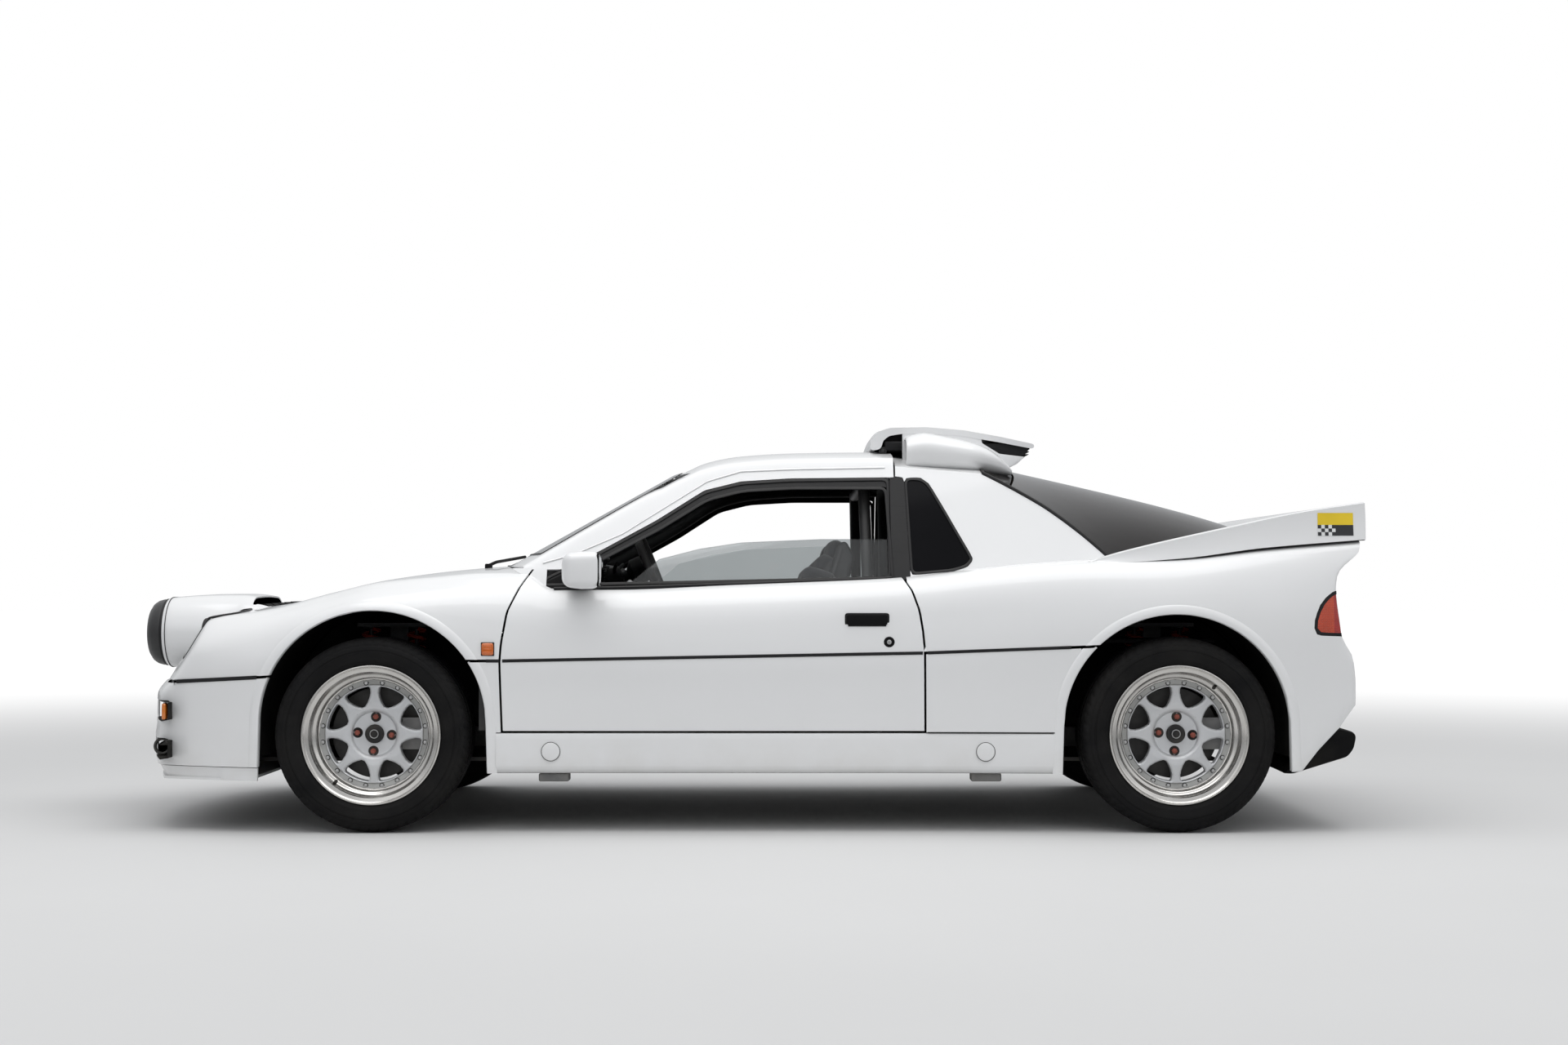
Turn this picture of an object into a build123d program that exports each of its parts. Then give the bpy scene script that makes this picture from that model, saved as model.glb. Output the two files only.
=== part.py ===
from build123d import *
import os
from math import cos, radians, sin

# Two-seat, mid-engined rally coupe in millimetres. The nose points to -X, the
# driver's left is -Y, and the tyres stand on Z = 0 with the origin mid-length.
# Lengths below are measured from the front or the rear axle, heights from the
# axle line, and half widths inwards from the widest point of the arches.

os.makedirs("parts", exist_ok=True)

# Overall sizes
WHEELBASE = 2530
FRONT_OVERHANG = 888
REAR_OVERHANG = 602
HALF_WIDTH = 882
HALF_TRACK = 750
TYRE_RADIUS = 306

# Walls and gaps
CLAM_SKIN = 14
DOOR_THICKNESS = 62
FRAME_THICKNESS = 34
GLASS_THICKNESS = 6
SHUT_GAP = 7
SEAT_GAP = 0.3

# Wheels
TYRE_WIDTH = 225
RIM_RADIUS = 219
RIM_DROP_RADIUS = 186
BEAD_RADIUS = 203
FACE_DEPTH = 62
SPOKE_COUNT = 8
SPOKE_WINDOW_IN = 92
SPOKE_WINDOW_OUT = 150
LUG_PCD = 108
LUG_RADIUS = 8
ARCH_CLEARANCE = 49
ARCH_RISE = 36
DISC_RADIUS = 143
DISC_THICKNESS = 24
AXLE_PIN_RADIUS = 22
PIN_CLEARANCE = 0.5

# Steering and suspension
KINGPIN_INSET = 110
KINGPIN_RADIUS = 10
FULL_LOCK_REACH = 369
KNUCKLE_HALF_HEIGHT = 92
STEERING_ARM = 110
WHEEL_TILT = 62

# Body heights above the axle line
SILL_BOTTOM = -121
SILL_TOP = 6
FLOOR_TOP = -96
BELT_FRONT = 452
ROOF_EDGE = 846
ROOF_CROWN = 928
STRIP_NOSE = 164
STRIP_FRONT_ARCH = 183
STRIP_DOOR_REAR = 257
STRIP_REAR_ARCH = 278
BELT_HALF_INSET = 137
ROOF_EDGE_INSET = 322

# Mid car
SEAT_Y = 350
BODY_FAR = 1200

LENGTH = FRONT_OVERHANG + WHEELBASE + REAR_OVERHANG
FRONT_AXLE = FRONT_OVERHANG - LENGTH / 2
REAR_AXLE = FRONT_AXLE + WHEELBASE
AXLE_Z = TYRE_RADIUS
ARCH_RADIUS = TYRE_RADIUS + ARCH_CLEARANCE
SIDES = {"left": -1, "right": 1}
AXLES = {"front": FRONT_AXLE, "rear": REAR_AXLE}


def fx(distance):
    """X of a place measured rearwards from the front axle."""
    return FRONT_AXLE + distance


def rx(distance):
    """X of a place measured rearwards from the rear axle."""
    return REAR_AXLE + distance


def up(height):
    """Z of a height above the axle line."""
    return AXLE_Z + height


def out(inset):
    """Half width that lies this far inside the widest point."""
    return HALF_WIDTH - inset


def side_prism(points, y_low, y_high, grow=0):
    """Outline drawn in side view as (x, z), grown if asked, run across the car."""
    with BuildPart() as prism:
        with BuildSketch(Plane.XZ.offset(-y_high)):
            with BuildLine():
                Polyline(*points, close=True)
            make_face()
            if grow:
                offset(amount=grow, kind=Kind.INTERSECTION)
        extrude(amount=y_high - y_low)
    return prism.part


def block(x_low, x_high, y_low, y_high, z_low, z_high):
    """Square block between its corners."""
    size = (x_high - x_low, y_high - y_low, z_high - z_low)
    place = (x_low + size[0] / 2, y_low + size[1] / 2, z_low + size[2] / 2)
    return Pos(*place) * Box(*size, mode=Mode.PRIVATE)


def tube_between(start, end, radius):
    """Round bar from one point to another."""
    path = Vector(*end) - Vector(*start)
    plane = Plane(origin=start, z_dir=path.normalized())
    with BuildPart() as bar:
        with BuildSketch(plane):
            Circle(radius)
        extrude(amount=path.length)
    return bar.part


def across(x, z, radius, y_low, y_high):
    """Round bar along Y."""
    return tube_between((x, y_low, z), (x, y_high, z), radius)


def save(piece, label):
    """Name a finished piece and write its file."""
    piece.part.label = label
    export_step(piece.part, "parts/" + label + ".step")


# Cross sections of the lower body. Each row holds the station's x, the inset of
# the foot, the inset and height of the widest line, the inset and height of the
# upper crease, and the height of the crown on the centre line.
FRONT_SECTIONS = [
    (fx(-860), 176, 166, 220, 235, 318, 350),
    (fx(-364), 26, 20, 330, 140, 384, 420),
    (fx(0), 4, 0, 385, 148, 465, 492),
    (fx(440), 46, 38, 330, 96, 498, 552),
]
DOOR_SECTIONS = [
    (fx(340), 50, 40, 262, 98, 492, 494),
    (fx(1000), 48, 36, 262, 92, 482, 484),
    (rx(-740), 48, 35, 268, 90, 505, 507),
]
REAR_SECTIONS = [
    (rx(-880), 48, 35, 268, 92, 505, 560),
    (rx(-330), 18, 12, 340, 88, 541, 600),
    (rx(0), 4, 0, 385, 84, 566, 620),
    (rx(300), 20, 14, 385, 84, 590, 640),
    (rx(602), 60, 48, 385, 84, 616, 650),
]


def hull(rows, skin, foot=-156):
    """Loft through the cross sections, this far inside the outer surface."""
    with BuildPart() as body:
        for x, foot_in, wide_in, wide_up, crease_in, crease_up, crown in rows:
            low = (out(foot_in + skin), up(foot))
            wide = (out(wide_in + skin), up(wide_up - skin / 3))
            crease = (out(crease_in + skin), up(crease_up - skin))
            with BuildSketch(Plane.YZ.offset(x)):
                with BuildLine():
                    Polyline((-crease[0], crease[1]), (-wide[0], wide[1]), (-low[0], low[1]),
                             low, wide, crease)
                    ThreePointArc(crease, (0, up(crown - skin)), (-crease[0], crease[1]))
                make_face()
        loft()
    return body.part


def cab_prism(skin, x_low, x_high):
    """Glasshouse section, leaning sides under a crowned roof, run lengthways."""
    lean = (ROOF_EDGE_INSET - BELT_HALF_INSET) / (ROOF_EDGE - BELT_FRONT)
    foot = (out(BELT_HALF_INSET + skin - lean * 150), up(BELT_FRONT - 150))
    edge = (out(ROOF_EDGE_INSET + skin), up(ROOF_EDGE - skin / 2))
    with BuildPart() as cab:
        with BuildSketch(Plane.YZ.offset(x_low)):
            with BuildLine():
                Polyline((-edge[0], edge[1]), (-foot[0], foot[1]), foot, edge)
                ThreePointArc(edge, (0, up(ROOF_CROWN - skin)), (-edge[0], edge[1]))
            make_face()
        extrude(amount=x_high - x_low)
    return cab.part


# Windscreen and nose face: an arc seen from above, run up a slope. Each row holds
# the foot and head on the centre line, and how far the arc falls back at a half width.
SCREEN = (fx(370), up(545), fx(932), up(858), 57, 500)
NOSE_FACE = (fx(-781), up(164), fx(-653), up(378), 153, 820)
BUMPER_FACE = (fx(-808), up(0), fx(-808), up(400), 153, 820)


def behind(face, skin):
    """All that lies behind a bowed, sloping face, less a skin."""
    foot_x, foot_z, head_x, head_z, bow, bow_at = face
    slope = Vector(head_x - foot_x, 0, head_z - foot_z)
    start = (foot_x - slope.X + skin, foot_z - slope.Z)
    radius = (bow_at ** 2 + bow ** 2) / (2 * bow)
    fall = radius - (radius ** 2 - BODY_FAR ** 2) ** 0.5
    with BuildPart() as space:
        with BuildSketch(Plane.XY.offset(start[1])):
            with BuildLine():
                ThreePointArc((start[0] + fall, -BODY_FAR), (start[0], 0),
                              (start[0] + fall, BODY_FAR))
                Polyline((start[0] + fall, BODY_FAR), (rx(1200), BODY_FAR),
                         (rx(1200), -BODY_FAR), (start[0] + fall, -BODY_FAR))
            make_face()
        extrude(amount=slope.length * 4, dir=slope.normalized())
    return space.part


# Rear screen: crowned arcs. Each row holds x, the height at the quarter line
# and the height on the centre line.
DOME_QUARTER = 600
DOME_SECTIONS = [
    (rx(-873), 846, 928),
    (rx(-590), 826, 892),
    (rx(-390), 727, 852),
    (rx(-140), 590, 796),
    (rx(330), 500, 668),
]


def dome(skin):
    """Space below the rear screen's surface."""
    reach = 800
    with BuildPart() as space:
        for x, quarter, crown in DOME_SECTIONS:
            drop = (crown - quarter) * (reach / DOME_QUARTER) ** 2
            with BuildSketch(Plane.YZ.offset(x)):
                with BuildLine():
                    ThreePointArc((-reach, up(crown - drop - skin)), (0, up(crown - skin)),
                                  (reach, up(crown - drop - skin)))
                    Polyline((reach, up(crown - drop - skin)), (reach, up(-200)),
                             (-reach, up(-200)), (-reach, up(crown - drop - skin)))
                make_face()
        loft()
    return space.part


# Shut lines and openings in side view, as (x, z)
DOOR_FRONT = [(fx(409), up(12)), (fx(402), up(226)), (fx(405), up(285)), (fx(422), up(386)),
              (fx(456), up(463)), (fx(490), up(512))]
DOOR_REAR = [(rx(-855), up(493)), (rx(-833), up(452)), (rx(-811), up(389)), (rx(-801), up(326)),
             (rx(-795), up(12))]
FRAME_TOP = [(fx(530), up(494)), (fx(699), up(575)), (fx(882), up(677)), (fx(1034), up(775)),
             (fx(1153), up(805)), (fx(1314), up(815)), (rx(-858), up(818))]
WINDOW = [(fx(604), up(466)), (fx(612), up(500)), (fx(706), up(556)), (fx(890), up(655)), (fx(1044), up(752)),
          (fx(1160), up(781)), (fx(1320), up(790)), (rx(-902), up(790)), (rx(-886), up(500))]
QUARTER_WINDOW = [(rx(-846), up(820)), (rx(-793), up(821)), (rx(-765), up(801)), (rx(-720), up(721)),
                  (rx(-674), up(635)), (rx(-637), up(567)), (rx(-631), up(550)), (rx(-651), up(527)),
                  (rx(-697), up(513)), (rx(-833), up(501))]
FRONT_ARCH = (fx(4), up(ARCH_RISE))
REAR_ARCH = (rx(-8), up(ARCH_RISE - 12))
SEAM_X = rx(-880)
TAIL = [(rx(602), up(611)), (rx(595), up(574)), (rx(571), up(554)), (rx(538), up(528)),
        (rx(515), up(485)), (rx(513), up(456)), (rx(527), up(306)), (rx(560), up(260)),
        (rx(573), up(158)), (rx(572), up(69)), (rx(519), up(20)), (rx(397), up(-112)),
        (rx(345), up(-116))]


def arch_cut(centre, bottom=-160):
    """Wheel opening: a round top with straight sides that open downwards."""
    x, z = centre
    flare = 14
    with BuildPart() as cut:
        with BuildSketch(Plane.XZ.offset(-BODY_FAR)):
            with BuildLine():
                ThreePointArc((x - ARCH_RADIUS, z), (x, z + ARCH_RADIUS), (x + ARCH_RADIUS, z))
                Polyline((x + ARCH_RADIUS, z), (x + ARCH_RADIUS + flare, up(bottom)),
                         (x - ARCH_RADIUS - flare, up(bottom)), (x - ARCH_RADIUS, z))
            make_face()
        extrude(amount=2 * BODY_FAR)
    return cut.part


front_outer, front_inner = hull(FRONT_SECTIONS, 0), hull(FRONT_SECTIONS, CLAM_SKIN, -200)
door_outer, door_inner = hull(DOOR_SECTIONS, 0), hull(DOOR_SECTIONS, DOOR_THICKNESS, -200)
rear_outer, rear_inner = hull(REAR_SECTIONS, 0), hull(REAR_SECTIONS, CLAM_SKIN, -200)
front_cut, rear_cut = arch_cut(FRONT_ARCH), arch_cut(REAR_ARCH)
cab_outer = cab_prism(0, fx(250), SEAM_X) & behind(SCREEN, 0)
cab_inner = cab_prism(FRAME_THICKNESS, fx(240), SEAM_X + 10) & behind(SCREEN, FRAME_THICKNESS)
front_outer = front_outer & behind(NOSE_FACE, 0)
front_inner = front_inner & behind(NOSE_FACE, CLAM_SKIN)

# Front clamshell: bonnet and wings in one, split from the bumper at the strip
CLAM_FOOT = up(236)
clam_side = [(fx(-900), up(STRIP_NOSE)), (FRONT_ARCH[0] - 330, up(STRIP_FRONT_ARCH)),
             (FRONT_ARCH[0] + 290, CLAM_FOOT), (DOOR_FRONT[1][0] - SHUT_GAP, CLAM_FOOT)]
clam_side += [(x - SHUT_GAP, z) for x, z in DOOR_FRONT[2:]]
clam_side += [(fx(480), up(700)), (fx(-900), up(700))]
# Front hinge: a small barrel of the bumper and one of the clamshell on one pin
FRONT_HINGE = (fx(-793), up(158))
FRONT_BARREL = 5.7
FRONT_PIN = 2.6
FRONT_HINGE_Y = (170, 210, 250)


def front_barrel(side, low, high, bore):
    """Hinge barrel between two half widths."""
    low, high = sorted((side * low, side * high))
    barrel = across(*FRONT_HINGE, FRONT_BARREL, low, high)
    return barrel - across(*FRONT_HINGE, bore, low - 1, high + 1) if bore else barrel


with BuildPart() as front_clam:
    add(front_outer)
    add(front_inner, mode=Mode.SUBTRACT)
    add(side_prism(clam_side, -BODY_FAR, BODY_FAR), mode=Mode.INTERSECT)
    add(front_cut, mode=Mode.SUBTRACT)
    add(cab_prism(-30, fx(100), fx(700)) & behind(SCREEN, -8), mode=Mode.SUBTRACT)
    for side in SIDES.values():
        add(block(fx(-900), fx(-560), *sorted((side * 400, side * 700)), up(205), up(330)),
            mode=Mode.SUBTRACT)
        leaf_y = sorted((side * FRONT_HINGE_Y[0], side * (FRONT_HINGE_Y[1] - SEAT_GAP)))
        leaf = block(FRONT_HINGE[0], fx(-760), *leaf_y, FRONT_HINGE[1] + 2, FRONT_HINGE[1] + FRONT_BARREL)
        leaf += block(fx(-771), fx(-760), *leaf_y, FRONT_HINGE[1] + 2, FRONT_HINGE[1] + 10)
        add(leaf - across(*FRONT_HINGE, FRONT_BARREL - 1, *sorted((side * 160, side * 220))))
        add(front_barrel(side, FRONT_HINGE_Y[0], FRONT_HINGE_Y[1] - SEAT_GAP, FRONT_PIN + SEAT_GAP))
save(front_clam, "front_clam")

# Lamp pod in the middle of the bonnet, with two covered lamps in its face
POD_TOP = up(436)
POD_FOOT = up(181)
POD_FRONT = fx(-826)
POD_TAIL = fx(-452)
POD_WALL = 12
LAMP_RADIUS = 113
LAMP_Y = 142
LAMP_PROUD = 62
LAMP_Z = (POD_TOP + POD_FOOT) / 2


def pod_space(skin):
    """Two round barrels joined side by side, run back into the bonnet."""
    radius = (POD_TOP - POD_FOOT) / 2 - skin
    with BuildPart() as pod:
        with BuildSketch(Plane.YZ.offset(POD_FRONT)):
            with Locations((0, LAMP_Z)):
                RectangleRounded(2 * (LAMP_Y + radius), 2 * radius, radius - 0.5)
        extrude(amount=POD_TAIL - POD_FRONT)
    return pod.part


with BuildPart() as lamp_pod:
    add(pod_space(0))
    add(Pos(POD_WALL, 0, 0) * pod_space(POD_WALL), mode=Mode.SUBTRACT)
    add(hull(FRONT_SECTIONS, -SEAT_GAP) & behind(NOSE_FACE, -SEAT_GAP), mode=Mode.SUBTRACT)
    for side in SIDES.values():
        add(Pos(POD_FRONT, side * LAMP_Y, LAMP_Z) * Rot(0, 90, 0)
            * Cylinder(LAMP_RADIUS + SEAT_GAP, 60, mode=Mode.PRIVATE), mode=Mode.SUBTRACT)
save(lamp_pod, "lamp_pod")

with BuildPart() as lamp_covers:
    for side in SIDES.values():
        with BuildSketch(Plane.YZ.offset(POD_FRONT - LAMP_PROUD)):
            with Locations((side * LAMP_Y, LAMP_Z)):
                Circle(LAMP_RADIUS)
        extrude(amount=LAMP_PROUD + POD_WALL)
    fillet(lamp_covers.faces().group_by(Axis.X)[0].edges(), 24)
save(lamp_covers, "lamp_covers")

with BuildPart() as headlamps:
    add(front_outer)
    add(hull(FRONT_SECTIONS, 60) & behind(NOSE_FACE, 60), mode=Mode.SUBTRACT)
    add(block(fx(-900), fx(-560), -699, -401, up(206), up(329))
        + block(fx(-900), fx(-560), 401, 699, up(206), up(329)), mode=Mode.INTERSECT)
save(headlamps, "headlamps")

# Front bumper, hollow behind its bowed face, with the lamp and tow recesses
BUMPER_TOP = [(fx(-900), up(STRIP_NOSE - 12)), (FRONT_ARCH[0] - 330, up(STRIP_FRONT_ARCH - 10))]
BUMPER_FOOT = up(-106)
bumper_side = BUMPER_TOP + [(fx(-300), up(STRIP_FRONT_ARCH - 8)), (fx(-300), BUMPER_FOOT),
                            (fx(-900), BUMPER_FOOT)]
bumper_outer = hull(FRONT_SECTIONS, 0) & behind(BUMPER_FACE, 0)
bumper_inner = hull(FRONT_SECTIONS, CLAM_SKIN, -220) & behind(BUMPER_FACE, CLAM_SKIN)
POCKET_DEPTH = 50
POCKET_Y = (560, 720)
POCKET_Z = (up(-79), up(-18))
TOW_RING = 24
TOW_BAR = 5


def bumper_layer(skin):
    """Bumper volume, less a skin."""
    return hull(FRONT_SECTIONS, skin) & behind(BUMPER_FACE, skin)


def tow_pocket(side, wall):
    """Space of the low pocket, grown by its wall."""
    space = bumper_layer(-5) - bumper_layer(POCKET_DEPTH + wall)
    y_low, y_high = sorted((side * (POCKET_Y[0] - wall), side * (POCKET_Y[1] + wall)))
    return space & block(fx(-900), fx(-600), y_low, y_high, POCKET_Z[0] - wall, POCKET_Z[1] + wall)


with BuildPart() as front_bumper:
    add(bumper_outer)
    add(bumper_inner, mode=Mode.SUBTRACT)
    add(side_prism(bumper_side, -BODY_FAR, BODY_FAR), mode=Mode.INTERSECT)
    add(front_cut, mode=Mode.SUBTRACT)
    add(block(fx(-900), fx(-500), -480, 480, up(-60), up(120)), mode=Mode.SUBTRACT)
    for side in SIDES.values():
        add(block(fx(-900), fx(-653), min(side * 520, side * 800), max(side * 520, side * 800),
                  up(41), up(102)), mode=Mode.SUBTRACT)
        add(tow_pocket(side, 5) & bumper_layer(CLAM_SKIN / 2))
        add(tow_pocket(side, 0), mode=Mode.SUBTRACT)
        ring_at = (fx(-702), side * (POCKET_Y[0] + POCKET_Y[1]) / 2, (POCKET_Z[0] + POCKET_Z[1]) / 2)
        add(Pos(*ring_at) * Rot(90, 0, 0) * Torus(TOW_RING, TOW_BAR, mode=Mode.PRIVATE))
        add(tube_between((ring_at[0] + TOW_RING, *ring_at[1:]), (ring_at[0] + 90, *ring_at[1:]), TOW_BAR + 2)
            - bumper_layer(POCKET_DEPTH + 3))
        add(block(fx(-830), fx(-780), *sorted((side * (FRONT_HINGE_Y[0] - 5), side * FRONT_HINGE_Y[1])),
                  up(147), up(170)), mode=Mode.SUBTRACT)
        leaf_y = sorted((side * FRONT_HINGE_Y[1], side * FRONT_HINGE_Y[2]))
        add(block(FRONT_HINGE[0] - 4, FRONT_HINGE[0] + 4, *leaf_y, up(140), FRONT_HINGE[1]))
        add(front_barrel(side, FRONT_HINGE_Y[1], FRONT_HINGE_Y[2], 0))
        add(across(*FRONT_HINGE, FRONT_PIN, *sorted((side * FRONT_HINGE_Y[0], side * FRONT_HINGE_Y[1]))))
save(front_bumper, "front_bumper")

with BuildPart() as bumper_lamps:
    add(hull(FRONT_SECTIONS, 8) & behind(BUMPER_FACE, 8))
    add(hull(FRONT_SECTIONS, 60) & behind(BUMPER_FACE, 60), mode=Mode.SUBTRACT)
    add(block(fx(-900), fx(-656), -799.7, -520.3, up(41.3), up(101.7))
        + block(fx(-900), fx(-656), 520.3, 799.7, up(41.3), up(101.7)), mode=Mode.INTERSECT)
save(bumper_lamps, "bumper_lamps")

with BuildPart() as front_splitter:
    add(hull(FRONT_SECTIONS, 4) & behind(BUMPER_FACE, 6))
    add(side_prism([(fx(-900), up(-124)), (fx(-389), up(-145)), (fx(-389), up(-108) - SEAT_GAP),
                    (fx(-450), up(-108) - SEAT_GAP), (fx(-900), up(-107))], -BODY_FAR, BODY_FAR),
        mode=Mode.INTERSECT)
    add(front_cut, mode=Mode.SUBTRACT)
save(front_splitter, "front_splitter")

# Side panels that stay on the body below the strip
LOWER_FRONT = [(fx(300), up(SILL_TOP + SEAT_GAP)),
               (DOOR_FRONT[0][0] - SHUT_GAP, up(SILL_TOP + SEAT_GAP)),
               (DOOR_FRONT[1][0] - SHUT_GAP, CLAM_FOOT - 8), (fx(300), CLAM_FOOT - 8)]
LOWER_REAR = [(DOOR_REAR[-1][0] + SHUT_GAP, up(SILL_TOP + SEAT_GAP)),
              (rx(-200), up(SILL_TOP + SEAT_GAP)), (rx(-200), up(STRIP_REAR_ARCH - 2)),
              (DOOR_REAR[-2][0] - 1 + SHUT_GAP, up(STRIP_DOOR_REAR))]
with BuildPart() as lower_side_panels:
    add(hull(FRONT_SECTIONS, 0) - hull(FRONT_SECTIONS, CLAM_SKIN, -200))
    add(side_prism(LOWER_FRONT, -BODY_FAR, BODY_FAR), mode=Mode.INTERSECT)
    add((rear_outer - rear_inner) & side_prism(LOWER_REAR, -BODY_FAR, BODY_FAR))
    add(front_cut, mode=Mode.SUBTRACT)
    add(rear_cut, mode=Mode.SUBTRACT)
save(lower_side_panels, "lower_side_panels")

# Sills under the doors, with the two round jacking caps each side
SILL_START = fx(376)
SILL_END = rx(-372)
SILL_CAPS = [fx(562), rx(-606)]
CAP_RADIUS = 29
CAP_PROUD = 3
with BuildPart() as side_sills:
    for side in SIDES.values():
        with BuildSketch(Plane.YZ.offset(SILL_START)):
            with BuildLine():
                Polyline((side * out(44), up(SILL_TOP)), (side * out(38), up(-62)),
                         (side * out(64), up(SILL_BOTTOM)), (side * out(170), up(SILL_BOTTOM)),
                         (side * out(170), up(SILL_TOP)), close=True)
            make_face()
        extrude(amount=SILL_END - SILL_START)
        with BuildSketch(Plane.XZ.offset(side * -out(60))):
            with Locations(*[(x, up(-52)) for x in SILL_CAPS]):
                Circle(CAP_RADIUS)
        extrude(amount=side * -(22 + CAP_PROUD))
        for x in SILL_CAPS:
            add(block(x - 35, x + 35, *sorted((side * out(150), side * out(90))), up(SILL_BOTTOM - 25),
                      up(SILL_BOTTOM + 5)))
    add(front_cut, mode=Mode.SUBTRACT)
    add(rear_cut, mode=Mode.SUBTRACT)
save(side_sills, "side_sills")

# Doors: the thick lower shell and the window frame above it
DOOR_INSIDE = out(178)
door_lower = DOOR_FRONT + DOOR_REAR
door_frame = ([(fx(500), up(470))] + FRAME_TOP + [(rx(-852), up(600)), (rx(-855), up(440)),
              (fx(560), up(400))])
door_space_side = [(x - SHUT_GAP, z) for x, z in DOOR_FRONT]
door_space_side += [(x - SHUT_GAP, z + SHUT_GAP) for x, z in FRAME_TOP[:-1]]
door_space_side += [(rx(-700), up(818) + SHUT_GAP)]
door_space_side += [(rx(-700), up(12))]
# Door hinges: an arm of the pillar reaches into a pocket and holds the door's pin
HINGE_X = fx(442)
HINGE_Y = out(52)
DOOR_HINGES = (up(90), up(262))
HINGE_PIN = 6
HINGE_ARM = 11
POCKET_HALF = 24


def door_bracket(side, height):
    """Arm from the hinge pillar with an eye for the door's pin."""
    low, high = sorted((side * (TUB_HALF + 30), side * HINGE_Y))
    arm = block(HINGE_X - HINGE_ARM, HINGE_X + HINGE_ARM, low, high, height - 6, height + 6)
    arm += block(fx(400), HINGE_X + HINGE_ARM, *sorted((side * (TUB_HALF + 20), side * (TUB_HALF + 42))),
                 height - 6, height + 6)
    eye_place = (HINGE_X, side * HINGE_Y)
    arm += tube_between((*eye_place, height - 6), (*eye_place, height + 6), HINGE_ARM)
    return arm - tube_between((*eye_place, height - 7), (*eye_place, height + 7), HINGE_PIN + SEAT_GAP)


def door_pocket(side, height):
    """Room for the hinge arm, open inwards and to the front."""
    return block(fx(380), HINGE_X + HINGE_ARM + 8, *sorted((side * 600, side * (HINGE_Y + 14))),
                 height - POCKET_HALF, height + POCKET_HALF)


# Reach of the door's edge about its pin, so that the inner corner swings clear of
# the rear clamshell. Each row holds the radius and the height above the axle line.
DOOR_REACH = [(1295, -200), (1295, 12), (1289, 326), (1279, 389), (1257, 452), (1235, 493),
              (1214, 510), (1223, 656), (1239, 818), (1239, 1000)]


def swing_space(side):
    """Round space about the door's pin with the radii of DOOR_REACH."""
    with BuildPart() as space:
        with BuildSketch(Plane(origin=(HINGE_X, side * HINGE_Y, AXLE_Z), x_dir=(1, 0, 0),
                               z_dir=(0, -1, 0))):
            with BuildLine():
                Polyline((0, DOOR_REACH[0][1]), *DOOR_REACH, (0, DOOR_REACH[-1][1]), close=True)
            make_face()
        revolve(axis=Axis((HINGE_X, side * HINGE_Y, 0), (0, 0, 1)))
    return space.part


TUB_HALF = out(170)
for name, side in SIDES.items():
    y_low, y_high = sorted((side * DOOR_INSIDE, side * BODY_FAR))
    with BuildPart() as door:
        add(door_outer - door_inner)
        add(side_prism(door_lower, y_low, y_high), mode=Mode.INTERSECT)
        add((cab_outer - cab_inner) & side_prism(door_frame, *sorted((0, side * BODY_FAR))))
        add(side_prism(WINDOW, -BODY_FAR, BODY_FAR), mode=Mode.SUBTRACT)
        add(swing_space(side), mode=Mode.INTERSECT)
        for height in DOOR_HINGES:
            add(door_pocket(side, height), mode=Mode.SUBTRACT)
            add(tube_between((HINGE_X, side * HINGE_Y, height - POCKET_HALF - 5),
                             (HINGE_X, side * HINGE_Y, height + POCKET_HALF + 5), HINGE_PIN))
    save(door, name + "_door")

    DOOR_GLASS = [(fx(796), up(473.5)), (fx(892), up(553)), (fx(1023), up(587)), (fx(1155), up(607)),
                  (fx(1411), up(618)), (rx(-900), up(618)), (rx(-886.4), up(500.4))]
    with BuildPart() as door_glass:
        add(cab_prism(14, fx(500), rx(-800)) - cab_prism(19, fx(490), rx(-790)))
        add(side_prism(DOOR_GLASS, *sorted((0, side * BODY_FAR))), mode=Mode.INTERSECT)
    save(door_glass, name + "_door_glass")

    MIRROR_SIZE = (127, 112, 120)
    MIRROR_AT = (fx(662), side * (out(0) + 18), up(511))
    with BuildPart() as mirror:
        with BuildPart(mode=Mode.PRIVATE) as shell:
            Box(*MIRROR_SIZE)
            fillet(shell.edges(), 16)
        add(Pos(*MIRROR_AT) * shell.part)
        add(block(fx(634), fx(690), *sorted((side * (out(0) - 30), side * out(200))),
                  up(466), up(492)))
        add(cab_prism(-SEAT_GAP, fx(400), fx(900)), mode=Mode.SUBTRACT)
        add(hull(DOOR_SECTIONS, -SEAT_GAP), mode=Mode.SUBTRACT)
    mirror.part = max(mirror.part.solids(), key=lambda solid: solid.volume)
    save(mirror, name + "_mirror")

# Cab frame: roof, windscreen pillars, scuttle and the hoop behind the doors
HOOP_FRONT = rx(-925)
HOOP_SKIN = 110


def screen_opening(gap):
    """Windscreen opening seen from ahead, leaning in with the pillars."""
    lean = (ROOF_EDGE_INSET - BELT_HALF_INSET) / (ROOF_EDGE - BELT_FRONT)
    low, high = 566 + gap, 838 - gap
    foot = out(BELT_HALF_INSET + 48 + gap + lean * (low - BELT_FRONT))
    head = out(BELT_HALF_INSET + 48 + gap + lean * (high - BELT_FRONT))
    with BuildPart() as opening:
        with BuildSketch(Plane.YZ.offset(fx(200))):
            with BuildLine():
                Polyline((-foot, up(low)), (foot, up(low)), (head, up(high)), (-head, up(high)),
                         close=True)
            make_face()
        extrude(amount=775)
    return opening.part


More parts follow.
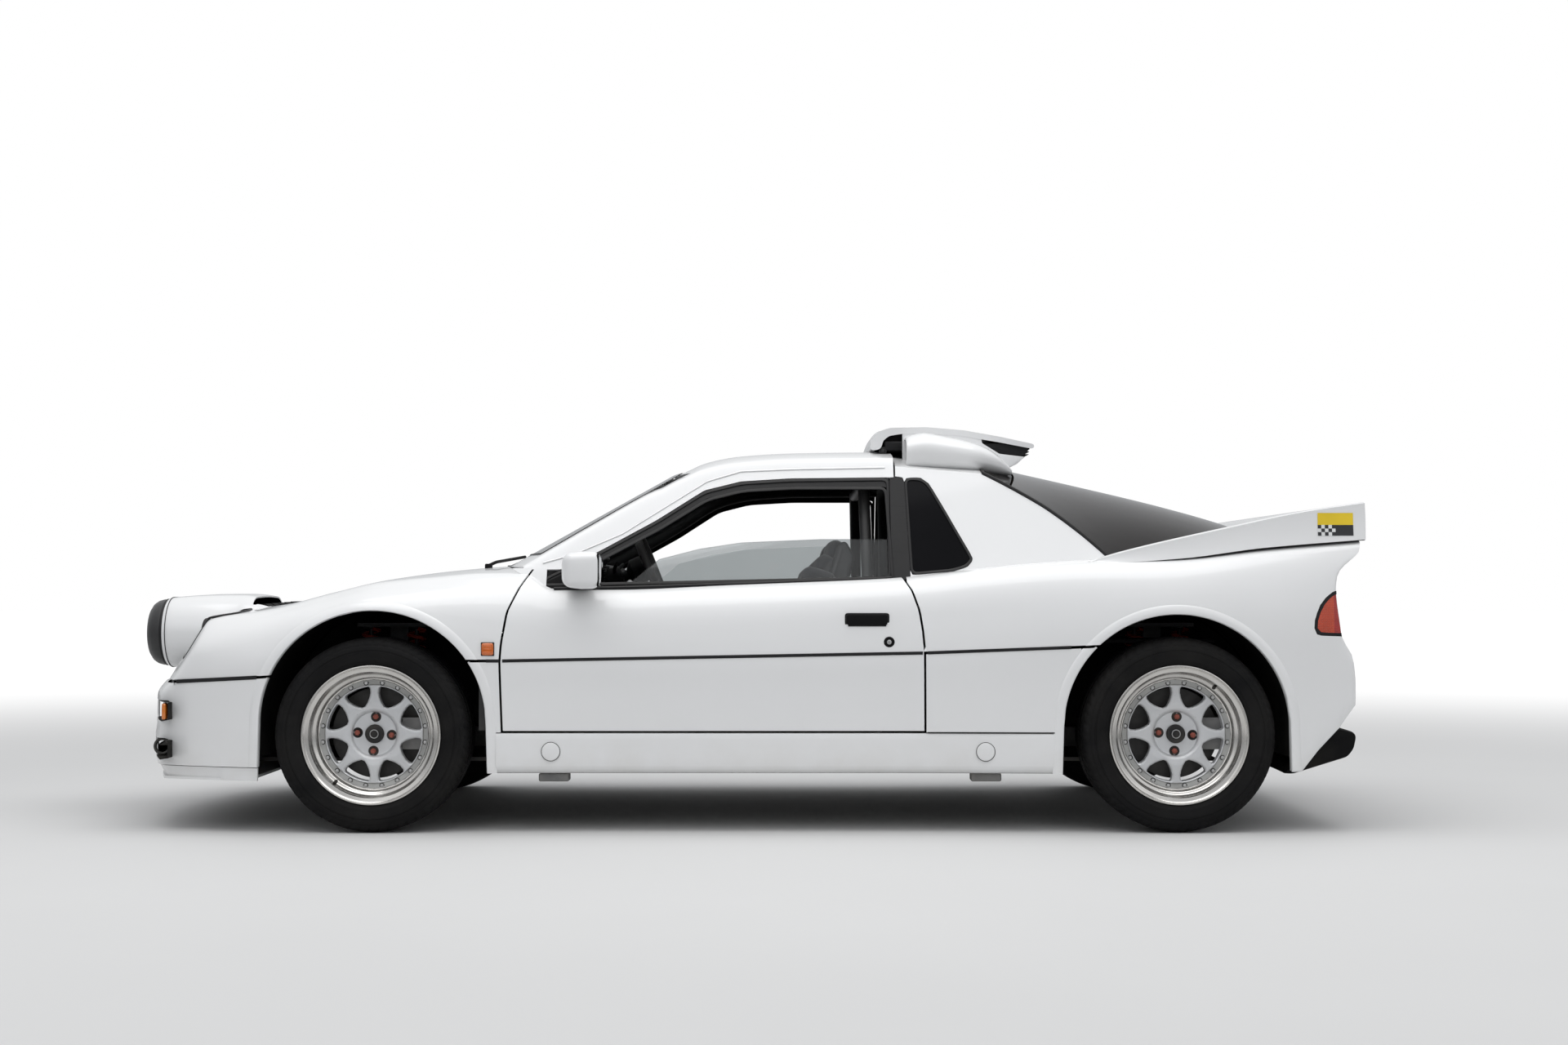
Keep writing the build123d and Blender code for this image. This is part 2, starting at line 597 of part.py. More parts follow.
door_space = side_prism(door_space_side, -BODY_FAR, BODY_FAR) - cab_prism(FRAME_THICKNESS + 6, fx(0), rx(0))
with BuildPart() as cab_frame:
    add(cab_outer - cab_inner)
    add(cab_prism(FRAME_THICKNESS - 4, HOOP_FRONT, SEAM_X)
        - cab_prism(HOOP_SKIN, HOOP_FRONT - 1, SEAM_X + 1))
    add(door_space, mode=Mode.SUBTRACT)
    add(screen_opening(0), mode=Mode.SUBTRACT)
    for side in SIDES.values():
        add(block(HOOP_FRONT - 1, SEAM_X + 1, *sorted((side * 698, side * 900)), up(426), up(511)),
            mode=Mode.SUBTRACT)
        add(block(HOOP_FRONT - 1, SEAM_X + 1, *sorted((side * 722, side * 900)), up(280), up(427)),
            mode=Mode.SUBTRACT)
save(cab_frame, "cab_frame")

with BuildPart() as windscreen:
    add(behind(SCREEN, 0) - behind(SCREEN, GLASS_THICKNESS * 1.14))
    add(screen_opening(SEAT_GAP), mode=Mode.INTERSECT)
save(windscreen, "windscreen")

# Rear clamshell: everything behind the seam, with the leaning quarter pillars
DECK_START = rx(290)
clam_rear_side = [(SEAM_X + SHUT_GAP, up(1000)), (SEAM_X + SHUT_GAP, up(520))]
clam_rear_side += [(x + SHUT_GAP, z) for x, z in DOOR_REAR[:-1]]
clam_rear_side[-1] = (DOOR_REAR[-2][0] + SHUT_GAP, up(STRIP_DOOR_REAR + 6))
clam_rear_side += [(rx(-200), up(STRIP_REAR_ARCH + 6)), (rx(-100), up(100)), (rx(300), up(-116))]
clam_rear_side += TAIL[::-1] + [(rx(602), up(1000))]
rear_inner_tail = [(x - 1.5 * CLAM_SKIN, z) for x, z in TAIL]
inner_side = [(SEAM_X - 200, up(1000)), (SEAM_X - 200, up(-300)), (rx(300), up(-300))]
inner_side += rear_inner_tail[::-1] + [(rx(580), up(1000))]
pillar_skin = 22
dome_glass = dome(GLASS_THICKNESS + SEAT_GAP)
SPOILER = [(rx(-273), up(541)), (rx(-248), up(531)), (rx(18), up(550)), (rx(276), up(584)),
           (rx(602), up(611)), (rx(602), up(734)), (rx(404), up(704)), (rx(167), up(654)),
           (rx(-166), up(577))]
LAMP = [(rx(426), up(317)), (rx(429), up(360)), (rx(443), up(400)), (rx(466), up(429)),
        (rx(489), up(446)), (rx(600), up(452)), (rx(600), up(309))]
LAMP_INNER = 470


def lamp_zone(gap):
    """Where the tail lamps wrap round the corners."""
    zone = side_prism(LAMP, LAMP_INNER + gap, BODY_FAR)
    return zone + side_prism(LAMP, -BODY_FAR, -LAMP_INNER - gap)


# Rear hinge: a pin on each chassis rail in a lug of the clamshell
REAR_HINGE = (rx(472), up(-71))
REAR_PIN_RADIUS = 8
REAR_BRACKET_Y = (294, 306)
REAR_LUG_Y = (312, 330)
hinge_notch = block(rx(330), rx(495), -311, -270, up(-160), up(10))
hinge_notch += block(rx(330), rx(495), 270, 311, up(-160), up(10))
lip_notch = block(rx(300), rx(412), -345, 345, up(-160), up(0))


def rear_hinge_lug(side):
    """Plate that hangs from the tail's slope, bored for the rail's pin."""
    x, z = REAR_HINGE
    low, high = sorted((side * REAR_LUG_Y[0], side * REAR_LUG_Y[1]))
    lug = block(x - 16, x + 16, low, high, z, up(14)) + across(x, z, 16, low, high)
    return lug - across(x, z, REAR_PIN_RADIUS + SEAT_GAP, low - 1, high + 1)


with BuildPart() as rear_clam:
    add(rear_outer)
    add(rear_inner & side_prism(inner_side, -BODY_FAR, BODY_FAR), mode=Mode.SUBTRACT)
    add(cab_prism(pillar_skin, SEAM_X - 10, DECK_START) & dome_glass, mode=Mode.SUBTRACT)
    add(((cab_prism(0, SEAM_X, DECK_START)
          - cab_prism(pillar_skin, SEAM_X - 10, DECK_START + 10)) & dome_glass))
    add((dome(0) - dome(CLAM_SKIN)) & cab_prism(0, SEAM_X, rx(-590)))
    add(side_prism(clam_rear_side, -BODY_FAR, BODY_FAR), mode=Mode.INTERSECT)
    add(rear_cut, mode=Mode.SUBTRACT)
    add(side_prism(QUARTER_WINDOW, -BODY_FAR, BODY_FAR), mode=Mode.SUBTRACT)
    add(side_prism(SPOILER, -BODY_FAR, BODY_FAR) - cab_prism(-SEAT_GAP, SEAM_X, DECK_START),
        mode=Mode.SUBTRACT)
    add(lamp_zone(0), mode=Mode.SUBTRACT)
    add((dome(-SEAT_GAP) - dome_glass) & cab_prism(-SEAT_GAP, rx(-590), DECK_START),
        mode=Mode.SUBTRACT)
    add(hinge_notch, mode=Mode.SUBTRACT)
    add(lip_notch, mode=Mode.SUBTRACT)
    for side in SIDES.values():
        add(rear_hinge_lug(side))
rear_clam.part = max(rear_clam.part.solids(), key=lambda solid: solid.volume)
save(rear_clam, "rear_clam")

with BuildPart() as tail_lamps:
    add(rear_outer & side_prism([(rx(200), up(900)), (rx(200), up(-100))] + TAIL[::-1],
                                -BODY_FAR, BODY_FAR))
    add(hull(REAR_SECTIONS, 50) & side_prism([(x - 60, z) for x, z in TAIL]
                                             + [(rx(100), up(-300)), (rx(100), up(1000))],
                                             -BODY_FAR, BODY_FAR), mode=Mode.SUBTRACT)
    add(lamp_zone(SEAT_GAP), mode=Mode.INTERSECT)
    add(side_prism([(rx(427), up(310)), (rx(427), up(450)), (rx(590), up(450)), (rx(590), up(310))],
                   -BODY_FAR, BODY_FAR), mode=Mode.INTERSECT)
save(tail_lamps, "tail_lamps")

with BuildPart() as spoiler:
    add(side_prism(SPOILER, -out(82), out(82)))
    add(cab_prism(-SEAT_GAP, SEAM_X, DECK_START + SEAT_GAP), mode=Mode.SUBTRACT)
    add(side_prism([(rx(320), up(600)), (rx(540), up(622)), (rx(540), up(702)), (rx(404), up(680)),
                    (rx(320), up(668))], -out(110), out(110)), mode=Mode.SUBTRACT)
save(spoiler, "spoiler")

with BuildPart() as rear_screen:
    add(dome(0) - dome(GLASS_THICKNESS))
    add(cab_prism(0, rx(-589.5), DECK_START - SEAT_GAP), mode=Mode.INTERSECT)
    add(hull(REAR_SECTIONS, GLASS_THICKNESS), mode=Mode.SUBTRACT)
rear_screen.part = max(rear_screen.part.solids(), key=lambda solid: solid.volume)
save(rear_screen, "rear_screen")

with BuildPart() as quarter_windows:
    add(cab_prism(2, SEAM_X, rx(-500)) - cab_prism(8, SEAM_X - 10, rx(-490)))
    add(side_prism(QUARTER_WINDOW, -BODY_FAR, BODY_FAR, -SEAT_GAP), mode=Mode.INTERSECT)
save(quarter_windows, "quarter_windows")

# Roof scoop: wing over the intake, with a bulge each side
SCOOP = [(rx(-949), up(944)), (rx(-924), up(991)), (rx(-883), up(1009)), (rx(-761), up(1009)),
         (rx(-640), up(999)), (rx(-520), up(978)), (rx(-404), up(953)), (rx(-416), up(911)),
         (rx(-452), up(875)), (rx(-860), up(945))]
SCOOP_HALF = 400
SIDE_BULGE = [(rx(-832), up(971)), (rx(-778), up(977)), (rx(-720), up(968)), (rx(-586), up(939)),
              (rx(-522), up(902)), (rx(-481), up(860)), (rx(-500), up(836)), (rx(-832), up(837))]
BULGE_INNER = 380
BULGE_OUTER = 545
with BuildPart() as roof_scoop:
    add(side_prism(SCOOP, -SCOOP_HALF, SCOOP_HALF))
    for side in SIDES.values():
        add(side_prism(SIDE_BULGE, *sorted((side * BULGE_INNER, side * BULGE_OUTER))))
    add(block(rx(-1000), rx(-600), -360, 360, up(944), up(985)), mode=Mode.SUBTRACT)
    add(dome(-SEAT_GAP), mode=Mode.SUBTRACT)
roof_scoop.part = max(roof_scoop.part.solids(), key=lambda solid: solid.volume)
save(roof_scoop, "roof_scoop")

# Tub: floor, tunnel, bulkheads, hinge pillars and the rails for the suspension
RAIL_Y = 300
RAIL_HALF = 32
RAIL_FRONT = fx(-769.4)
RAIL_REAR = rx(380)
FLOOR_THICKNESS = 12
BULKHEAD_FRONT = fx(330)
BULKHEAD_REAR = HOOP_FRONT
TUB_TOP = up(BELT_FRONT - 150)
RACK_X = FRONT_AXLE - STEERING_ARM + 7.5
RACK_Z = up(-28)
RACK_RADIUS = 9
TOWER_TOP = up(345)
SPRING_Y = 430
KINGPIN_Y = HALF_TRACK - KINGPIN_INSET
WHEEL_HOUSE_TOP = 180
WHEEL_HOUSE_WALL = 12


def wheel_house(side, wall):
    """Room in the tub's front corner for a tyre at full lock, grown by its wall."""
    room = tube_between((FRONT_AXLE, side * KINGPIN_Y, up(SILL_BOTTOM)),
                        (FRONT_AXLE, side * KINGPIN_Y, up(WHEEL_HOUSE_TOP + wall)), FULL_LOCK_REACH + wall)
    return room & block(BULKHEAD_FRONT - 1, fx(400), *sorted((side * 460, side * out(70))),
                        up(SILL_BOTTOM), up(WHEEL_HOUSE_TOP + wall))


with BuildPart() as tub:
    add(block(fx(-440), rx(180), -TUB_HALF + 230, TUB_HALF - 230, up(FLOOR_TOP - FLOOR_THICKNESS),
              up(FLOOR_TOP)))
    add(block(BULKHEAD_FRONT, rx(-400), -TUB_HALF, TUB_HALF, up(FLOOR_TOP - FLOOR_THICKNESS),
              up(FLOOR_TOP)))
    for side in SIDES.values():
        rail = sorted((side * (RAIL_Y - RAIL_HALF), side * (RAIL_Y + RAIL_HALF)))
        add(block(RAIL_FRONT, BULKHEAD_FRONT + 10, *rail, up(-70), up(-6)))
        add(block(fx(-380), fx(-340), *rail, up(FLOOR_TOP - 1), up(-69)))
        add(block(BULKHEAD_REAR, RAIL_REAR, *rail, up(-70), up(-6)))
        add(block(rx(130), rx(170), *rail, up(FLOOR_TOP - 1), up(-69)))
        box = sorted((side * (TUB_HALF - 70), side * TUB_HALF))
        add(block(BULKHEAD_FRONT, rx(-420), *box, up(FLOOR_TOP), up(-2)))
        pillar = sorted((side * (TUB_HALF - 60), side * (TUB_HALF + 42)))
        add(block(BULKHEAD_FRONT, fx(425), *pillar, up(SILL_TOP + 6), TUB_TOP))
        add(block(BULKHEAD_FRONT, fx(390), *sorted((side * TUB_HALF, side * (TUB_HALF + 90))),
                  up(SILL_TOP + 6), TUB_TOP))
        bracket = sorted((side * REAR_BRACKET_Y[0], side * REAR_BRACKET_Y[1]))
        x, z = REAR_HINGE
        add(side_prism([(RAIL_REAR - 5, up(-10)), (RAIL_REAR - 5, up(-70)), (x, z - 14), (x + 14, z),
                        (x, z + 14)], *bracket))
        add(across(x, z, REAR_PIN_RADIUS, *sorted((side * REAR_BRACKET_Y[0], side * (REAR_LUG_Y[1] + 4)))))
    add(block(BULKHEAD_FRONT, BULKHEAD_FRONT + 25, -TUB_HALF, TUB_HALF, up(FLOOR_TOP), TUB_TOP))
    add(block(BULKHEAD_REAR, BULKHEAD_REAR + 40, -TUB_HALF, TUB_HALF, up(FLOOR_TOP), TUB_TOP))
    add(block(BULKHEAD_FRONT, BULKHEAD_REAR + 1, -90, 90, up(FLOOR_TOP), up(70)))
    add(across(RACK_X, RACK_Z, RACK_RADIUS + SEAT_GAP, -400, 400), mode=Mode.SUBTRACT)
    for side in SIDES.values():
        add(wheel_house(side, 0), mode=Mode.SUBTRACT)
        add((wheel_house(side, WHEEL_HOUSE_WALL) - wheel_house(side, 0))
            & block(BULKHEAD_FRONT, fx(400), *sorted((side * 460, side * TUB_HALF)),
                    up(FLOOR_TOP - FLOOR_THICKNESS), up(400)))
        for height in DOOR_HINGES:
            add(door_bracket(side, height))
save(tub, "tub")

# Spring towers: a post on each rail with the springs' seat and the upper arms' bar
with BuildPart() as spring_towers:
    for side in SIDES.values():
        rail = sorted((side * (RAIL_Y - RAIL_HALF), side * (RAIL_Y + RAIL_HALF)))
        post = sorted((side * (RAIL_Y - 25), side * (RAIL_Y + 25)))
        plate = sorted((side * (RAIL_Y - 25), side * (SPRING_Y + 40)))
        for axle in AXLES.values():
            add(block(axle - 30, axle + 30, *post, up(-6), TOWER_TOP))
            add(block(axle - 165, axle + 165, *rail, up(104), up(128)))
            add(block(axle - 115, axle + 115, *plate, TOWER_TOP - 12, TOWER_TOP))
save(spring_towers, "spring_towers")

# Wheels: tyre, eight-window rim and the brake disc that turns with it
SPOKE_STEP = 360 / SPOKE_COUNT


def turned(points, axle, side):
    """Ring about the wheel's axis; points are (radius, distance outwards)."""
    plane = Plane(origin=(axle, side * HALF_TRACK, AXLE_Z), x_dir=(0, 0, 1), z_dir=(-side, 0, 0))
    with BuildPart() as ring:
        with BuildSketch(plane):
            with BuildLine():
                Polyline(*points, close=True)
            make_face()
        revolve(axis=Axis((axle, 0, AXLE_Z), (0, 1, 0)))
    return ring.part


# One rounded window between two spokes, narrow at the hub and wide at the rim
WINDOW_HALF_ANGLE = radians(15.5)
WINDOW_TIP_HALF = 8
window_corner = (SPOKE_WINDOW_OUT * cos(WINDOW_HALF_ANGLE), SPOKE_WINDOW_OUT * sin(WINDOW_HALF_ANGLE))
with BuildSketch() as spoke_window:
    with BuildLine():
        Polyline(window_corner, (SPOKE_WINDOW_IN, WINDOW_TIP_HALF), (SPOKE_WINDOW_IN, -WINDOW_TIP_HALF),
                 (window_corner[0], -window_corner[1]))
        ThreePointArc((window_corner[0], -window_corner[1]), (SPOKE_WINDOW_OUT, 0), window_corner)
    make_face()
    fillet(spoke_window.vertices().group_by(Axis.X)[-1], 12)
    fillet(spoke_window.vertices().group_by(Axis.X)[0], 6)

HALF_TYRE = TYRE_WIDTH / 2
RIM_EDGE = HALF_TYRE - 10
TYRE_PROFILE = [(BEAD_RADIUS, RIM_EDGE - 14), (RIM_RADIUS + 2, RIM_EDGE - 6),
                (RIM_RADIUS + 20, HALF_TYRE - 1), (TYRE_RADIUS - 40, HALF_TYRE),
                (TYRE_RADIUS - 12, HALF_TYRE - 10), (TYRE_RADIUS, HALF_TYRE - 26)]
TYRE_PROFILE += [(radius, -y) for radius, y in TYRE_PROFILE[::-1]]
RIM_PROFILE = [(RIM_RADIUS, RIM_EDGE), (RIM_RADIUS, RIM_EDGE - 5.5), (BEAD_RADIUS - 1, RIM_EDGE - 14),
               (BEAD_RADIUS - 1, -RIM_EDGE + 14), (RIM_RADIUS, -RIM_EDGE + 5.5), (RIM_RADIUS, -RIM_EDGE),
               (BEAD_RADIUS - 8, -RIM_EDGE), (BEAD_RADIUS - 12, -RIM_EDGE + 20),
               (RIM_DROP_RADIUS - 12, -RIM_EDGE + 40), (RIM_DROP_RADIUS - 12, RIM_EDGE - FACE_DEPTH - 14),
               (AXLE_PIN_RADIUS + PIN_CLEARANCE, RIM_EDGE - FACE_DEPTH - 14),
               (AXLE_PIN_RADIUS + PIN_CLEARANCE, RIM_EDGE - FACE_DEPTH + 6),
               (70, RIM_EDGE - FACE_DEPTH + 4), (88, RIM_EDGE - FACE_DEPTH),
               (RIM_DROP_RADIUS - 10, RIM_EDGE - FACE_DEPTH + 8), (190, RIM_EDGE - 34),
               (195, RIM_EDGE - 30), (197, RIM_EDGE - 7), (206, RIM_EDGE - 4), (212, RIM_EDGE)]
DISC_PLACE = RIM_EDGE - FACE_DEPTH - 14 - SEAT_GAP
DISC_PROFILE = [(AXLE_PIN_RADIUS + PIN_CLEARANCE, DISC_PLACE), (78, DISC_PLACE), (78, DISC_PLACE - 46),
                (DISC_RADIUS, DISC_PLACE - 46), (DISC_RADIUS, DISC_PLACE - 46 - DISC_THICKNESS),
                (66, DISC_PLACE - 46 - DISC_THICKNESS), (66, DISC_PLACE - 12),
                (AXLE_PIN_RADIUS + PIN_CLEARANCE, DISC_PLACE - 12)]
for end, axle in AXLES.items():
    for name, side in SIDES.items():
        with BuildPart() as tyre:
            add(turned(TYRE_PROFILE, axle, side))
        save(tyre, end + "_" + name + "_tyre")
        with BuildPart() as rim:
            add(turned(RIM_PROFILE, axle, side))
            with BuildSketch(Plane(origin=(axle, side * (HALF_TRACK + RIM_EDGE), AXLE_Z),
                                   x_dir=(1, 0, 0), z_dir=(0, side, 0))):
                with PolarLocations(0, SPOKE_COUNT, start_angle=SPOKE_STEP / 2):
                    add(spoke_window.sketch)
            extrude(amount=-FACE_DEPTH - 40, mode=Mode.SUBTRACT)
            with BuildSketch(Plane(origin=(axle, side * (HALF_TRACK + RIM_EDGE), AXLE_Z),
                                   x_dir=(1, 0, 0), z_dir=(0, side, 0))):
                with PolarLocations(LUG_PCD / 2, 4, start_angle=45):
                    Circle(LUG_RADIUS)
            extrude(amount=-FACE_DEPTH - 40, mode=Mode.SUBTRACT)
        save(rim, end + "_" + name + "_rim")
        with BuildPart() as disc:
            add(turned(DISC_PROFILE, axle, side))
            with BuildSketch(Plane(origin=(axle, side * (HALF_TRACK + DISC_PLACE), AXLE_Z),
                                   x_dir=(1, 0, 0), z_dir=(0, side, 0))):
                with PolarLocations(LUG_PCD / 2, 4, start_angle=45):
                    Circle(LUG_RADIUS)
            extrude(amount=-12, mode=Mode.SUBTRACT)
        save(disc, end + "_" + name + "_brake_disc")

# Knuckles: the front pair steers on kingpins, the rear pair is fixed
DISC_BACK = DISC_PLACE - 46 - DISC_THICKNESS
PIN_END = RIM_EDGE - FACE_DEPTH


def knuckle(axle, side, steered):
    """Upright with its stub axle, caliper and, when steered, its arm."""
    face = HALF_TRACK + DISC_BACK - 8
    with BuildPart() as upright:
        add(block(axle - 30, axle + 30, *sorted((side * (KINGPIN_Y - 26), side * face)),
                  up(-KNUCKLE_HALF_HEIGHT), up(KNUCKLE_HALF_HEIGHT)))
        add(tube_between((axle, side * (face - 10), AXLE_Z), (axle, side * (HALF_TRACK + PIN_END), AXLE_Z),
                         AXLE_PIN_RADIUS))
        low, high = sorted((side * (face - 20), side * (HALF_TRACK + DISC_PLACE - 14)))
        add(block(axle + 84, axle + 158, low, high, up(-50), up(50)))
        low, high = sorted((side * (HALF_TRACK + DISC_BACK - 5),
                            side * (HALF_TRACK + DISC_BACK + DISC_THICKNESS + 5)))
        add(across(axle, AXLE_Z, DISC_RADIUS + 5, low, high), mode=Mode.SUBTRACT)
        add(tube_between((axle, side * (face - 10), AXLE_Z), (axle, side * (HALF_TRACK + PIN_END), AXLE_Z),
                         AXLE_PIN_RADIUS))
        low, high = sorted((side * (face - 20), side * (face - 1)))
        add(block(axle + 20, axle + 100, low, high, up(-40), up(40)))
        if steered:
            add(block(axle - STEERING_ARM - 8, axle - 20,
                      *sorted((side * (KINGPIN_Y - 12), side * (KINGPIN_Y + 12))), up(-70), up(-50)))
            add(tube_between((axle - STEERING_ARM, side * KINGPIN_Y, up(-71)),
                             (axle - STEERING_ARM, side * KINGPIN_Y, up(-15)), 6))
        for height in (-KNUCKLE_HALF_HEIGHT, KNUCKLE_HALF_HEIGHT):
            add(tube_between((axle, side * KINGPIN_Y, up(height - 35)), (axle, side * KINGPIN_Y, up(height + 35)),
                             KINGPIN_RADIUS + SEAT_GAP), mode=Mode.SUBTRACT)
    return upright


for name, side in SIDES.items():
    save(knuckle(FRONT_AXLE, side, True), name + "_knuckle")
with BuildPart() as rear_uprights:
    for side in SIDES.values():
        add(knuckle(REAR_AXLE, side, False).part)
save(rear_uprights, "rear_uprights")

# Wishbones: an upper and a lower triangle at each wheel, pinned to the knuckle
WISHBONE_SPREAD = 150
WISHBONE_RADIUS = 14
EYE_GAP = 10
INNER_Y = RAIL_Y + RAIL_HALF + WISHBONE_RADIUS / 2
for end, axle in AXLES.items():
    with BuildPart() as wishbones:
        for side in SIDES.values():
            for height, pin in ((KNUCKLE_HALF_HEIGHT + EYE_GAP + WISHBONE_RADIUS, -1),
                                (-KNUCKLE_HALF_HEIGHT - EYE_GAP - WISHBONE_RADIUS, 1)):
                tip = (axle, side * KINGPIN_Y, up(height))
                base = max(height, -38) if height < 0 else height
                for reach in (-WISHBONE_SPREAD, WISHBONE_SPREAD):
                    add(tube_between(tip, (axle + reach, side * INNER_Y, up(base)), WISHBONE_RADIUS))
                add(Pos(*tip) * Cylinder(WISHBONE_RADIUS + 4, 2 * WISHBONE_RADIUS, mode=Mode.PRIVATE))
                add(tube_between(tip, (axle, side * KINGPIN_Y, up(height + pin * (WISHBONE_RADIUS + 34))),
                                 KINGPIN_RADIUS))
    save(wishbones, end + "_wishbones")

# Steering: rack bar with its tie rods, housing, column and wheel
RACK_REACH = KINGPIN_Y - 25


def eye(x, y, z):
    """Tie rod eye, wide enough for the arm's pin to swing in."""
    with BuildPart() as ring:
        with BuildSketch(Plane.XY.offset(z - 7)):
            with Locations((x, y)):
                Circle(26)
                Circle(19, mode=Mode.SUBTRACT)
        extrude(amount=14)
    return ring.part


with BuildPart() as steering_rack:
    add(across(RACK_X, RACK_Z, RACK_RADIUS, -RACK_REACH, RACK_REACH))
    for side in SIDES.values():
        add(eye(RACK_X, side * KINGPIN_Y, RACK_Z))
save(steering_rack, "steering_rack")

WHEEL_X = fx(845)
WHEEL_Z = up(534)
WHEEL_RADIUS = 175
COLUMN_RADIUS = 16
COLUMN = (-cos(radians(WHEEL_TILT - 40)), 0, -sin(radians(WHEEL_TILT - 40)))
DRIVER = -1
wheel_plane = Plane(origin=(WHEEL_X, DRIVER * SEAT_Y, WHEEL_Z), x_dir=(0, 1, 0), z_dir=COLUMN)
with BuildPart() as steering_wheel:
    with BuildSketch(Plane(origin=wheel_plane.origin, x_dir=wheel_plane.x_dir,
                           z_dir=wheel_plane.y_dir)):
        with Locations((WHEEL_RADIUS, 0)):
            Circle(14)
    revolve(axis=Axis(wheel_plane.origin, COLUMN))
    with BuildSketch(wheel_plane):
        Circle(45)
        for turn in (0, 120, 240):
            with Locations(Rot(0, 0, turn + 90)):
                with Locations((WHEEL_RADIUS / 2, 0)):
                    Rectangle(WHEEL_RADIUS, 26)
    extrude(amount=5, both=True)
    with BuildSketch(wheel_plane):
        Circle(COLUMN_RADIUS)
    extrude(amount=260)
save(steering_wheel, "steering_wheel")

with BuildPart() as dashboard:
    add(side_prism([(fx(355.3), up(262)), (fx(355.3), up(300)), (fx(470), up(400)), (fx(470), up(500)),
                    (fx(560), up(560)), (fx(690), up(556)), (fx(712), up(520)), (fx(690), up(470)),
                    (fx(640), up(360))], -out(240), out(240)))
    add(tube_between(wheel_plane.origin, wheel_plane.origin + 400 * Vector(*COLUMN),
                     COLUMN_RADIUS + SEAT_GAP), mode=Mode.SUBTRACT)
save(dashboard, "dashboard")

# Bucket seats
SEAT_HALF = 235
SEAT_SIDE = [(fx(1010), up(60)), (fx(1020), up(180)), (fx(1300), up(130)), (fx(1440), up(560)),
             (fx(1452), up(610)), (fx(1500), up(620)), (fx(1530), up(560)), (fx(1400), up(60))]
with BuildPart() as seats:
    for side in SIDES.values():
        low, high = sorted((side * (SEAT_Y - SEAT_HALF), side * (SEAT_Y + SEAT_HALF)))
        add(side_prism(SEAT_SIDE, low, high))
        add(block(fx(1020), fx(1390), low + 60, high - 60, up(FLOOR_TOP), up(61)))
save(seats, "seats")

# Roll cage behind the seats
CAGE_X = rx(-965)
CAGE_RADIUS = 19
with BuildPart() as roll_cage:
    for side in SIDES.values():
        add(tube_between((CAGE_X, side * out(275), up(FLOOR_TOP)), (CAGE_X, side * out(275), up(460)),
                         CAGE_RADIUS))
        add(tube_between((CAGE_X, side * out(275), up(460)), (CAGE_X - 10, side * out(400), up(800)),
                         CAGE_RADIUS))
    add(across(CAGE_X - 10, up(800), CAGE_RADIUS, -out(400), out(400)))
    add(across(CAGE_X, up(460), CAGE_RADIUS, -out(275), out(275)))
save(roll_cage, "roll_cage")

# Engine, gearbox and exhaust
with BuildPart() as engine_block:
    add(block(rx(-820), rx(-240), -230, 230, up(-60), up(430)))
    add(block(rx(-240), rx(225), -150, 150, up(-60), up(180)))
    for x in (rx(-760), rx(-320)):
        add(block(x, x + 50, -RAIL_Y, RAIL_Y, up(-6), up(20)))
save(engine_block, "engine_block")

with BuildPart() as exhaust:
    add(across(rx(330), up(60), 85, -260, 260))
    for side in SIDES.values():
        add(tube_between((rx(330), side * 200, up(60)), (rx(275), side * 200, up(-118)), 28))
        add(tube_between((rx(330), side * 190, up(100)), (rx(-236), side * 190, up(180)), 24))
save(exhaust, "exhaust")

# Springs between the upper wishbones and the towers
SPRING_FOOT = up(KNUCKLE_HALF_HEIGHT + EYE_GAP + 2 * WISHBONE_RADIUS + SEAT_GAP)
with BuildPart() as coil_springs:
    for axle in AXLES.values():
        for side in SIDES.values():
            for shift in (-75, 75):
                add(tube_between((axle + shift, side * SPRING_Y, SPRING_FOOT),
                                 (axle + shift, side * SPRING_Y, TOWER_TOP - 12 - SEAT_GAP), 32))
save(coil_springs, "coil_springs")

with BuildPart() as rear_valance:
    add(side_prism([(rx(346), up(-133)), (rx(395), up(-131)), (rx(597), up(-76)), (rx(592), up(0)),
                    (rx(574), up(14)), (rx(522), up(14)), (rx(400), up(-112.5)), (rx(346), up(-116.5))],
                   -out(110), out(110)))
    add(hinge_notch, mode=Mode.SUBTRACT)
    add(lip_notch, mode=Mode.SUBTRACT)
    for side in SIDES.values():
        add(block(rx(440), rx(495), *sorted((side * 305, side * 337)), up(-100), up(20)),
            mode=Mode.SUBTRACT)
save(rear_valance, "rear_valance")
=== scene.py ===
"""Rally coupe: bodywork, trim, wheels, cabin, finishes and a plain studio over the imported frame."""

import math

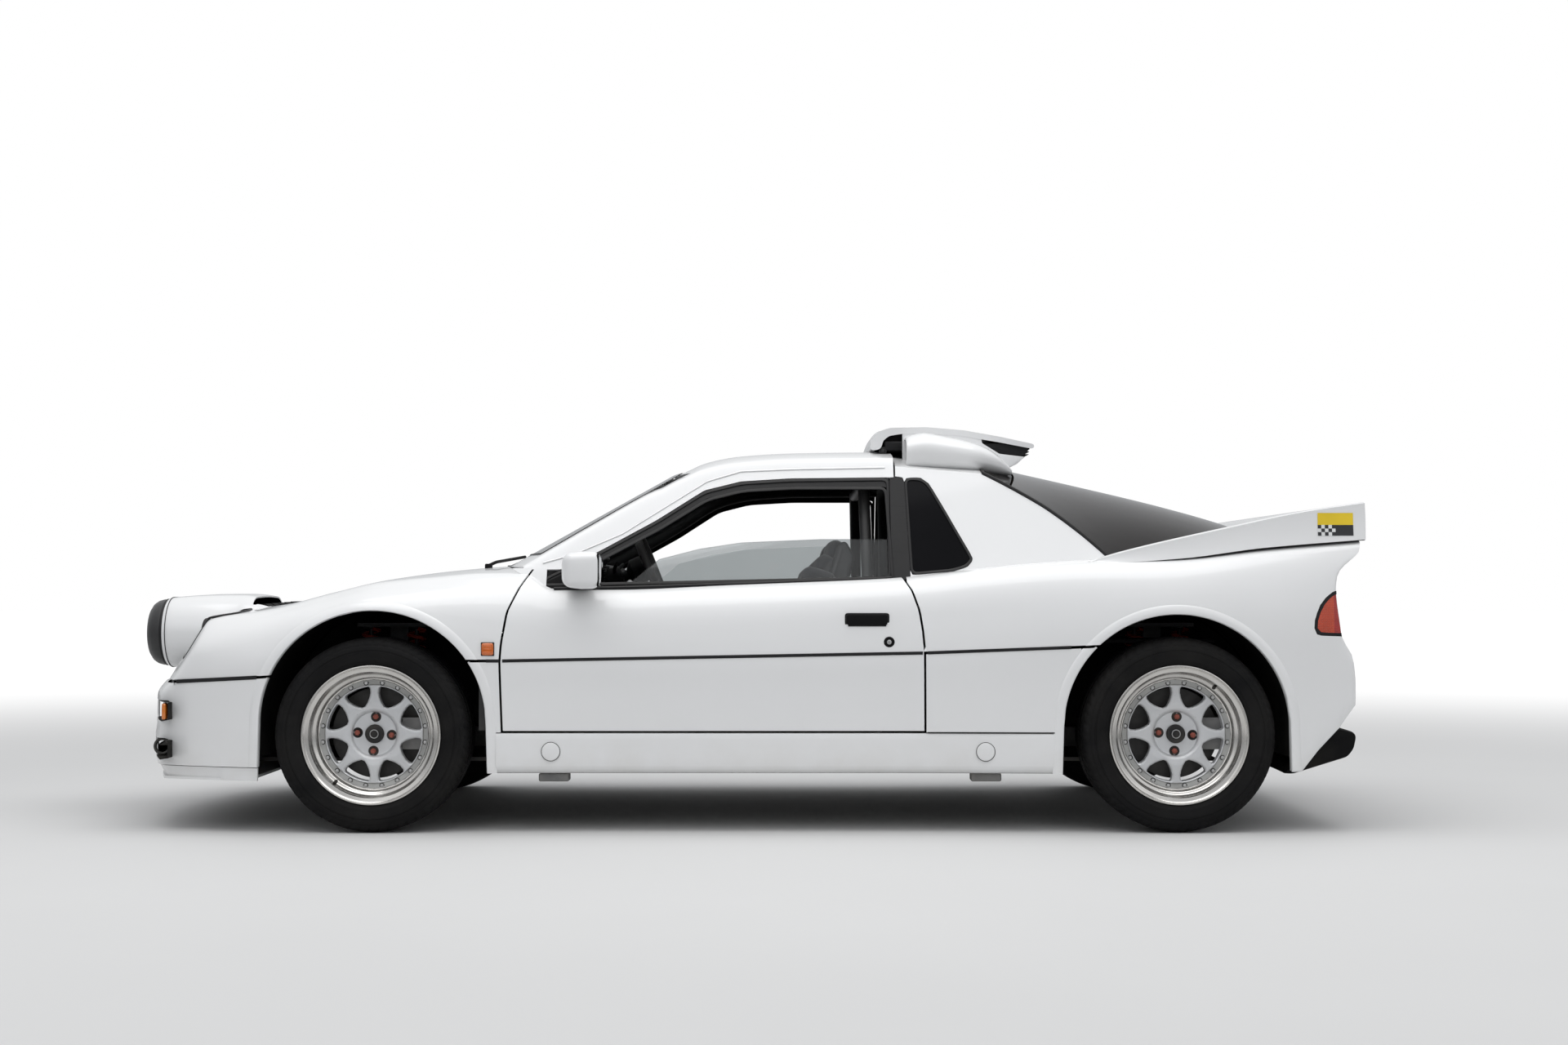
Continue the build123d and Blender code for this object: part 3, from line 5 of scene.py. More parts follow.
import bmesh
import bpy
import numpy as np
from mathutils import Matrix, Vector


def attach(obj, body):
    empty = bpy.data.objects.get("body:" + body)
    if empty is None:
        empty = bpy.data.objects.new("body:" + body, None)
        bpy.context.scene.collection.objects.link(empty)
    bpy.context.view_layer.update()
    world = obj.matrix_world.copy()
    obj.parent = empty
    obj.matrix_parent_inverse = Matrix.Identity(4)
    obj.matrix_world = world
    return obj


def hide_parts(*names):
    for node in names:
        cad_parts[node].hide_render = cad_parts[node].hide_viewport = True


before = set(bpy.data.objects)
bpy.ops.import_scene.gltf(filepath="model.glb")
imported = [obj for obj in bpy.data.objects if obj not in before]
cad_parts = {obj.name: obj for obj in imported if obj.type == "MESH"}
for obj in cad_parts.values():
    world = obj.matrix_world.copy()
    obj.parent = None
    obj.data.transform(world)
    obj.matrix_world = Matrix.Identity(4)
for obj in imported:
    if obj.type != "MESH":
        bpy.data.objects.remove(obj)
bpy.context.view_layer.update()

bl_info = {
    "name": "Rally coupe looks",
    "version": (1, 0, 0),
    "blender": (4, 5, 0),
    "location": "3D View > Sidebar > Rally coupe",
    "description": "Builds the body panels, trim, wheels and cabin of a two-seat rally coupe on its frame",
    "category": "Object",
}

MM = 0.001
FRONT_AXLE, REAR_AXLE, AXLE_Z = -1122.0, 1408.0, 306.0
SIDES = {"left": -1, "right": 1}


def pchip(xs, ys):
    """Smooth curve through a table without overshoot."""
    xs, ys = np.asarray(xs, float), np.asarray(ys, float)
    step = np.diff(xs)
    rise = np.diff(ys) / step
    slope = np.zeros_like(ys)
    both = rise[:-1] * rise[1:]
    slope[1:-1] = np.where(both > 0, 2 * both / np.where(both > 0, rise[:-1] + rise[1:], 1), 0)
    slope[0], slope[-1] = rise[0], rise[-1]

    def at(x):
        x = np.clip(np.asarray(x, float), xs[0], xs[-1])
        k = np.clip(np.searchsorted(xs, x) - 1, 0, len(step) - 1)
        t = (x - xs[k]) / step[k]
        return (ys[k] * (1 + 2 * t) * (1 - t) ** 2 + slope[k] * step[k] * t * (1 - t) ** 2
                + ys[k + 1] * t * t * (3 - 2 * t) + slope[k + 1] * step[k] * t * t * (t - 1))
    return at


def line(points):
    """Straight runs through (x, z) points, as a function."""
    xs, zs = zip(*sorted(points))
    return lambda x: np.interp(x, xs, zs)


def ease(t):
    """Smooth step from 0 to 1."""
    t = np.clip(t, 0, 1)
    return t * t * (3 - 2 * t)


def soft_max(a, b, k):
    """Greater of two values with a rounded change-over."""
    return 0.5 * (a + b + np.sqrt((a - b) ** 2 + 4 * k * k))


def soft_min(a, b, k):
    """Smaller of two values with a rounded change-over."""
    return -soft_max(-a, -b, k)


def grid(points, wrap_rows=False, wrap_cols=False, flip=False):
    """Quads over a (rows, columns, 3) array of points."""
    rows, cols = points.shape[:2]
    faces = []
    for i in range(rows if wrap_rows else rows - 1):
        a, b = i * cols, (i + 1) % rows * cols
        for j in range(cols if wrap_cols else cols - 1):
            k = (j + 1) % cols
            face = (a + j, b + j, b + k, a + k)
            faces.append(face[::-1] if flip else face)
    return points.reshape(-1, 3), faces


def join(*shapes):
    """Several (vertices, faces) shapes as one."""
    verts, faces, base = [], [], 0
    for points, polys in shapes:
        verts.append(np.asarray(points, float).reshape(-1, 3))
        faces += [tuple(base + i for i in face) for face in polys]
        base += len(points)
    return np.concatenate(verts), faces


def flipped(shape):
    """Shape with its faces turned round."""
    return shape[0], [face[::-1] for face in shape[1]]


def mirrored(shape):
    """Shape mirrored to the other side of the car."""
    return shape[0] * (1, -1, 1), [face[::-1] for face in shape[1]]


def both_sides(shape):
    """Shape with its mirror image."""
    return join(shape, mirrored(shape))


def moved(shape, offset=(0, 0, 0), turn=0.0, axis="Y", scale=1.0):
    """Turned about an axis through the origin, scaled and moved."""
    points = np.asarray(shape[0], float) * scale
    c, s = math.cos(turn), math.sin(turn)
    x, y, z = points.T
    if axis == "Y":
        points = np.stack([x * c + z * s, y, z * c - x * s], 1)
    elif axis == "X":
        points = np.stack([x, y * c - z * s, y * s + z * c], 1)
    else:
        points = np.stack([x * c - y * s, x * s + y * c, z], 1)
    return points + np.asarray(offset, float), shape[1]


def clip(shape, field):
    """Keeps the part of a shape where the field is not negative, cut exactly along zero."""
    points, faces = shape
    value = np.asarray(field(points), float)
    value[np.abs(value) < 1e-3] = 0.0
    inside = value >= 0
    fresh, made, keep = [], {}, []

    def cut(a, b):
        key = (min(a, b), max(a, b))
        if key not in made:
            t = value[a] / (value[a] - value[b])
            made[key] = len(points) + len(fresh)
            fresh.append(points[a] + (points[b] - points[a]) * t)
        return made[key]

    for face in faces:
        flags = [inside[i] for i in face]
        if all(flags):
            keep.append(face)
        elif any(flags):
            ring = []
            for a, b in zip(face, face[1:] + face[:1]):
                if inside[a]:
                    ring.append(a)
                if inside[a] != inside[b] and value[a] != 0 and value[b] != 0:
                    ring.append(cut(a, b))
            if len(ring) > 2:
                keep.append(tuple(ring))
    points = np.concatenate([points, np.asarray(fresh, float).reshape(-1, 3)])
    used = np.unique([i for face in keep for i in face]) if keep else np.zeros(0, int)
    index = np.full(len(points), -1)
    index[used] = np.arange(len(used))
    return points[used], [tuple(int(index[i]) for i in face) for face in keep]


def outline_gap(outline, u, v, round_by=0.0):
    """Signed distance to a closed outline, negative inside, with rounded corners."""
    outline = np.asarray(outline, float)
    if round_by:
        outline = inset(outline, round_by)
    best = np.full(np.shape(u), 1e9)
    crossing = np.zeros(np.shape(u), bool)
    for (ax, ay), (bx, by) in zip(outline, np.roll(outline, -1, 0)):
        dx, dy = bx - ax, by - ay
        t = np.clip(((u - ax) * dx + (v - ay) * dy) / (dx * dx + dy * dy), 0, 1)
        best = np.minimum(best, np.hypot(u - ax - t * dx, v - ay - t * dy))
        if ay != by:
            crossing ^= ((ay > v) != (by > v)) & (u < ax + (v - ay) * dx / (by - ay))
    return np.where(crossing, -best, best) - round_by


def inset(outline, gap):
    """Outline moved inwards on all sides."""
    area = np.sum(outline[:, 0] * np.roll(outline[:, 1], -1) - outline[:, 1] * np.roll(outline[:, 0], -1))
    sign = 1 if area > 0 else -1
    after = np.roll(outline, -1, 0) - outline
    after /= np.linalg.norm(after, axis=1)[:, None]
    before = np.roll(after, 1, 0)
    normal = lambda d: np.stack([-d[:, 1], d[:, 0]], 1) * sign
    bisect = normal(after) + normal(before)
    bisect /= np.sum(bisect * normal(after), axis=1)[:, None]
    return outline + bisect * gap


def rounded(outline, radius, steps=5):
    """Outline with each corner replaced by a short curve."""
    outline = np.asarray(outline, float)
    radii = np.broadcast_to(radius, (len(outline),))
    ring = []
    for i, corner in enumerate(outline):
        before, after = outline[i - 1] - corner, outline[(i + 1) % len(outline)] - corner
        reach = [min(0.48, radii[i] / np.linalg.norm(d)) for d in (before, after)]
        a, b = corner + before * reach[0], corner + after * reach[1]
        for t in np.linspace(0, 1, steps + 1):
            ring.append((1 - t) ** 2 * a + 2 * t * (1 - t) * corner + t * t * b)
    return np.asarray(ring)


def prism(outline, low, high, edge=0.0, axis="Y"):
    """Outline run along an axis, its two rims softened by a small curve."""
    outline = np.asarray(outline, float)
    area = np.sum(outline[:, 0] * np.roll(outline[:, 1], -1) - outline[:, 1] * np.roll(outline[:, 0], -1))
    if area < 0:
        outline = outline[::-1]
    if edge:
        turns = np.radians([0, 22.5, 45, 67.5, 90])
        layers = [(low + edge * (1 - math.sin(t)), edge * (1 - math.cos(t))) for t in turns[::-1]]
        layers += [(high - edge * (1 - math.sin(t)), edge * (1 - math.cos(t))) for t in turns]
    else:
        layers = [(low, 0), (high, 0)]
    rings = [np.column_stack([inset(outline, gap) if gap else outline, np.full(len(outline), place)])
             for place, gap in layers]
    points, faces = grid(np.asarray(rings), wrap_cols=True, flip=True)
    count = len(outline)
    faces += [tuple(range(count))[::-1], tuple(range(len(points) - count, len(points)))]
    u, v, w = points.T
    order = {"Y": (u, w, v), "X": (w, u, v), "Z": (u, v, w)}[axis]
    shape = np.stack(order, 1), faces
    return flipped(shape) if axis == "Y" else shape


def pad_box(centre, size, radius, bulge=0.0, steps=4):
    """Box with round edges and crowned faces."""
    half = np.asarray(size, float) / 2
    span = []
    for h in half:
        turn = np.sin(np.linspace(0, math.pi / 2, steps + 1))
        core = h - radius
        inner = np.linspace(-core, core, 5)[1:-1] if bulge else []
        span.append(np.concatenate([-core - radius * turn[::-1], inner, core + radius * turn]))
    faces, points = [], []
    for a in range(3):
        b, c = (a + 1) % 3, (a + 2) % 3
        for sign in (-1, 1):
            u, v = np.meshgrid(span[b], span[c], indexing="ij")
            cell = np.zeros((*u.shape, 3))
            cell[..., a], cell[..., b], cell[..., c] = sign * half[a], u, v
            shape = grid(cell, flip=sign < 0)
            faces.append(shape)
    points, polys = join(*faces)
    core = np.clip(points, -(half - radius), half - radius)
    away = points - core
    length = np.maximum(np.linalg.norm(away, axis=1), 1e-9)[:, None]
    points = core + away / length * radius
    if bulge:
        share = points / half
        for a in range(3):
            b, c = (a + 1) % 3, (a + 2) % 3
            points[:, a] += bulge * share[:, a] * (1 - share[:, b] ** 2) * (1 - share[:, c] ** 2)
    return points + np.asarray(centre, float), polys


def lathe(profile, steps=64, centre=(0, 0, 0), axis="Y", share=1.0):
    """Profile of (radius, offset) turned about an axis."""
    profile = np.asarray(profile, float)
    full = share >= 1
    turns = np.linspace(0, 2 * math.pi * share, steps, endpoint=not full)
    r, w = profile.T
    cell = np.stack([np.cos(turns)[:, None] * r, np.broadcast_to(w, (steps, len(w))),
                     np.sin(turns)[:, None] * r], -1)
    if axis == "X":
        cell = np.stack([cell[..., 1], cell[..., 0], cell[..., 2]], -1)
    elif axis == "Z":
        cell = np.stack([cell[..., 0], cell[..., 2], cell[..., 1]], -1)
    return grid(cell + np.asarray(centre, float), wrap_rows=full, flip=axis != "Y")


def pipe(path, radius, sides=12, closed=False):
    """Round tube along points."""
    path = np.asarray(path, float)
    ahead = np.roll(path, -1, 0) - path if closed else np.gradient(path, axis=0)
    if closed:
        ahead = ahead + np.roll(ahead, 1, 0)
    ahead /= np.linalg.norm(ahead, axis=1)[:, None]
    side = np.cross(ahead[0], (0.31, 0.17, 0.93))
    radii = np.broadcast_to(radius, (len(path),))
    turns = np.linspace(0, 2 * math.pi, sides, endpoint=False)
    rings = []
    for place, d, r in zip(path, ahead, radii):
        side = side - d * np.dot(side, d)
        side /= np.linalg.norm(side)
        up = np.cross(d, side)
        rings.append(place + r * (np.cos(turns)[:, None] * side + np.sin(turns)[:, None] * up))
    points, faces = grid(np.asarray(rings), wrap_rows=closed, wrap_cols=True, flip=True)
    if not closed:
        faces += [tuple(range(sides))[::-1], tuple(range(len(points) - sides, len(points)))]
    return points, faces


def bent(points, radius=40.0, steps=6):
    """Run of points with its inner corners rounded."""
    points = np.asarray(points, float)
    path = [points[0]]
    for before, corner, after in zip(points, points[1:], points[2:]):
        a, b = before - corner, after - corner
        a = corner + a * min(0.48, radius / np.linalg.norm(a))
        b = corner + b * min(0.48, radius / np.linalg.norm(b))
        path += [(1 - t) ** 2 * a + 2 * t * (1 - t) * corner + t * t * b for t in np.linspace(0, 1,
                                                                                              steps + 1)]
    return np.asarray(path + [points[-1]])


def shape_mesh(name, parts, sharp=38, weld=0.05, lining=None):
    """One mesh from (shape, finish) parts with sizes in millimetres."""
    mesh = bpy.data.meshes.new(name)
    points, faces = join(*[shape for shape, finish in parts])
    mesh.from_pydata([tuple(p) for p in points * MM], [], faces)
    finishes = list(dict.fromkeys(finish for shape, finish in parts))
    for finish in finishes + ([lining] if lining else []):
        mesh.materials.append(FINISHES[finish])
    index = [finishes.index(finish) for shape, finish in parts for _ in shape[1]]
    mesh.polygons.foreach_set("material_index", index)
    work = bmesh.new()
    work.from_mesh(mesh)
    bmesh.ops.remove_doubles(work, verts=work.verts, dist=weld * MM)
    bmesh.ops.dissolve_degenerate(work, edges=work.edges, dist=1e-6)
    work.to_mesh(mesh)
    work.free()
    mesh.polygons.foreach_set("use_smooth", [True] * len(mesh.polygons))
    mesh.set_sharp_from_angle(angle=math.radians(sharp))
    return mesh


def make(name, parts, body, nodes=(), thickness=0.0, sharp=38, lining=None, smooth=0):
    """One object from (shape, finish) parts, riding on a body."""
    mesh = shape_mesh(name, parts, sharp, lining=lining)
    piece = bpy.data.objects.new(name, mesh)
    bpy.context.scene.collection.objects.link(piece)
    if thickness:
        skin = piece.modifiers.new("skin", "SOLIDIFY")
        skin.thickness = thickness * MM
        skin.offset = -1
        skin.use_even_offset = False
        if lining:
            skin.material_offset = len(mesh.materials) - 1
        crisp = piece.modifiers.new("crisp_rims", "EDGE_SPLIT")
        crisp.split_angle = math.radians(sharp)
    if smooth:
        rounder = piece.modifiers.new("rounding", "SUBSURF")
        rounder.levels = rounder.render_levels = smooth
    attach(piece, body)
    if nodes:
        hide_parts(*nodes)
    return piece


class Graph:
    """Short way to add, set and link nodes in one tree."""

    def __init__(self, tree, keep=False):
        self.tree = tree
        if not keep:
            tree.nodes.clear()

    def add(self, kind, inputs=None, **settings):
        node = self.tree.nodes.new(kind)
        for key, value in settings.items():
            setattr(node, key, value)
        for key, value in (inputs or {}).items():
            self.put(node.inputs[key], value)
        return node

    def put(self, socket, value):
        if isinstance(value, bpy.types.NodeSocket):
            self.tree.links.new(value, socket)
        elif hasattr(socket.default_value,
                     "__len__") and len(value) == 3 and len(socket.default_value) == 4:
            socket.default_value = (*value, 1)
        else:
            socket.default_value = value

    def math(self, operation, a, b=0.0, clamp=False):
        node = self.add("ShaderNodeMath", {0: a, 1: b}, operation=operation, use_clamp=clamp)
        return node.outputs[0]

    def mix(self, share, a, b, blend="MIX"):
        node = self.add("ShaderNodeMix", {0: share, 6: a, 7: b}, data_type="RGBA", blend_type=blend)
        return node.outputs[2]

    def range(self, value, low, high, to_low=0.0, to_high=1.0):
        node = self.add("ShaderNodeMapRange", {0: value, 1: low, 2: high, 3: to_low, 4: to_high})
        return node.outputs[0]

    def noise(self, scale, detail=4.0, place=None, roughness=0.5):
        place = place or self.add("ShaderNodeTexCoord").outputs["Object"]
        return self.add("ShaderNodeTexNoise", {"Vector": place, "Scale": scale, "Detail": detail,
                                               "Roughness": roughness}).outputs["Fac"]


SOCKETS = {"value": "NodeSocketFloat", "colour": "NodeSocketColor"}
GROUPS = {}


def group(name, ins, outs, build):
    """Shader node group with named sockets; build links its inside."""
    tree = bpy.data.node_groups.new(name, "ShaderNodeTree")
    graph = Graph(tree)
    for label, kind in ins:
        tree.interface.new_socket(label, in_out="INPUT", socket_type=SOCKETS[kind])
    for label, kind in outs:
        tree.interface.new_socket(label, in_out="OUTPUT", socket_type=SOCKETS[kind])
    start, end = graph.add("NodeGroupInput"), graph.add("NodeGroupOutput")
    for label, value in build(graph, start.outputs).items():
        graph.put(end.inputs[label], value)
    GROUPS[name] = tree


def tone_shift(g, given):
    """Slow light and dark drift of a colour."""
    share = g.range(g.noise(given["Scale"], 5.0), 0.3, 0.7, -1.0, 1.0)
    darker = g.math("MULTIPLY", share, given["Amount"])
    scale = g.math("ADD", darker, 1.0)
    tint = g.add("ShaderNodeCombineColor", {0: scale, 1: scale, 2: scale}).outputs[0]
    return {"Colour": g.mix(1.0, given["Colour"], tint, "MULTIPLY"), "Mask": share}


def fine_grain(g, given):
    """Small bumps of two sizes."""
    coarse, fine = g.noise(given["Scale"], 3.0), g.noise(g.math("MULTIPLY", given["Scale"], 4.3), 2.0)
    return {"Height": g.math("ADD", g.math("MULTIPLY", coarse, 0.6), g.math("MULTIPLY", fine, 0.4)),
            "Mask": coarse}


def road_dust(g, given):
    """Dust that thickens towards the ground and on what faces up."""
    place = g.add("ShaderNodeTexCoord").outputs["Object"]
    height = g.add("ShaderNodeSeparateXYZ", {0: place}).outputs[2]
    low = g.range(height, given["Top"], 0.05, 0.0, 1.0)
    patch = g.range(g.noise(9.0, 6.0, place), 0.35, 0.7)
    facing = g.add("ShaderNodeSeparateXYZ",
                   {0: g.add("ShaderNodeNewGeometry").outputs["Normal"]}).outputs[2]
    level = g.math("MULTIPLY", g.range(facing, 0.2, 1.0), 0.25)
    amount = g.math("MULTIPLY", g.math("ADD", g.math("MULTIPLY", low, patch), level), given["Amount"], True)
    rough = g.math("ADD", given["Roughness"], g.math("MULTIPLY", amount, 0.5), True)
    return {"Colour": g.mix(amount, given["Colour"], given["Dust"]), "Roughness": rough, "Mask": amount}


def scuffs(g, given):
    """Thin random rubs that change the roughness."""
    place = g.add("ShaderNodeTexCoord").outputs["Object"]
    long = g.add("ShaderNodeMapping", {0: place, 3: (1.0, 1.0, 9.0)}).outputs[0]
    streak = g.range(g.noise(given["Scale"], 6.0, long, 0.7), 0.55, 0.75)
    return {"Roughness": g.math("ADD", given["Roughness"], g.math("MULTIPLY", streak, given["Amount"]),
                                True),
            "Mask": streak}


def cloth_weave_thread_shade(g, given):
    """Over and under threads with a soft nap, whose colour follows the thread height: painted shade in the
    gaps between threads and a painted highlight on their tops.
    """
    place = g.add("ShaderNodeTexCoord").outputs["Object"]
    waves = []
    for turn in (0.0, math.pi / 2):
        turned = g.add("ShaderNodeMapping", {0: place, 2: (turn, 0.4, turn)}).outputs[0]
        waves.append(g.add("ShaderNodeTexWave", {"Vector": turned, "Scale": given["Scale"],
                                                 "Distortion": 0.4,
                                                 "Detail": 1.0}).outputs["Fac"])
    threads = g.math("MAXIMUM", waves[0], waves[1])
    # painted shade and highlight: colour runs from 0.55 in the gaps between threads to 1.15 on their tops
    shade = g.range(threads, 0.0, 1.0, 0.55, 1.15)
    tint = g.add("ShaderNodeCombineColor", {0: shade, 1: shade, 2: shade}).outputs[0]
    return {"Colour": g.mix(1.0, given["Colour"], tint, "MULTIPLY"), "Height": threads}


def lens_ribs(g, given):
    """Square optics moulded in a lamp lens."""
    x, y, z = g.add("ShaderNodeSeparateXYZ", {0: g.add("ShaderNodeTexCoord").outputs["Object"]}).outputs
    heights = []
    for value in (g.math("ADD", x, y), z):
        wave = g.math("SINE", g.math("MULTIPLY", value, given["Pitch"]))
        heights.append(g.math("ABSOLUTE", wave))
    return {"Height": g.math("MINIMUM", heights[0], heights[1])}


def brushed(g, given):
    """Turned or brushed metal marks around the wheel's axis."""
    x, y, z = g.add("ShaderNodeSeparateXYZ", {0: g.add("ShaderNodeTexCoord").outputs["Object"]}).outputs
    reach = g.math("SQRT", g.math("ADD", g.math("MULTIPLY", x, x), g.math("MULTIPLY", z, z)))
    place = g.add("ShaderNodeCombineXYZ", {0: g.math("MULTIPLY", reach, given["Scale"]), 1: y}).outputs[0]
    marks = g.noise(1.0, 6.0, place, 0.7)
    return {"Height": marks, "Roughness": g.math("ADD", given["Roughness"],
                                                 g.math("MULTIPLY", marks, 0.12))}


def make_groups():
    """Makes the shader groups that the finishes share."""
    value, colour = "value", "colour"
    group("tone_shift", [("Colour", colour), ("Scale", value), ("Amount", value)],
          [("Colour", colour), ("Mask", value)], tone_shift)
    group("fine_grain", [("Scale", value)], [("Height", value), ("Mask", value)], fine_grain)
    group("road_dust", [("Colour", colour), ("Roughness", value), ("Dust", colour), ("Top", value),
                        ("Amount", value)],
          [("Colour", colour), ("Roughness", value), ("Mask", value)], road_dust)
    group("scuffs", [("Roughness", value), ("Scale", value), ("Amount", value)],
          [("Roughness", value), ("Mask", value)], scuffs)
    group("cloth_weave_thread_shade", [("Colour", colour), ("Scale", value)], [("Colour", colour), ("Height", value)],
          cloth_weave_thread_shade)
    group("lens_ribs", [("Pitch", value)], [("Height", value)], lens_ribs)
    group("brushed", [("Roughness", value), ("Scale", value)], [("Height", value), ("Roughness", value)],
          brushed)


def use(g, name, **inputs):
    """The outputs of a node group placed in a material."""
    node = g.add("ShaderNodeGroup", node_tree=GROUPS[name])
    for key, value in inputs.items():
        g.put(node.inputs[key], value)
    return node.outputs


FINISHES = {}
DUST = (0.42, 0.38, 0.31)


def surface(name, colour, roughness, tone=(6.0, 0.03), grain=(300.0, 0.04, 0.001), dust=None, rub=None,
            metal=0.0, extra=None, weave=None, ribs=None, turned=None):
    """A finish whose colour, roughness and bump all vary over the surface."""
    material = bpy.data.materials.new(name)
    material.use_nodes = True
    g = Graph(material.node_tree)
    shade = use(g, "tone_shift", Colour=(*colour, 1), Scale=tone[0], Amount=tone[1])["Colour"]
    rough = roughness
    height = use(g, "fine_grain", Scale=grain[0])["Height"]
    if rub:
        rough = use(g, "scuffs", Roughness=rough, Scale=rub[0], Amount=rub[1])["Roughness"]
    # the weave adds painted shade between the threads and a painted highlight on their tops
    if weave:
        cloth = use(g, "cloth_weave_thread_shade", Colour=shade, Scale=weave)
        shade, height = cloth["Colour"], cloth["Height"]
    if ribs:
        height = use(g, "lens_ribs", Pitch=ribs)["Height"]
    if turned:
        marks = use(g, "brushed", Roughness=roughness, Scale=turned)
        height, rough = marks["Height"], marks["Roughness"]
    if dust:
        dusty = use(g, "road_dust", Colour=shade, Roughness=rough, Dust=(*DUST, 1), Top=dust[0],
                    Amount=dust[1])
        shade, rough = dusty["Colour"], dusty["Roughness"]
    bump = g.add("ShaderNodeBump", {"Strength": grain[1], "Distance": grain[2], "Height": height})
    shader = g.add("ShaderNodeBsdfPrincipled", {"Base Color": shade, "Roughness": rough, "Metallic": metal,
                                                "Normal": bump.outputs[0]})
    for key, value in (extra or {}).items():
        g.put(shader.inputs[key], value)
    out = g.add("ShaderNodeOutputMaterial")
    g.tree.links.new(shader.outputs[0], out.inputs[0])
    FINISHES[name] = material
    return material


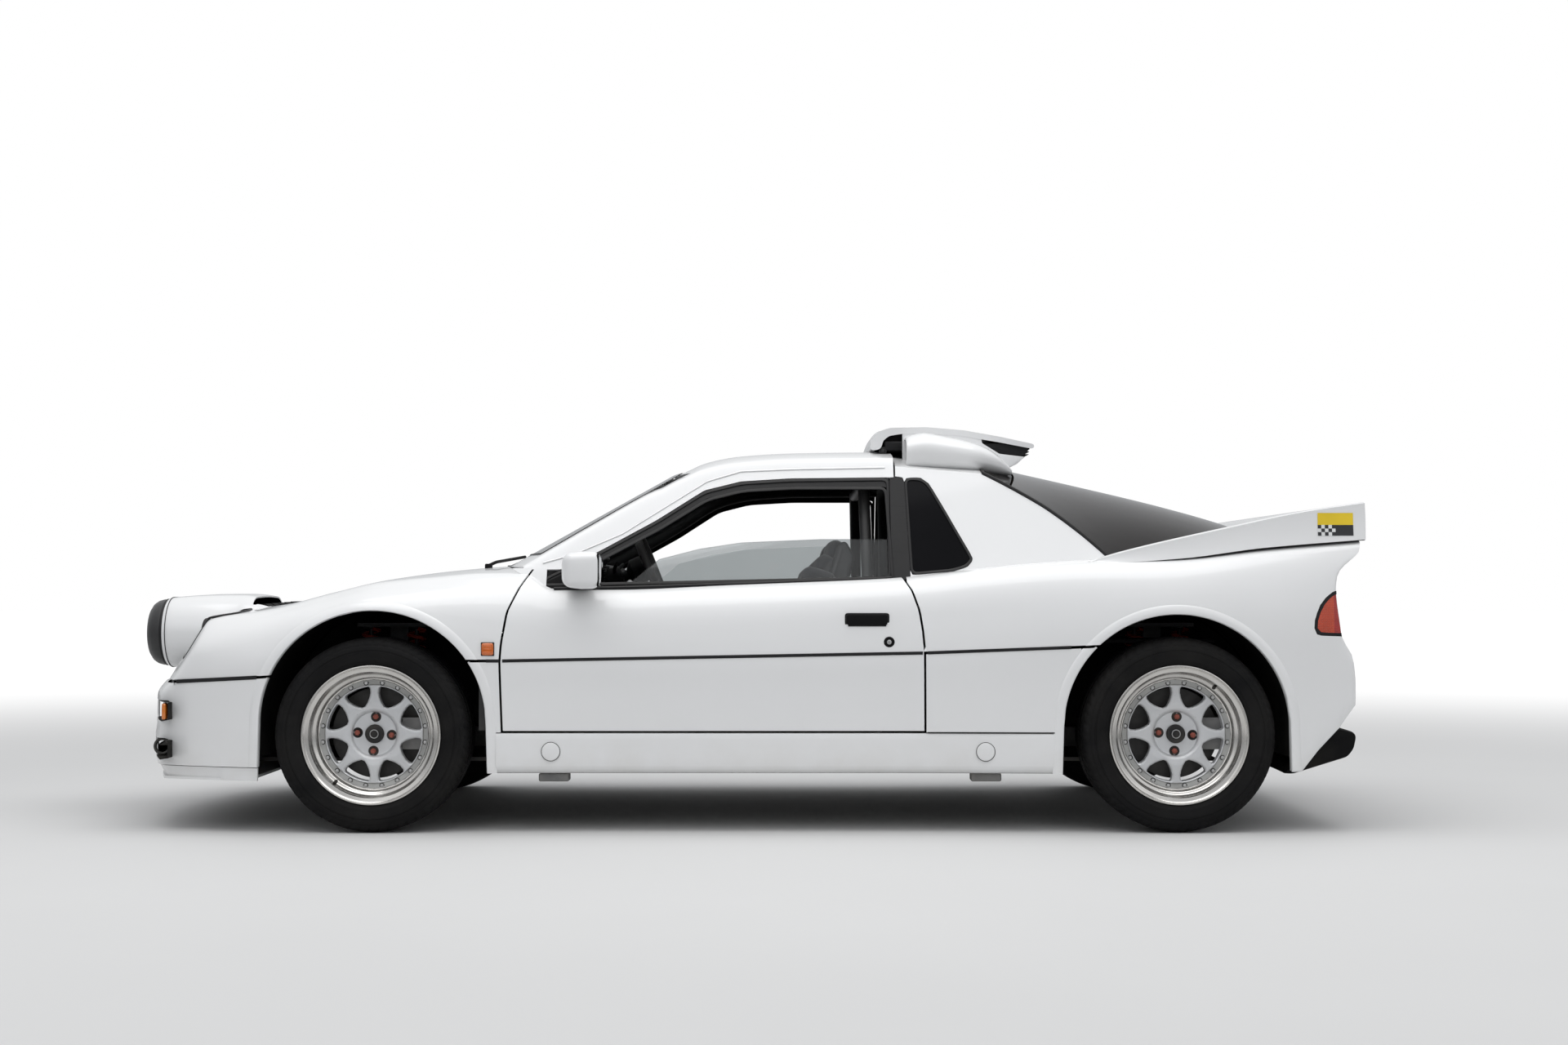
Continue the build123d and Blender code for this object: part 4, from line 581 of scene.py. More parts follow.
def make_finishes(paint):
    """Makes every finish from the groups."""
    coat = {"Coat Weight": 0.7, "Coat Roughness": 0.04}
    surface("body_white", paint, 0.32, (2.2, 0.012), (900.0, 0.02, 0.0006), (0.34, 0.3), (5.0, 0.06),
            extra=coat)
    surface("roof_lining", (0.02, 0.02, 0.021), 0.9, (14.0, 0.1), (420.0, 0.3, 0.001))
    surface("seal_black", (0.008, 0.008, 0.009), 0.5, (8.0, 0.15), (500.0, 0.15, 0.0008), (0.4, 0.12),
            (20.0, 0.2),
            extra={"Specular IOR Level": 0.3})
    surface("moulded_black", (0.009, 0.009, 0.0095), 0.6, (10.0, 0.12), (700.0, 0.35, 0.001), (0.4, 0.05),
            (14.0, 0.15), extra={"Specular IOR Level": 0.05})
    surface("cover_vinyl", (0.016, 0.016, 0.017), 0.42, (9.0, 0.18), (260.0, 0.4, 0.0015), rub=(12.0, 0.2),
            extra={"Sheen Weight": 0.15})
    surface("arch_liner", (0.01, 0.01, 0.01), 0.95, (9.0, 0.2), (200.0, 0.5, 0.002), (0.5, 0.1),
            extra={"Specular IOR Level": 0.2})
    surface("tyre_rubber", (0.0065, 0.0065, 0.007), 0.68, (16.0, 0.2), (340.0, 0.4, 0.0012), (0.5, 0.015),
            (9.0, 0.12),
            extra={"Specular IOR Level": 0.12})
    surface("wheel_silver", (0.6, 0.61, 0.625), 0.4, (14.0, 0.05), (520.0, 0.12, 0.0006), (0.5, 0.08),
            (18.0, 0.15), metal=0.45)
    surface("polished_lip", (0.6, 0.585, 0.56), 0.15, (20.0, 0.06), (10.0, 0.25, 0.0004), metal=1.0,
            turned=900.0)
    surface("bolt_steel", (0.5, 0.5, 0.5), 0.35, (60.0, 0.15), (800.0, 0.2, 0.0006), metal=0.9)
    surface("lug_copper", (0.3, 0.085, 0.06), 0.6, (60.0, 0.3), (700.0, 0.4, 0.001), metal=0.4,
            rub=(30.0, 0.2))
    surface("disc_iron", (0.07, 0.068, 0.066), 0.5, (30.0, 0.15), (10.0, 0.3, 0.0006), metal=0.8,
            turned=1600.0)
    surface("satin_steel", (0.022, 0.022, 0.023), 0.42, (8.0, 0.15), (420.0, 0.2, 0.001), (0.5, 0.35),
            (8.0, 0.2))
    surface("cast_metal", (0.2, 0.2, 0.2), 0.6, (18.0, 0.18), (260.0, 0.6, 0.002), (0.5, 0.3), metal=0.6)
    surface("cast_alloy", (0.36, 0.36, 0.35), 0.5, (12.0, 0.12), (300.0, 0.5, 0.0015), metal=0.7,
            rub=(9.0, 0.2))
    surface("spring_red", (0.42, 0.035, 0.02), 0.45, (20.0, 0.15), (500.0, 0.2, 0.001), (0.7, 0.25),
            (20.0, 0.2))
    surface("pipe_steel", (0.2, 0.17, 0.14), 0.5, (9.0, 0.3), (320.0, 0.3, 0.001), (0.5, 0.3), metal=0.8)
    # seat cloth: its weave paints shade between the threads and a highlight on their tops
    surface("seat_cloth", (0.03, 0.03, 0.034), 0.95, (20.0, 0.15), (300.0, 0.5, 0.0012), weave=260.0,
            extra={"Sheen Weight": 0.35})
    surface("seat_shell", (0.028, 0.028, 0.03), 0.5, (10.0, 0.1), (500.0, 0.25, 0.001), rub=(9.0, 0.2))
    surface("carpet", (0.03, 0.029, 0.028), 1.0, (40.0, 0.3), (900.0, 0.9, 0.003), (0.6, 0.25))
    surface("leather_black", (0.024, 0.023, 0.022), 0.5, (14.0, 0.15), (600.0, 0.45, 0.0012),
            rub=(14.0, 0.15))
    surface("dial_face", (0.012, 0.012, 0.014), 0.3, (40.0, 0.1), (900.0, 0.1, 0.0005))
    surface("dial_marks", (0.6, 0.6, 0.55), 0.5, (40.0, 0.05), (900.0, 0.1, 0.0005))
    surface("mirror_silver", (0.8, 0.82, 0.83), 0.04, (3.0, 0.02), (300.0, 0.01, 0.0002), metal=1.0)
    surface("reflector", (0.75, 0.76, 0.78), 0.16, (20.0, 0.05), (120.0, 0.15, 0.001), metal=1.0)
    surface("hazard_yellow", (0.78, 0.56, 0.02), 0.4, (12.0, 0.05), (700.0, 0.05, 0.0004), rub=(12.0, 0.15))
    surface("sticker_black", (0.02, 0.021, 0.024), 0.4, (12.0, 0.1), (700.0, 0.05, 0.0004),
            rub=(12.0, 0.15))
    surface("sticker_white", (0.75, 0.76, 0.76), 0.4, (12.0, 0.03), (700.0, 0.05, 0.0004), rub=(12.0, 0.15))
    lens = {"Coat Weight": 1.0, "Coat Roughness": 0.03}
    surface("lens_red", (0.42, 0.018, 0.012), 0.18, (26.0, 0.16), (10.0, 0.35, 0.0015), ribs=420.0,
            extra={**lens, "Transmission Weight": 0.25})
    surface("lens_scarlet", (0.6, 0.06, 0.014), 0.18, (26.0, 0.12), (10.0, 0.35, 0.0015), ribs=420.0,
            extra={**lens, "Transmission Weight": 0.25})
    surface("lens_orange", (0.82, 0.17, 0.012), 0.18, (26.0, 0.12), (10.0, 0.35, 0.0015), ribs=420.0,
            extra={**lens, "Transmission Weight": 0.25})
    surface("lens_amber", (0.85, 0.24, 0.02), 0.16, (26.0, 0.12), (10.0, 0.5, 0.0015), ribs=520.0,
            extra={**lens, "Transmission Weight": 0.3})
    surface("lamp_glass", (0.9, 0.92, 0.93), 0.05, (9.0, 0.02), (10.0, 0.2, 0.001), ribs=300.0,
            extra={"Transmission Weight": 0.9, "IOR": 1.45})
    surface("clear_glass", (0.87, 0.895, 0.89), 0.01, (4.0, 0.02), (40.0, 0.01, 0.0004),
            extra={"Transmission Weight": 1.0, "IOR": 1.45})
    surface("tinted_glass", (0.045, 0.037, 0.034), 0.03, (4.0, 0.08), (30.0, 0.02, 0.0005),
            extra={"Transmission Weight": 0.85, "IOR": 1.33})
    surface("dark_glass", (0.006, 0.006, 0.007), 0.07, (4.0, 0.1), (30.0, 0.02, 0.0005),
            extra={"Specular IOR Level": 0.05})


# One smooth skin for the lower body. Each row holds x, then half width and height
# of the low line, the widest line, the facet, the crease, and the crown's height.
BODY_ROWS = [
    (-1905, 690, 700, 400, 706, 500, 690, 575, 640, 640, 655),
    (-1700, 780, 792, 420, 797, 520, 790, 590, 700, 668, 688),
    (-1486, 850, 858, 450, 860, 560, 818, 648, 712, 694, 720),
    (-1300, 872, 878, 480, 878, 640, 830, 702, 716, 742, 765),
    (-1122, 878, 882, 500, 882, 680, 840, 742, 720, 784, 803),
    (-950, 868, 876, 480, 874, 640, 838, 744, 722, 800, 827),
    (-782, 842, 850, 450, 850, 600, 828, 730, 728, 812, 841),
    (-655, 834, 846, 430, 846, 570, 826, 715, 738, 812, 848),
    (-560, 834, 846, 430, 846, 568, 826, 704, 758, 764, 792),
    (-357, 834, 846, 430, 846, 570, 828, 708, 762, 764, 780),
    (0, 834, 846, 430, 846, 572, 828, 716, 764, 777, 792),
    (515, 834, 846, 430, 847, 575, 828, 738, 768, 797, 812),
    (640, 838, 850, 430, 851, 585, 830, 748, 772, 808, 830),
    (770, 844, 856, 430, 857, 600, 834, 762, 780, 822, 850),
    (1078, 864, 870, 450, 872, 650, 844, 786, 792, 846, 880),
    (1408, 878, 882, 500, 882, 691, 850, 803, 796, 856, 900),
    (1708, 862, 868, 480, 868, 691, 844, 822, 798, 890, 930),
    (2010, 822, 834, 450, 834, 691, 824, 845, 798, 917, 950),
]
BODY = [pchip([row[0] for row in BODY_ROWS], [row[k] for row in BODY_ROWS]) for k in range(1, 11)]
BODY_FOOT = 175.0
ROUNDING = (50, 75, 62, 30)
STRAIGHTS = (3, 4, 4, 4)
CROWN_STEPS = 20


def body_section(x):
    """Half sections of the lower body, from foot to centre line, at each x."""
    x = np.atleast_1d(np.asarray(x, float))
    foot_y, low_y, low_z, wide_y, wide_z, facet_y, facet_z, crease_y, crease_z, crown = [f(x) for f in BODY]
    pair = lambda y, z: np.stack([y, z], -1)
    stops = [pair(foot_y, np.full_like(x, BODY_FOOT)), pair(low_y, low_z), pair(wide_y, wide_z),
             pair(facet_y, facet_z), pair(crease_y, crease_z)]
    stops.append(pair(crease_y - 80, crown - (crown - crease_z) * ((crease_y - 80) / crease_y) ** 2))
    rows, last = [stops[0]], stops[0]
    for k in range(1, 5):
        before, after = stops[k - 1] - stops[k], stops[k + 1] - stops[k]
        reach = lambda d: np.minimum(0.48, ROUNDING[k - 1] / np.linalg.norm(d, axis=1))[:, None] * d
        a, b = stops[k] + reach(before), stops[k] + reach(after)
        rows += [last + (a - last) * t for t in np.linspace(0, 1, STRAIGHTS[k - 1] + 1)[1:]]
        rows += [(1 - t) ** 2 * a + 2 * t * (1 - t) * stops[k] + t * t * b for t in np.linspace(0, 1,
                                                                                                7)[1:]]
        last = b
    for t in np.linspace(0, 1, CROWN_STEPS + 1)[1:]:
        rows.append(pair(last[:, 0] * (1 - t), crown - (crown - last[:, 1]) * (1 - t) ** 2))
    return np.stack(rows, axis=1)


SIDE_COUNT = 1 + sum(STRAIGHTS) + 24


def side_y(x, z):
    """Half width of the side at (x, z)."""
    x, z = np.broadcast_arrays(np.asarray(x, float), np.asarray(z, float))
    rows = body_section(x.ravel())[:, :SIDE_COUNT]
    return np.array([np.interp(h, row[:, 1], row[:, 0]) for h,
                     row in zip(z.ravel(), rows)]).reshape(x.shape)


def body_patch(x_low, x_high, step=14.0):
    """Right half of the body skin between two x, with x, y, z points."""
    xs = np.linspace(x_low, x_high, max(4, int(abs(x_high - x_low) / step)))
    rows = body_section(xs)
    cell = np.concatenate([np.broadcast_to(xs[:, None, None], (*rows.shape[:2], 1)), rows], -1)
    return grid(cell, flip=True)


def capped(x_low, x_high, cap, centre_z=BODY_FOOT, step=14.0, cap_steps=40, fine=1):
    """Body skin whose end shrinks to a point, for a nose or tail face to push into shape."""
    points = body_patch(x_low, x_high, step)[0]
    xs = np.linspace(x_low, x_high, max(4, int(abs(x_high - x_low) / step)))
    cell = points.reshape(len(xs), -1, 3)
    end, at_low = (cell[0], True) if cap == "low" else (cell[-1], False)
    shrink = np.linspace(1, 0.0, cap_steps + 1)[1:]
    rings = []
    for k, s in enumerate(shrink):
        ring = end.copy()
        ring[:, 1] *= s
        ring[:, 2] = centre_z + (end[:, 2] - centre_z) * s
        ring[:, 0] += (-1 if at_low else 1) * 1600 * (k + 1) / cap_steps
        rings.append(ring)
    rings = np.asarray(rings)
    cell = np.concatenate([rings[::-1], cell]) if at_low else np.concatenate([cell, rings])
    if fine > 1:
        place = np.linspace(0, cell.shape[1] - 1, (cell.shape[1] - 1) * fine + 1)
        low = np.minimum(place.astype(int), cell.shape[1] - 2)
        share = (place - low)[None, :, None]
        cell = cell[:, low] * (1 - share) + cell[:, low + 1] * share
    return grid(cell, flip=True)


def cab_y(z):
    """Half width of the leaning cab side at a height."""
    return 745.0 - 0.4695 * (z - 758.0)


def screen_x(y, z):
    """Bowed windscreen plane."""
    return -752.0 + (z - 851.0) * 562.0 / 313.0 + 57.0 * (y / 500.0) ** 2


def nose_x(y, z):
    """Bowed, sloping face of the bonnet's nose."""
    return -1903.0 + 0.6 * (z - 470.0) + 153.0 * (y / 820.0) ** 2


BUMPER_PROFILE = pchip([165, 200, 225, 300, 322, 345, 420, 436, 452, 465],
                       [-1925, -1938, -1944, -1946, -1941, -1942, -1940, -1936, -1924, -1912])


def bumper_x(y, z):
    """Bowed bumper face with two soft steps."""
    return BUMPER_PROFILE(z) + 153.0 * (y / 820.0) ** 2


TAIL_PROFILE = pchip([180, 194, 326, 375, 415, 464, 530, 566, 609, 640, 762, 791, 814, 834, 860, 880, 917,
                      960],
                     [1795, 1805, 1927, 1978, 1981, 1981, 1976, 1966, 1938, 1934, 1921, 1923, 1930, 1946,
                      1977, 1999,
                      2008, 2008])


def tail_x(y, z):
    """Tail face, a little rounded in plan."""
    return TAIL_PROFILE(z) - 14.0 * np.abs(y / 820.0) ** 3


# Shut lines and edges in side view, as (x, z) or (z, x)
DOOR_FRONT = line([(313, -713), (532, -721), (591, -717), (692, -700), (769, -666), (812, -640),
                   (860, -606)])
DOOR_REAR = line([(313, 614), (569, 613), (632, 607), (695, 597), (758, 575), (799, 549), (830, 530)])
STRIP = line([(-1960, 466), (-1752, 471), (-1445, 489), (-826, 538), (-716, 538), (610, 563), (1146, 584),
              (1300, 590)])
SILL_TOP = 314.0
DRIP = line([(-648, 838), (-500, 880), (-349, 946), (-154, 1071), (-78, 1119), (31, 1152), (192, 1159),
             (551, 1166)])
FRAME_EDGE = [(-592, 800), (-423, 881), (-240, 983), (-88, 1081), (31, 1111), (192, 1121), (560, 1125)]
BELT = line([(-560, 760), (-357, 763), (80, 777), (515, 794), (570, 797)])
ARCHES = {"front": (-1118.0, 342.0), "rear": (1400.0, 330.0)}
ARCH_RADIUS = 355.0


def arch_gap(end):
    """Signed distance outside a wheel opening in side view."""
    cx, cz = ARCHES[end]

    def field(p):
        x, z = p[:, 0] - cx, p[:, 2] - cz
        return np.where(z > 0, np.hypot(x, z), np.abs(x) + 0.028 * z) - ARCH_RADIUS
    return field


def keep(shape, *fields):
    """Shape cut to where every field is positive."""
    for field in fields:
        shape = clip(shape, field)
    return shape


def body_mount(p):
    """Positive outside the cab's foot and ahead of the windscreen's foot."""
    cab = np.maximum(np.abs(p[:, 1]) - cab_y(p[:, 2]) + 1.0, 700.0 - p[:, 2])
    ahead = screen_x(p[:, 1], 851.0) - 26.0 - p[:, 0]
    return np.maximum(cab, ahead)


def sided(shape, material="body_white"):
    """Shape on both sides of the car, with its finish."""
    return both_sides(shape), material


def arch_path(end, low_left, low_right, steps=72):
    """Points round a wheel opening with their outward direction, in side view."""
    cx, cz = ARCHES[end]
    path = []
    for z in np.linspace(low_left, cz, 8)[:-1]:
        path.append((cx - ARCH_RADIUS + 0.028 * (z - cz) , z, -1.0, 0.0))
    for turn in np.linspace(math.pi, 0, steps):
        c, s = math.cos(turn), math.sin(turn)
        path.append((cx + ARCH_RADIUS * c, cz + ARCH_RADIUS * s, c, s))
    for z in np.linspace(cz, low_right, 8)[1:]:
        path.append((cx + ARCH_RADIUS - 0.028 * (z - cz), z, 1.0, 0.0))
    return np.asarray(path)


LIP = [(31, -1.0), (27, 1.2), (22, 3.0), (14, 3.8), (5, 3.8), (1.0, 2.4), (-1.0, -0.5), (-1.5, -5),
       (-1.5, -24)]


def arch_lip(end, low_left, low_right):
    """Rolled flange round a wheel opening."""
    path = arch_path(end, low_left, low_right)
    rings = []
    for out, proud in LIP:
        x, z = path[:, 0] + path[:, 2] * out, path[:, 1] + path[:, 3] * out
        near = max(out, 0)
        y = side_y(path[:, 0] + path[:, 2] * near, path[:, 1] + path[:, 3] * near) + proud
        rings.append(np.stack([x, y, z], -1))
    return grid(np.asarray(rings), flip=True)


def strip(x_low, x_high, half=4.5, proud=2.0, height=None, step=20.0):
    """Thin rubbing strip along the side; drawn very thin at the sill top, it is a painted shadow line."""
    height = height or STRIP
    xs = np.linspace(x_low, x_high, max(6, int((x_high - x_low) / step)))
    rings = []
    for rise, out in ((-half, -6), (-half, 1.0), (-half + 1.2, proud), (half - 1.2, proud), (half, 1.0),
                      (half, -6)):
        z = height(xs) + rise
        rings.append(np.stack([xs, side_y(xs, z) + out, z], -1))
    return grid(np.asarray(rings), flip=True)


SKIN = 6.0
GAP = 3.5


def front_skin():
    """Bonnet, wings and nose of the front clamshell as one smooth surface."""
    points, faces = capped(-1905, -600, "low")
    face = nose_x(points[:, 1], points[:, 2])
    points = points.copy()
    points[:, 0] = soft_max(points[:, 0], face, 16.0)
    return points, faces


def bumper_skin(cap_steps=40, fine=1):
    """Body skin pushed to the bumper's face."""
    points, faces = capped(-1935, -1380, "low", cap_steps=cap_steps, fine=fine)
    points = points.copy()
    points[:, 0] = soft_max(points[:, 0], bumper_x(points[:, 1], points[:, 2]), 14.0)
    return points, faces


def headlamp_field(p):
    """Signed distance to the faired headlamp opening, negative inside."""
    x, y = p[:, 0], p[:, 1]
    outline = [(395, -1790), (392, -1600), (545, -1574), (655, -1588), (694, -1640), (700, -1745),
               (650, -1765)]
    return outline_gap(outline, np.abs(y), x, 26.0)


def build_front_clam():
    """Bonnet, wings and nose of the front clamshell."""
    pod = lambda p: np.maximum.reduce([np.abs(p[:, 1]) - 262.0, p[:, 0] + 1590.0, 494.0 - p[:, 2]])
    above = lambda p: p[:, 2] - STRIP(p[:, 0]) - 4.5
    shut = lambda p: DOOR_FRONT(p[:, 2]) - GAP - p[:, 0]
    skin = keep(front_skin(), lambda p: p[:, 1] + 1e-6, above, arch_gap("front"), shut, body_mount, pod,
                headlamp_field)
    lip = keep(arch_lip("front", 300, 300), above, lambda p: DOOR_FRONT(p[:, 2]) - GAP - p[:, 0])
    return make("front_clam_panels", [sided(skin), sided(lip)], "front_clamshell",
                ["front_clam"], thickness=SKIN, lining="arch_liner")


def lower_panels(low, high, end):
    """Body side below the strip, between two x."""
    below = lambda p: STRIP(p[:, 0]) - 4.5 - p[:, 2]
    foot = lambda p: p[:, 2] - SILL_TOP
    if end == "front":
        shut = lambda p: DOOR_FRONT(p[:, 2]) - GAP - p[:, 0]
    else:
        shut = lambda p: p[:, 0] - DOOR_REAR(p[:, 2]) - GAP
    skin = keep(body_patch(low, high, 10), below, foot, shut, arch_gap(end))
    return sided(skin)


def door_outside():
    """Skin of the right door below the window."""
    skin = body_patch(-740, 640, 14)
    return keep(skin, lambda p: p[:, 2] - 319.0, lambda p: p[:, 0] - DOOR_FRONT(p[:, 2]) - GAP,
                lambda p: DOOR_REAR(p[:, 2]) - GAP - p[:, 0], lambda p: cab_field(p, 0.5),
                lambda p: p[:, 1])


def cab_field(p, gap=0.0):
    """Signed distance outside the cab."""
    return np.maximum(np.abs(p[:, 1]) - cab_y(p[:, 2]) + 1.0 - gap, 700.0 - p[:, 2])


def cab_side(outline, holes=(), proud=0.0, step=11.0):
    """Right half of a piece of the leaning cab side, cut to an (x, z) outline."""
    outline = np.asarray(outline, float)
    low, high = outline.min(0) - 5, outline.max(0) + 5
    xs = np.arange(low[0], high[0] + step, step)
    zs = np.arange(low[1], high[1] + step, step)
    x, z = np.meshgrid(xs, zs, indexing="ij")
    shape = grid(np.stack([x, cab_y(z) + proud, z], -1), flip=True)
    shape = clip(shape, lambda p: -outline_gap(outline, p[:, 0], p[:, 2]))
    for hole in holes:
        shape = clip(shape, lambda p, hole=hole: outline_gap(hole, p[:, 0], p[:, 2]))
    return shape


WINDOW = np.array([(-518, 772), (-510, 806), (-416, 862), (-232, 961), (-78, 1058), (38, 1087), (198, 1096),
                   (506, 1096), (522, 806), (524, 794)], float)
DOOR_FRAME = np.array([(-612, 772), *[(x, z) for x, z in FRAME_EDGE[:-1]], (513, 1125), (513, 790)], float)
PILLAR_FOOT = [(-700, 830), (-586, 830), (-586, 768), (-604, 768), (-652, 802)]
QUARTER = np.array([(562, 1126), (615, 1127), (643, 1107), (688, 1027), (734, 941), (771, 873), (777, 856),
                    (757, 833), (711, 819), (575, 807)], float)


def rim_band(outline, width, proud, finish, edge=1.5):
    """Raised band that follows an outline on the leaning cab side."""
    outer = rounded(outline, 26, 6)
    rings = []
    for gap, out in ((0, -2), (0, proud - edge), (edge, proud), (width - edge, proud),
                     (width, proud - edge),
                     (width, -6)):
        ring = inset(outer, gap) if gap else outer
        rings.append(np.stack([ring[:, 0], cab_y(ring[:, 1]) + out, ring[:, 1]], -1))
    return grid(np.asarray(rings), wrap_cols=True), finish


def build_door(side):
    """Door skin, frame, trim and inner card."""
    flip = side == "left"
    turn = (lambda shape: mirrored(shape)) if flip else (lambda shape: shape)
    skin = door_outside()
    frame_piece = cab_side(DOOR_FRAME, [WINDOW], -2.0)
    corner = keep(cab_side(PILLAR_FOOT, proud=3.2, step=5), lambda p: p[:, 0] - DOOR_FRONT(p[:, 2]) - GAP)
    parts = [(turn(skin), "body_white"), (turn(frame_piece), "seal_black"), (turn(corner), "body_white")]
    make(side + "_door_panel", parts, side + "_door", [side + "_door"], thickness=SKIN,
         lining="seal_black")
    trim = []
    window_band, finish = rim_band(WINDOW, 10, 3.0, "seal_black")
    outer_band, finish = rim_band(DOOR_FRAME, 9, 2.0, "seal_black")
    trim += [(turn(window_band), finish), (turn(outer_band), finish)]
    belt = np.linspace(-560, 513, 50)
    rings = []
    for rise, out in ((-9, -3), (-9, 3), (-6, 7), (6, 8), (10, 4), (10, -6)):
        z = BELT(belt) + rise
        rings.append(np.stack([belt, cab_y(BELT(belt)) + 6 + out + np.zeros_like(belt), z], -1))
    trim.append((turn(grid(np.asarray(rings), flip=True)), "seal_black"))
    corner = cab_side([(-606, 776), (-510, 822), (-500, 770), (-540, 758)], proud=1.0)
    trim.append((turn(corner), "moulded_black"))
    strip_piece = keep(strip(-712, 606, 5.0, 2.2))
    trim.append((turn(strip_piece), "seal_black"))
    make(side + "_door_trim", trim, side + "_door")
    jamb = []
    ring = door_ring()
    jamb.append((turn(ring), "body_white"))
    jamb.append((turn(door_card()), "moulded_black"))
    make(side + "_door_inner", jamb, side + "_door")
    build_handle(side, turn)


def door_ring():
    """Edge faces that turn inwards round the door's shut line."""
    zs = np.linspace(319, 800, 30)
    front = [(DOOR_FRONT(z) + GAP, z) for z in zs]
    rear = [(DOOR_REAR(z) - GAP, z) for z in zs[::-1]]
    foot = [(x, 319.0) for x in np.linspace(606, -704, 20)]
    path = np.asarray(front[::-1] + foot[::-1] + rear[::-1])
    rings = []
    for depth in (0.0, 3.0, 44.0):
        y = side_y(path[:, 0], path[:, 1]) - np.where(path[:, 0] < -600, depth * 0.3, depth) - 0.5
        rings.append(np.stack([path[:, 0], y, path[:, 1]], -1))
    return grid(np.asarray(rings))


def door_card():
    """Trim panel inside the door."""
    outline = rounded([(-560, 345), (-560, 730), (-500, 748), (490, 776), (530, 740), (560, 560),
                       (560, 345)], 40)
    panel = prism(outline, -56, -44, 5.0)
    rest = prism(rounded([(-300, 628), (-280, 662), (300, 674), (360, 656), (340, 628), (-240, 618)], 16),
                 -63, -50, 5.0)
    pull = pipe(bent([(100, -54, 700), (100, -62, 700), (240, -62, 706), (240, -54, 706)], 10), 4)
    points, faces = join(panel, rest, pull)
    points = points.copy()
    points[:, 1] += side_y(points[:, 0], np.minimum(points[:, 2], 770))
    return points, faces


def build_handle(side, turn):
    """Door handle and lock."""
    y = float(side_y(432, 665))
    frame_outline = rounded([(362, 642), (362, 688), (502, 688), (502, 642)], 10)
    frame_outline[:, 0] = np.clip(frame_outline[:, 0], 362, 502)
    recess = prism(frame_outline, y - 22, y + 1.2, 1.0)
    flap = prism(rounded([(368, 650), (368, 684), (496, 684), (496, 650)], 8), y - 4, y + 7.5, 4.0)
    lip = prism(rounded([(372, 646), (372, 651), (492, 651), (492, 646)], 2), y - 4, y + 4.5, 1.0)
    yl = float(side_y(501, 597))
    lock = lathe([(0, yl + 3.5), (8, yl + 3.5), (9, yl + 2.5), (9, yl + 2.0), (15.5, yl + 2.0),
                  (17, yl + 0.5),
                  (17, yl - 6)], 40, (501, 0, 597))
    barrel = lathe([(0, yl + 4.6), (6.4, yl + 4.6), (7.2, yl + 3.8), (7.2, yl + 2)], 32, (501, 0, 597))
    # dark box in the key slot: painted shade standing for the slot's depth
    keyhole_shade = pad_box((501, yl + 4.8, 597), (1.4, 1.2, 7), 0.4)
    make(side + "_door_handle", [(turn(recess), "seal_black"), (turn(flap), "moulded_black"),
                                 (turn(lip), "seal_black"), (turn(lock), "moulded_black"),
                                 (turn(barrel), "bolt_steel"), (turn(keyhole_shade), "dial_face")],
         side + "_door")


ROOF_LINE = pchip([-230, -191, -157, -98, 20, 194, 360, 475, 540],
                  [1145, 1164, 1178, 1201, 1221, 1231, 1233.5, 1234, 1234])


def side_z(y):
    """Height of the leaning cab side's plane over a half width."""
    return 758.0 + (745.0 - np.abs(y)) / 0.4695


def cab_top(x, y):
    """Roof, screen frame and rails of the cab as a height."""
    screen = 851.0 + (x + 752.0 - 57.0 * (y / 500.0) ** 2) * 313.0 / 562.0
    crown = ROOF_LINE(np.maximum(x, -230)) - 44.0 * (np.abs(y) / 553.0) ** 2.4
    top = soft_min(screen, crown, 10.0)
    return soft_min(top, side_z(y), 7.0)


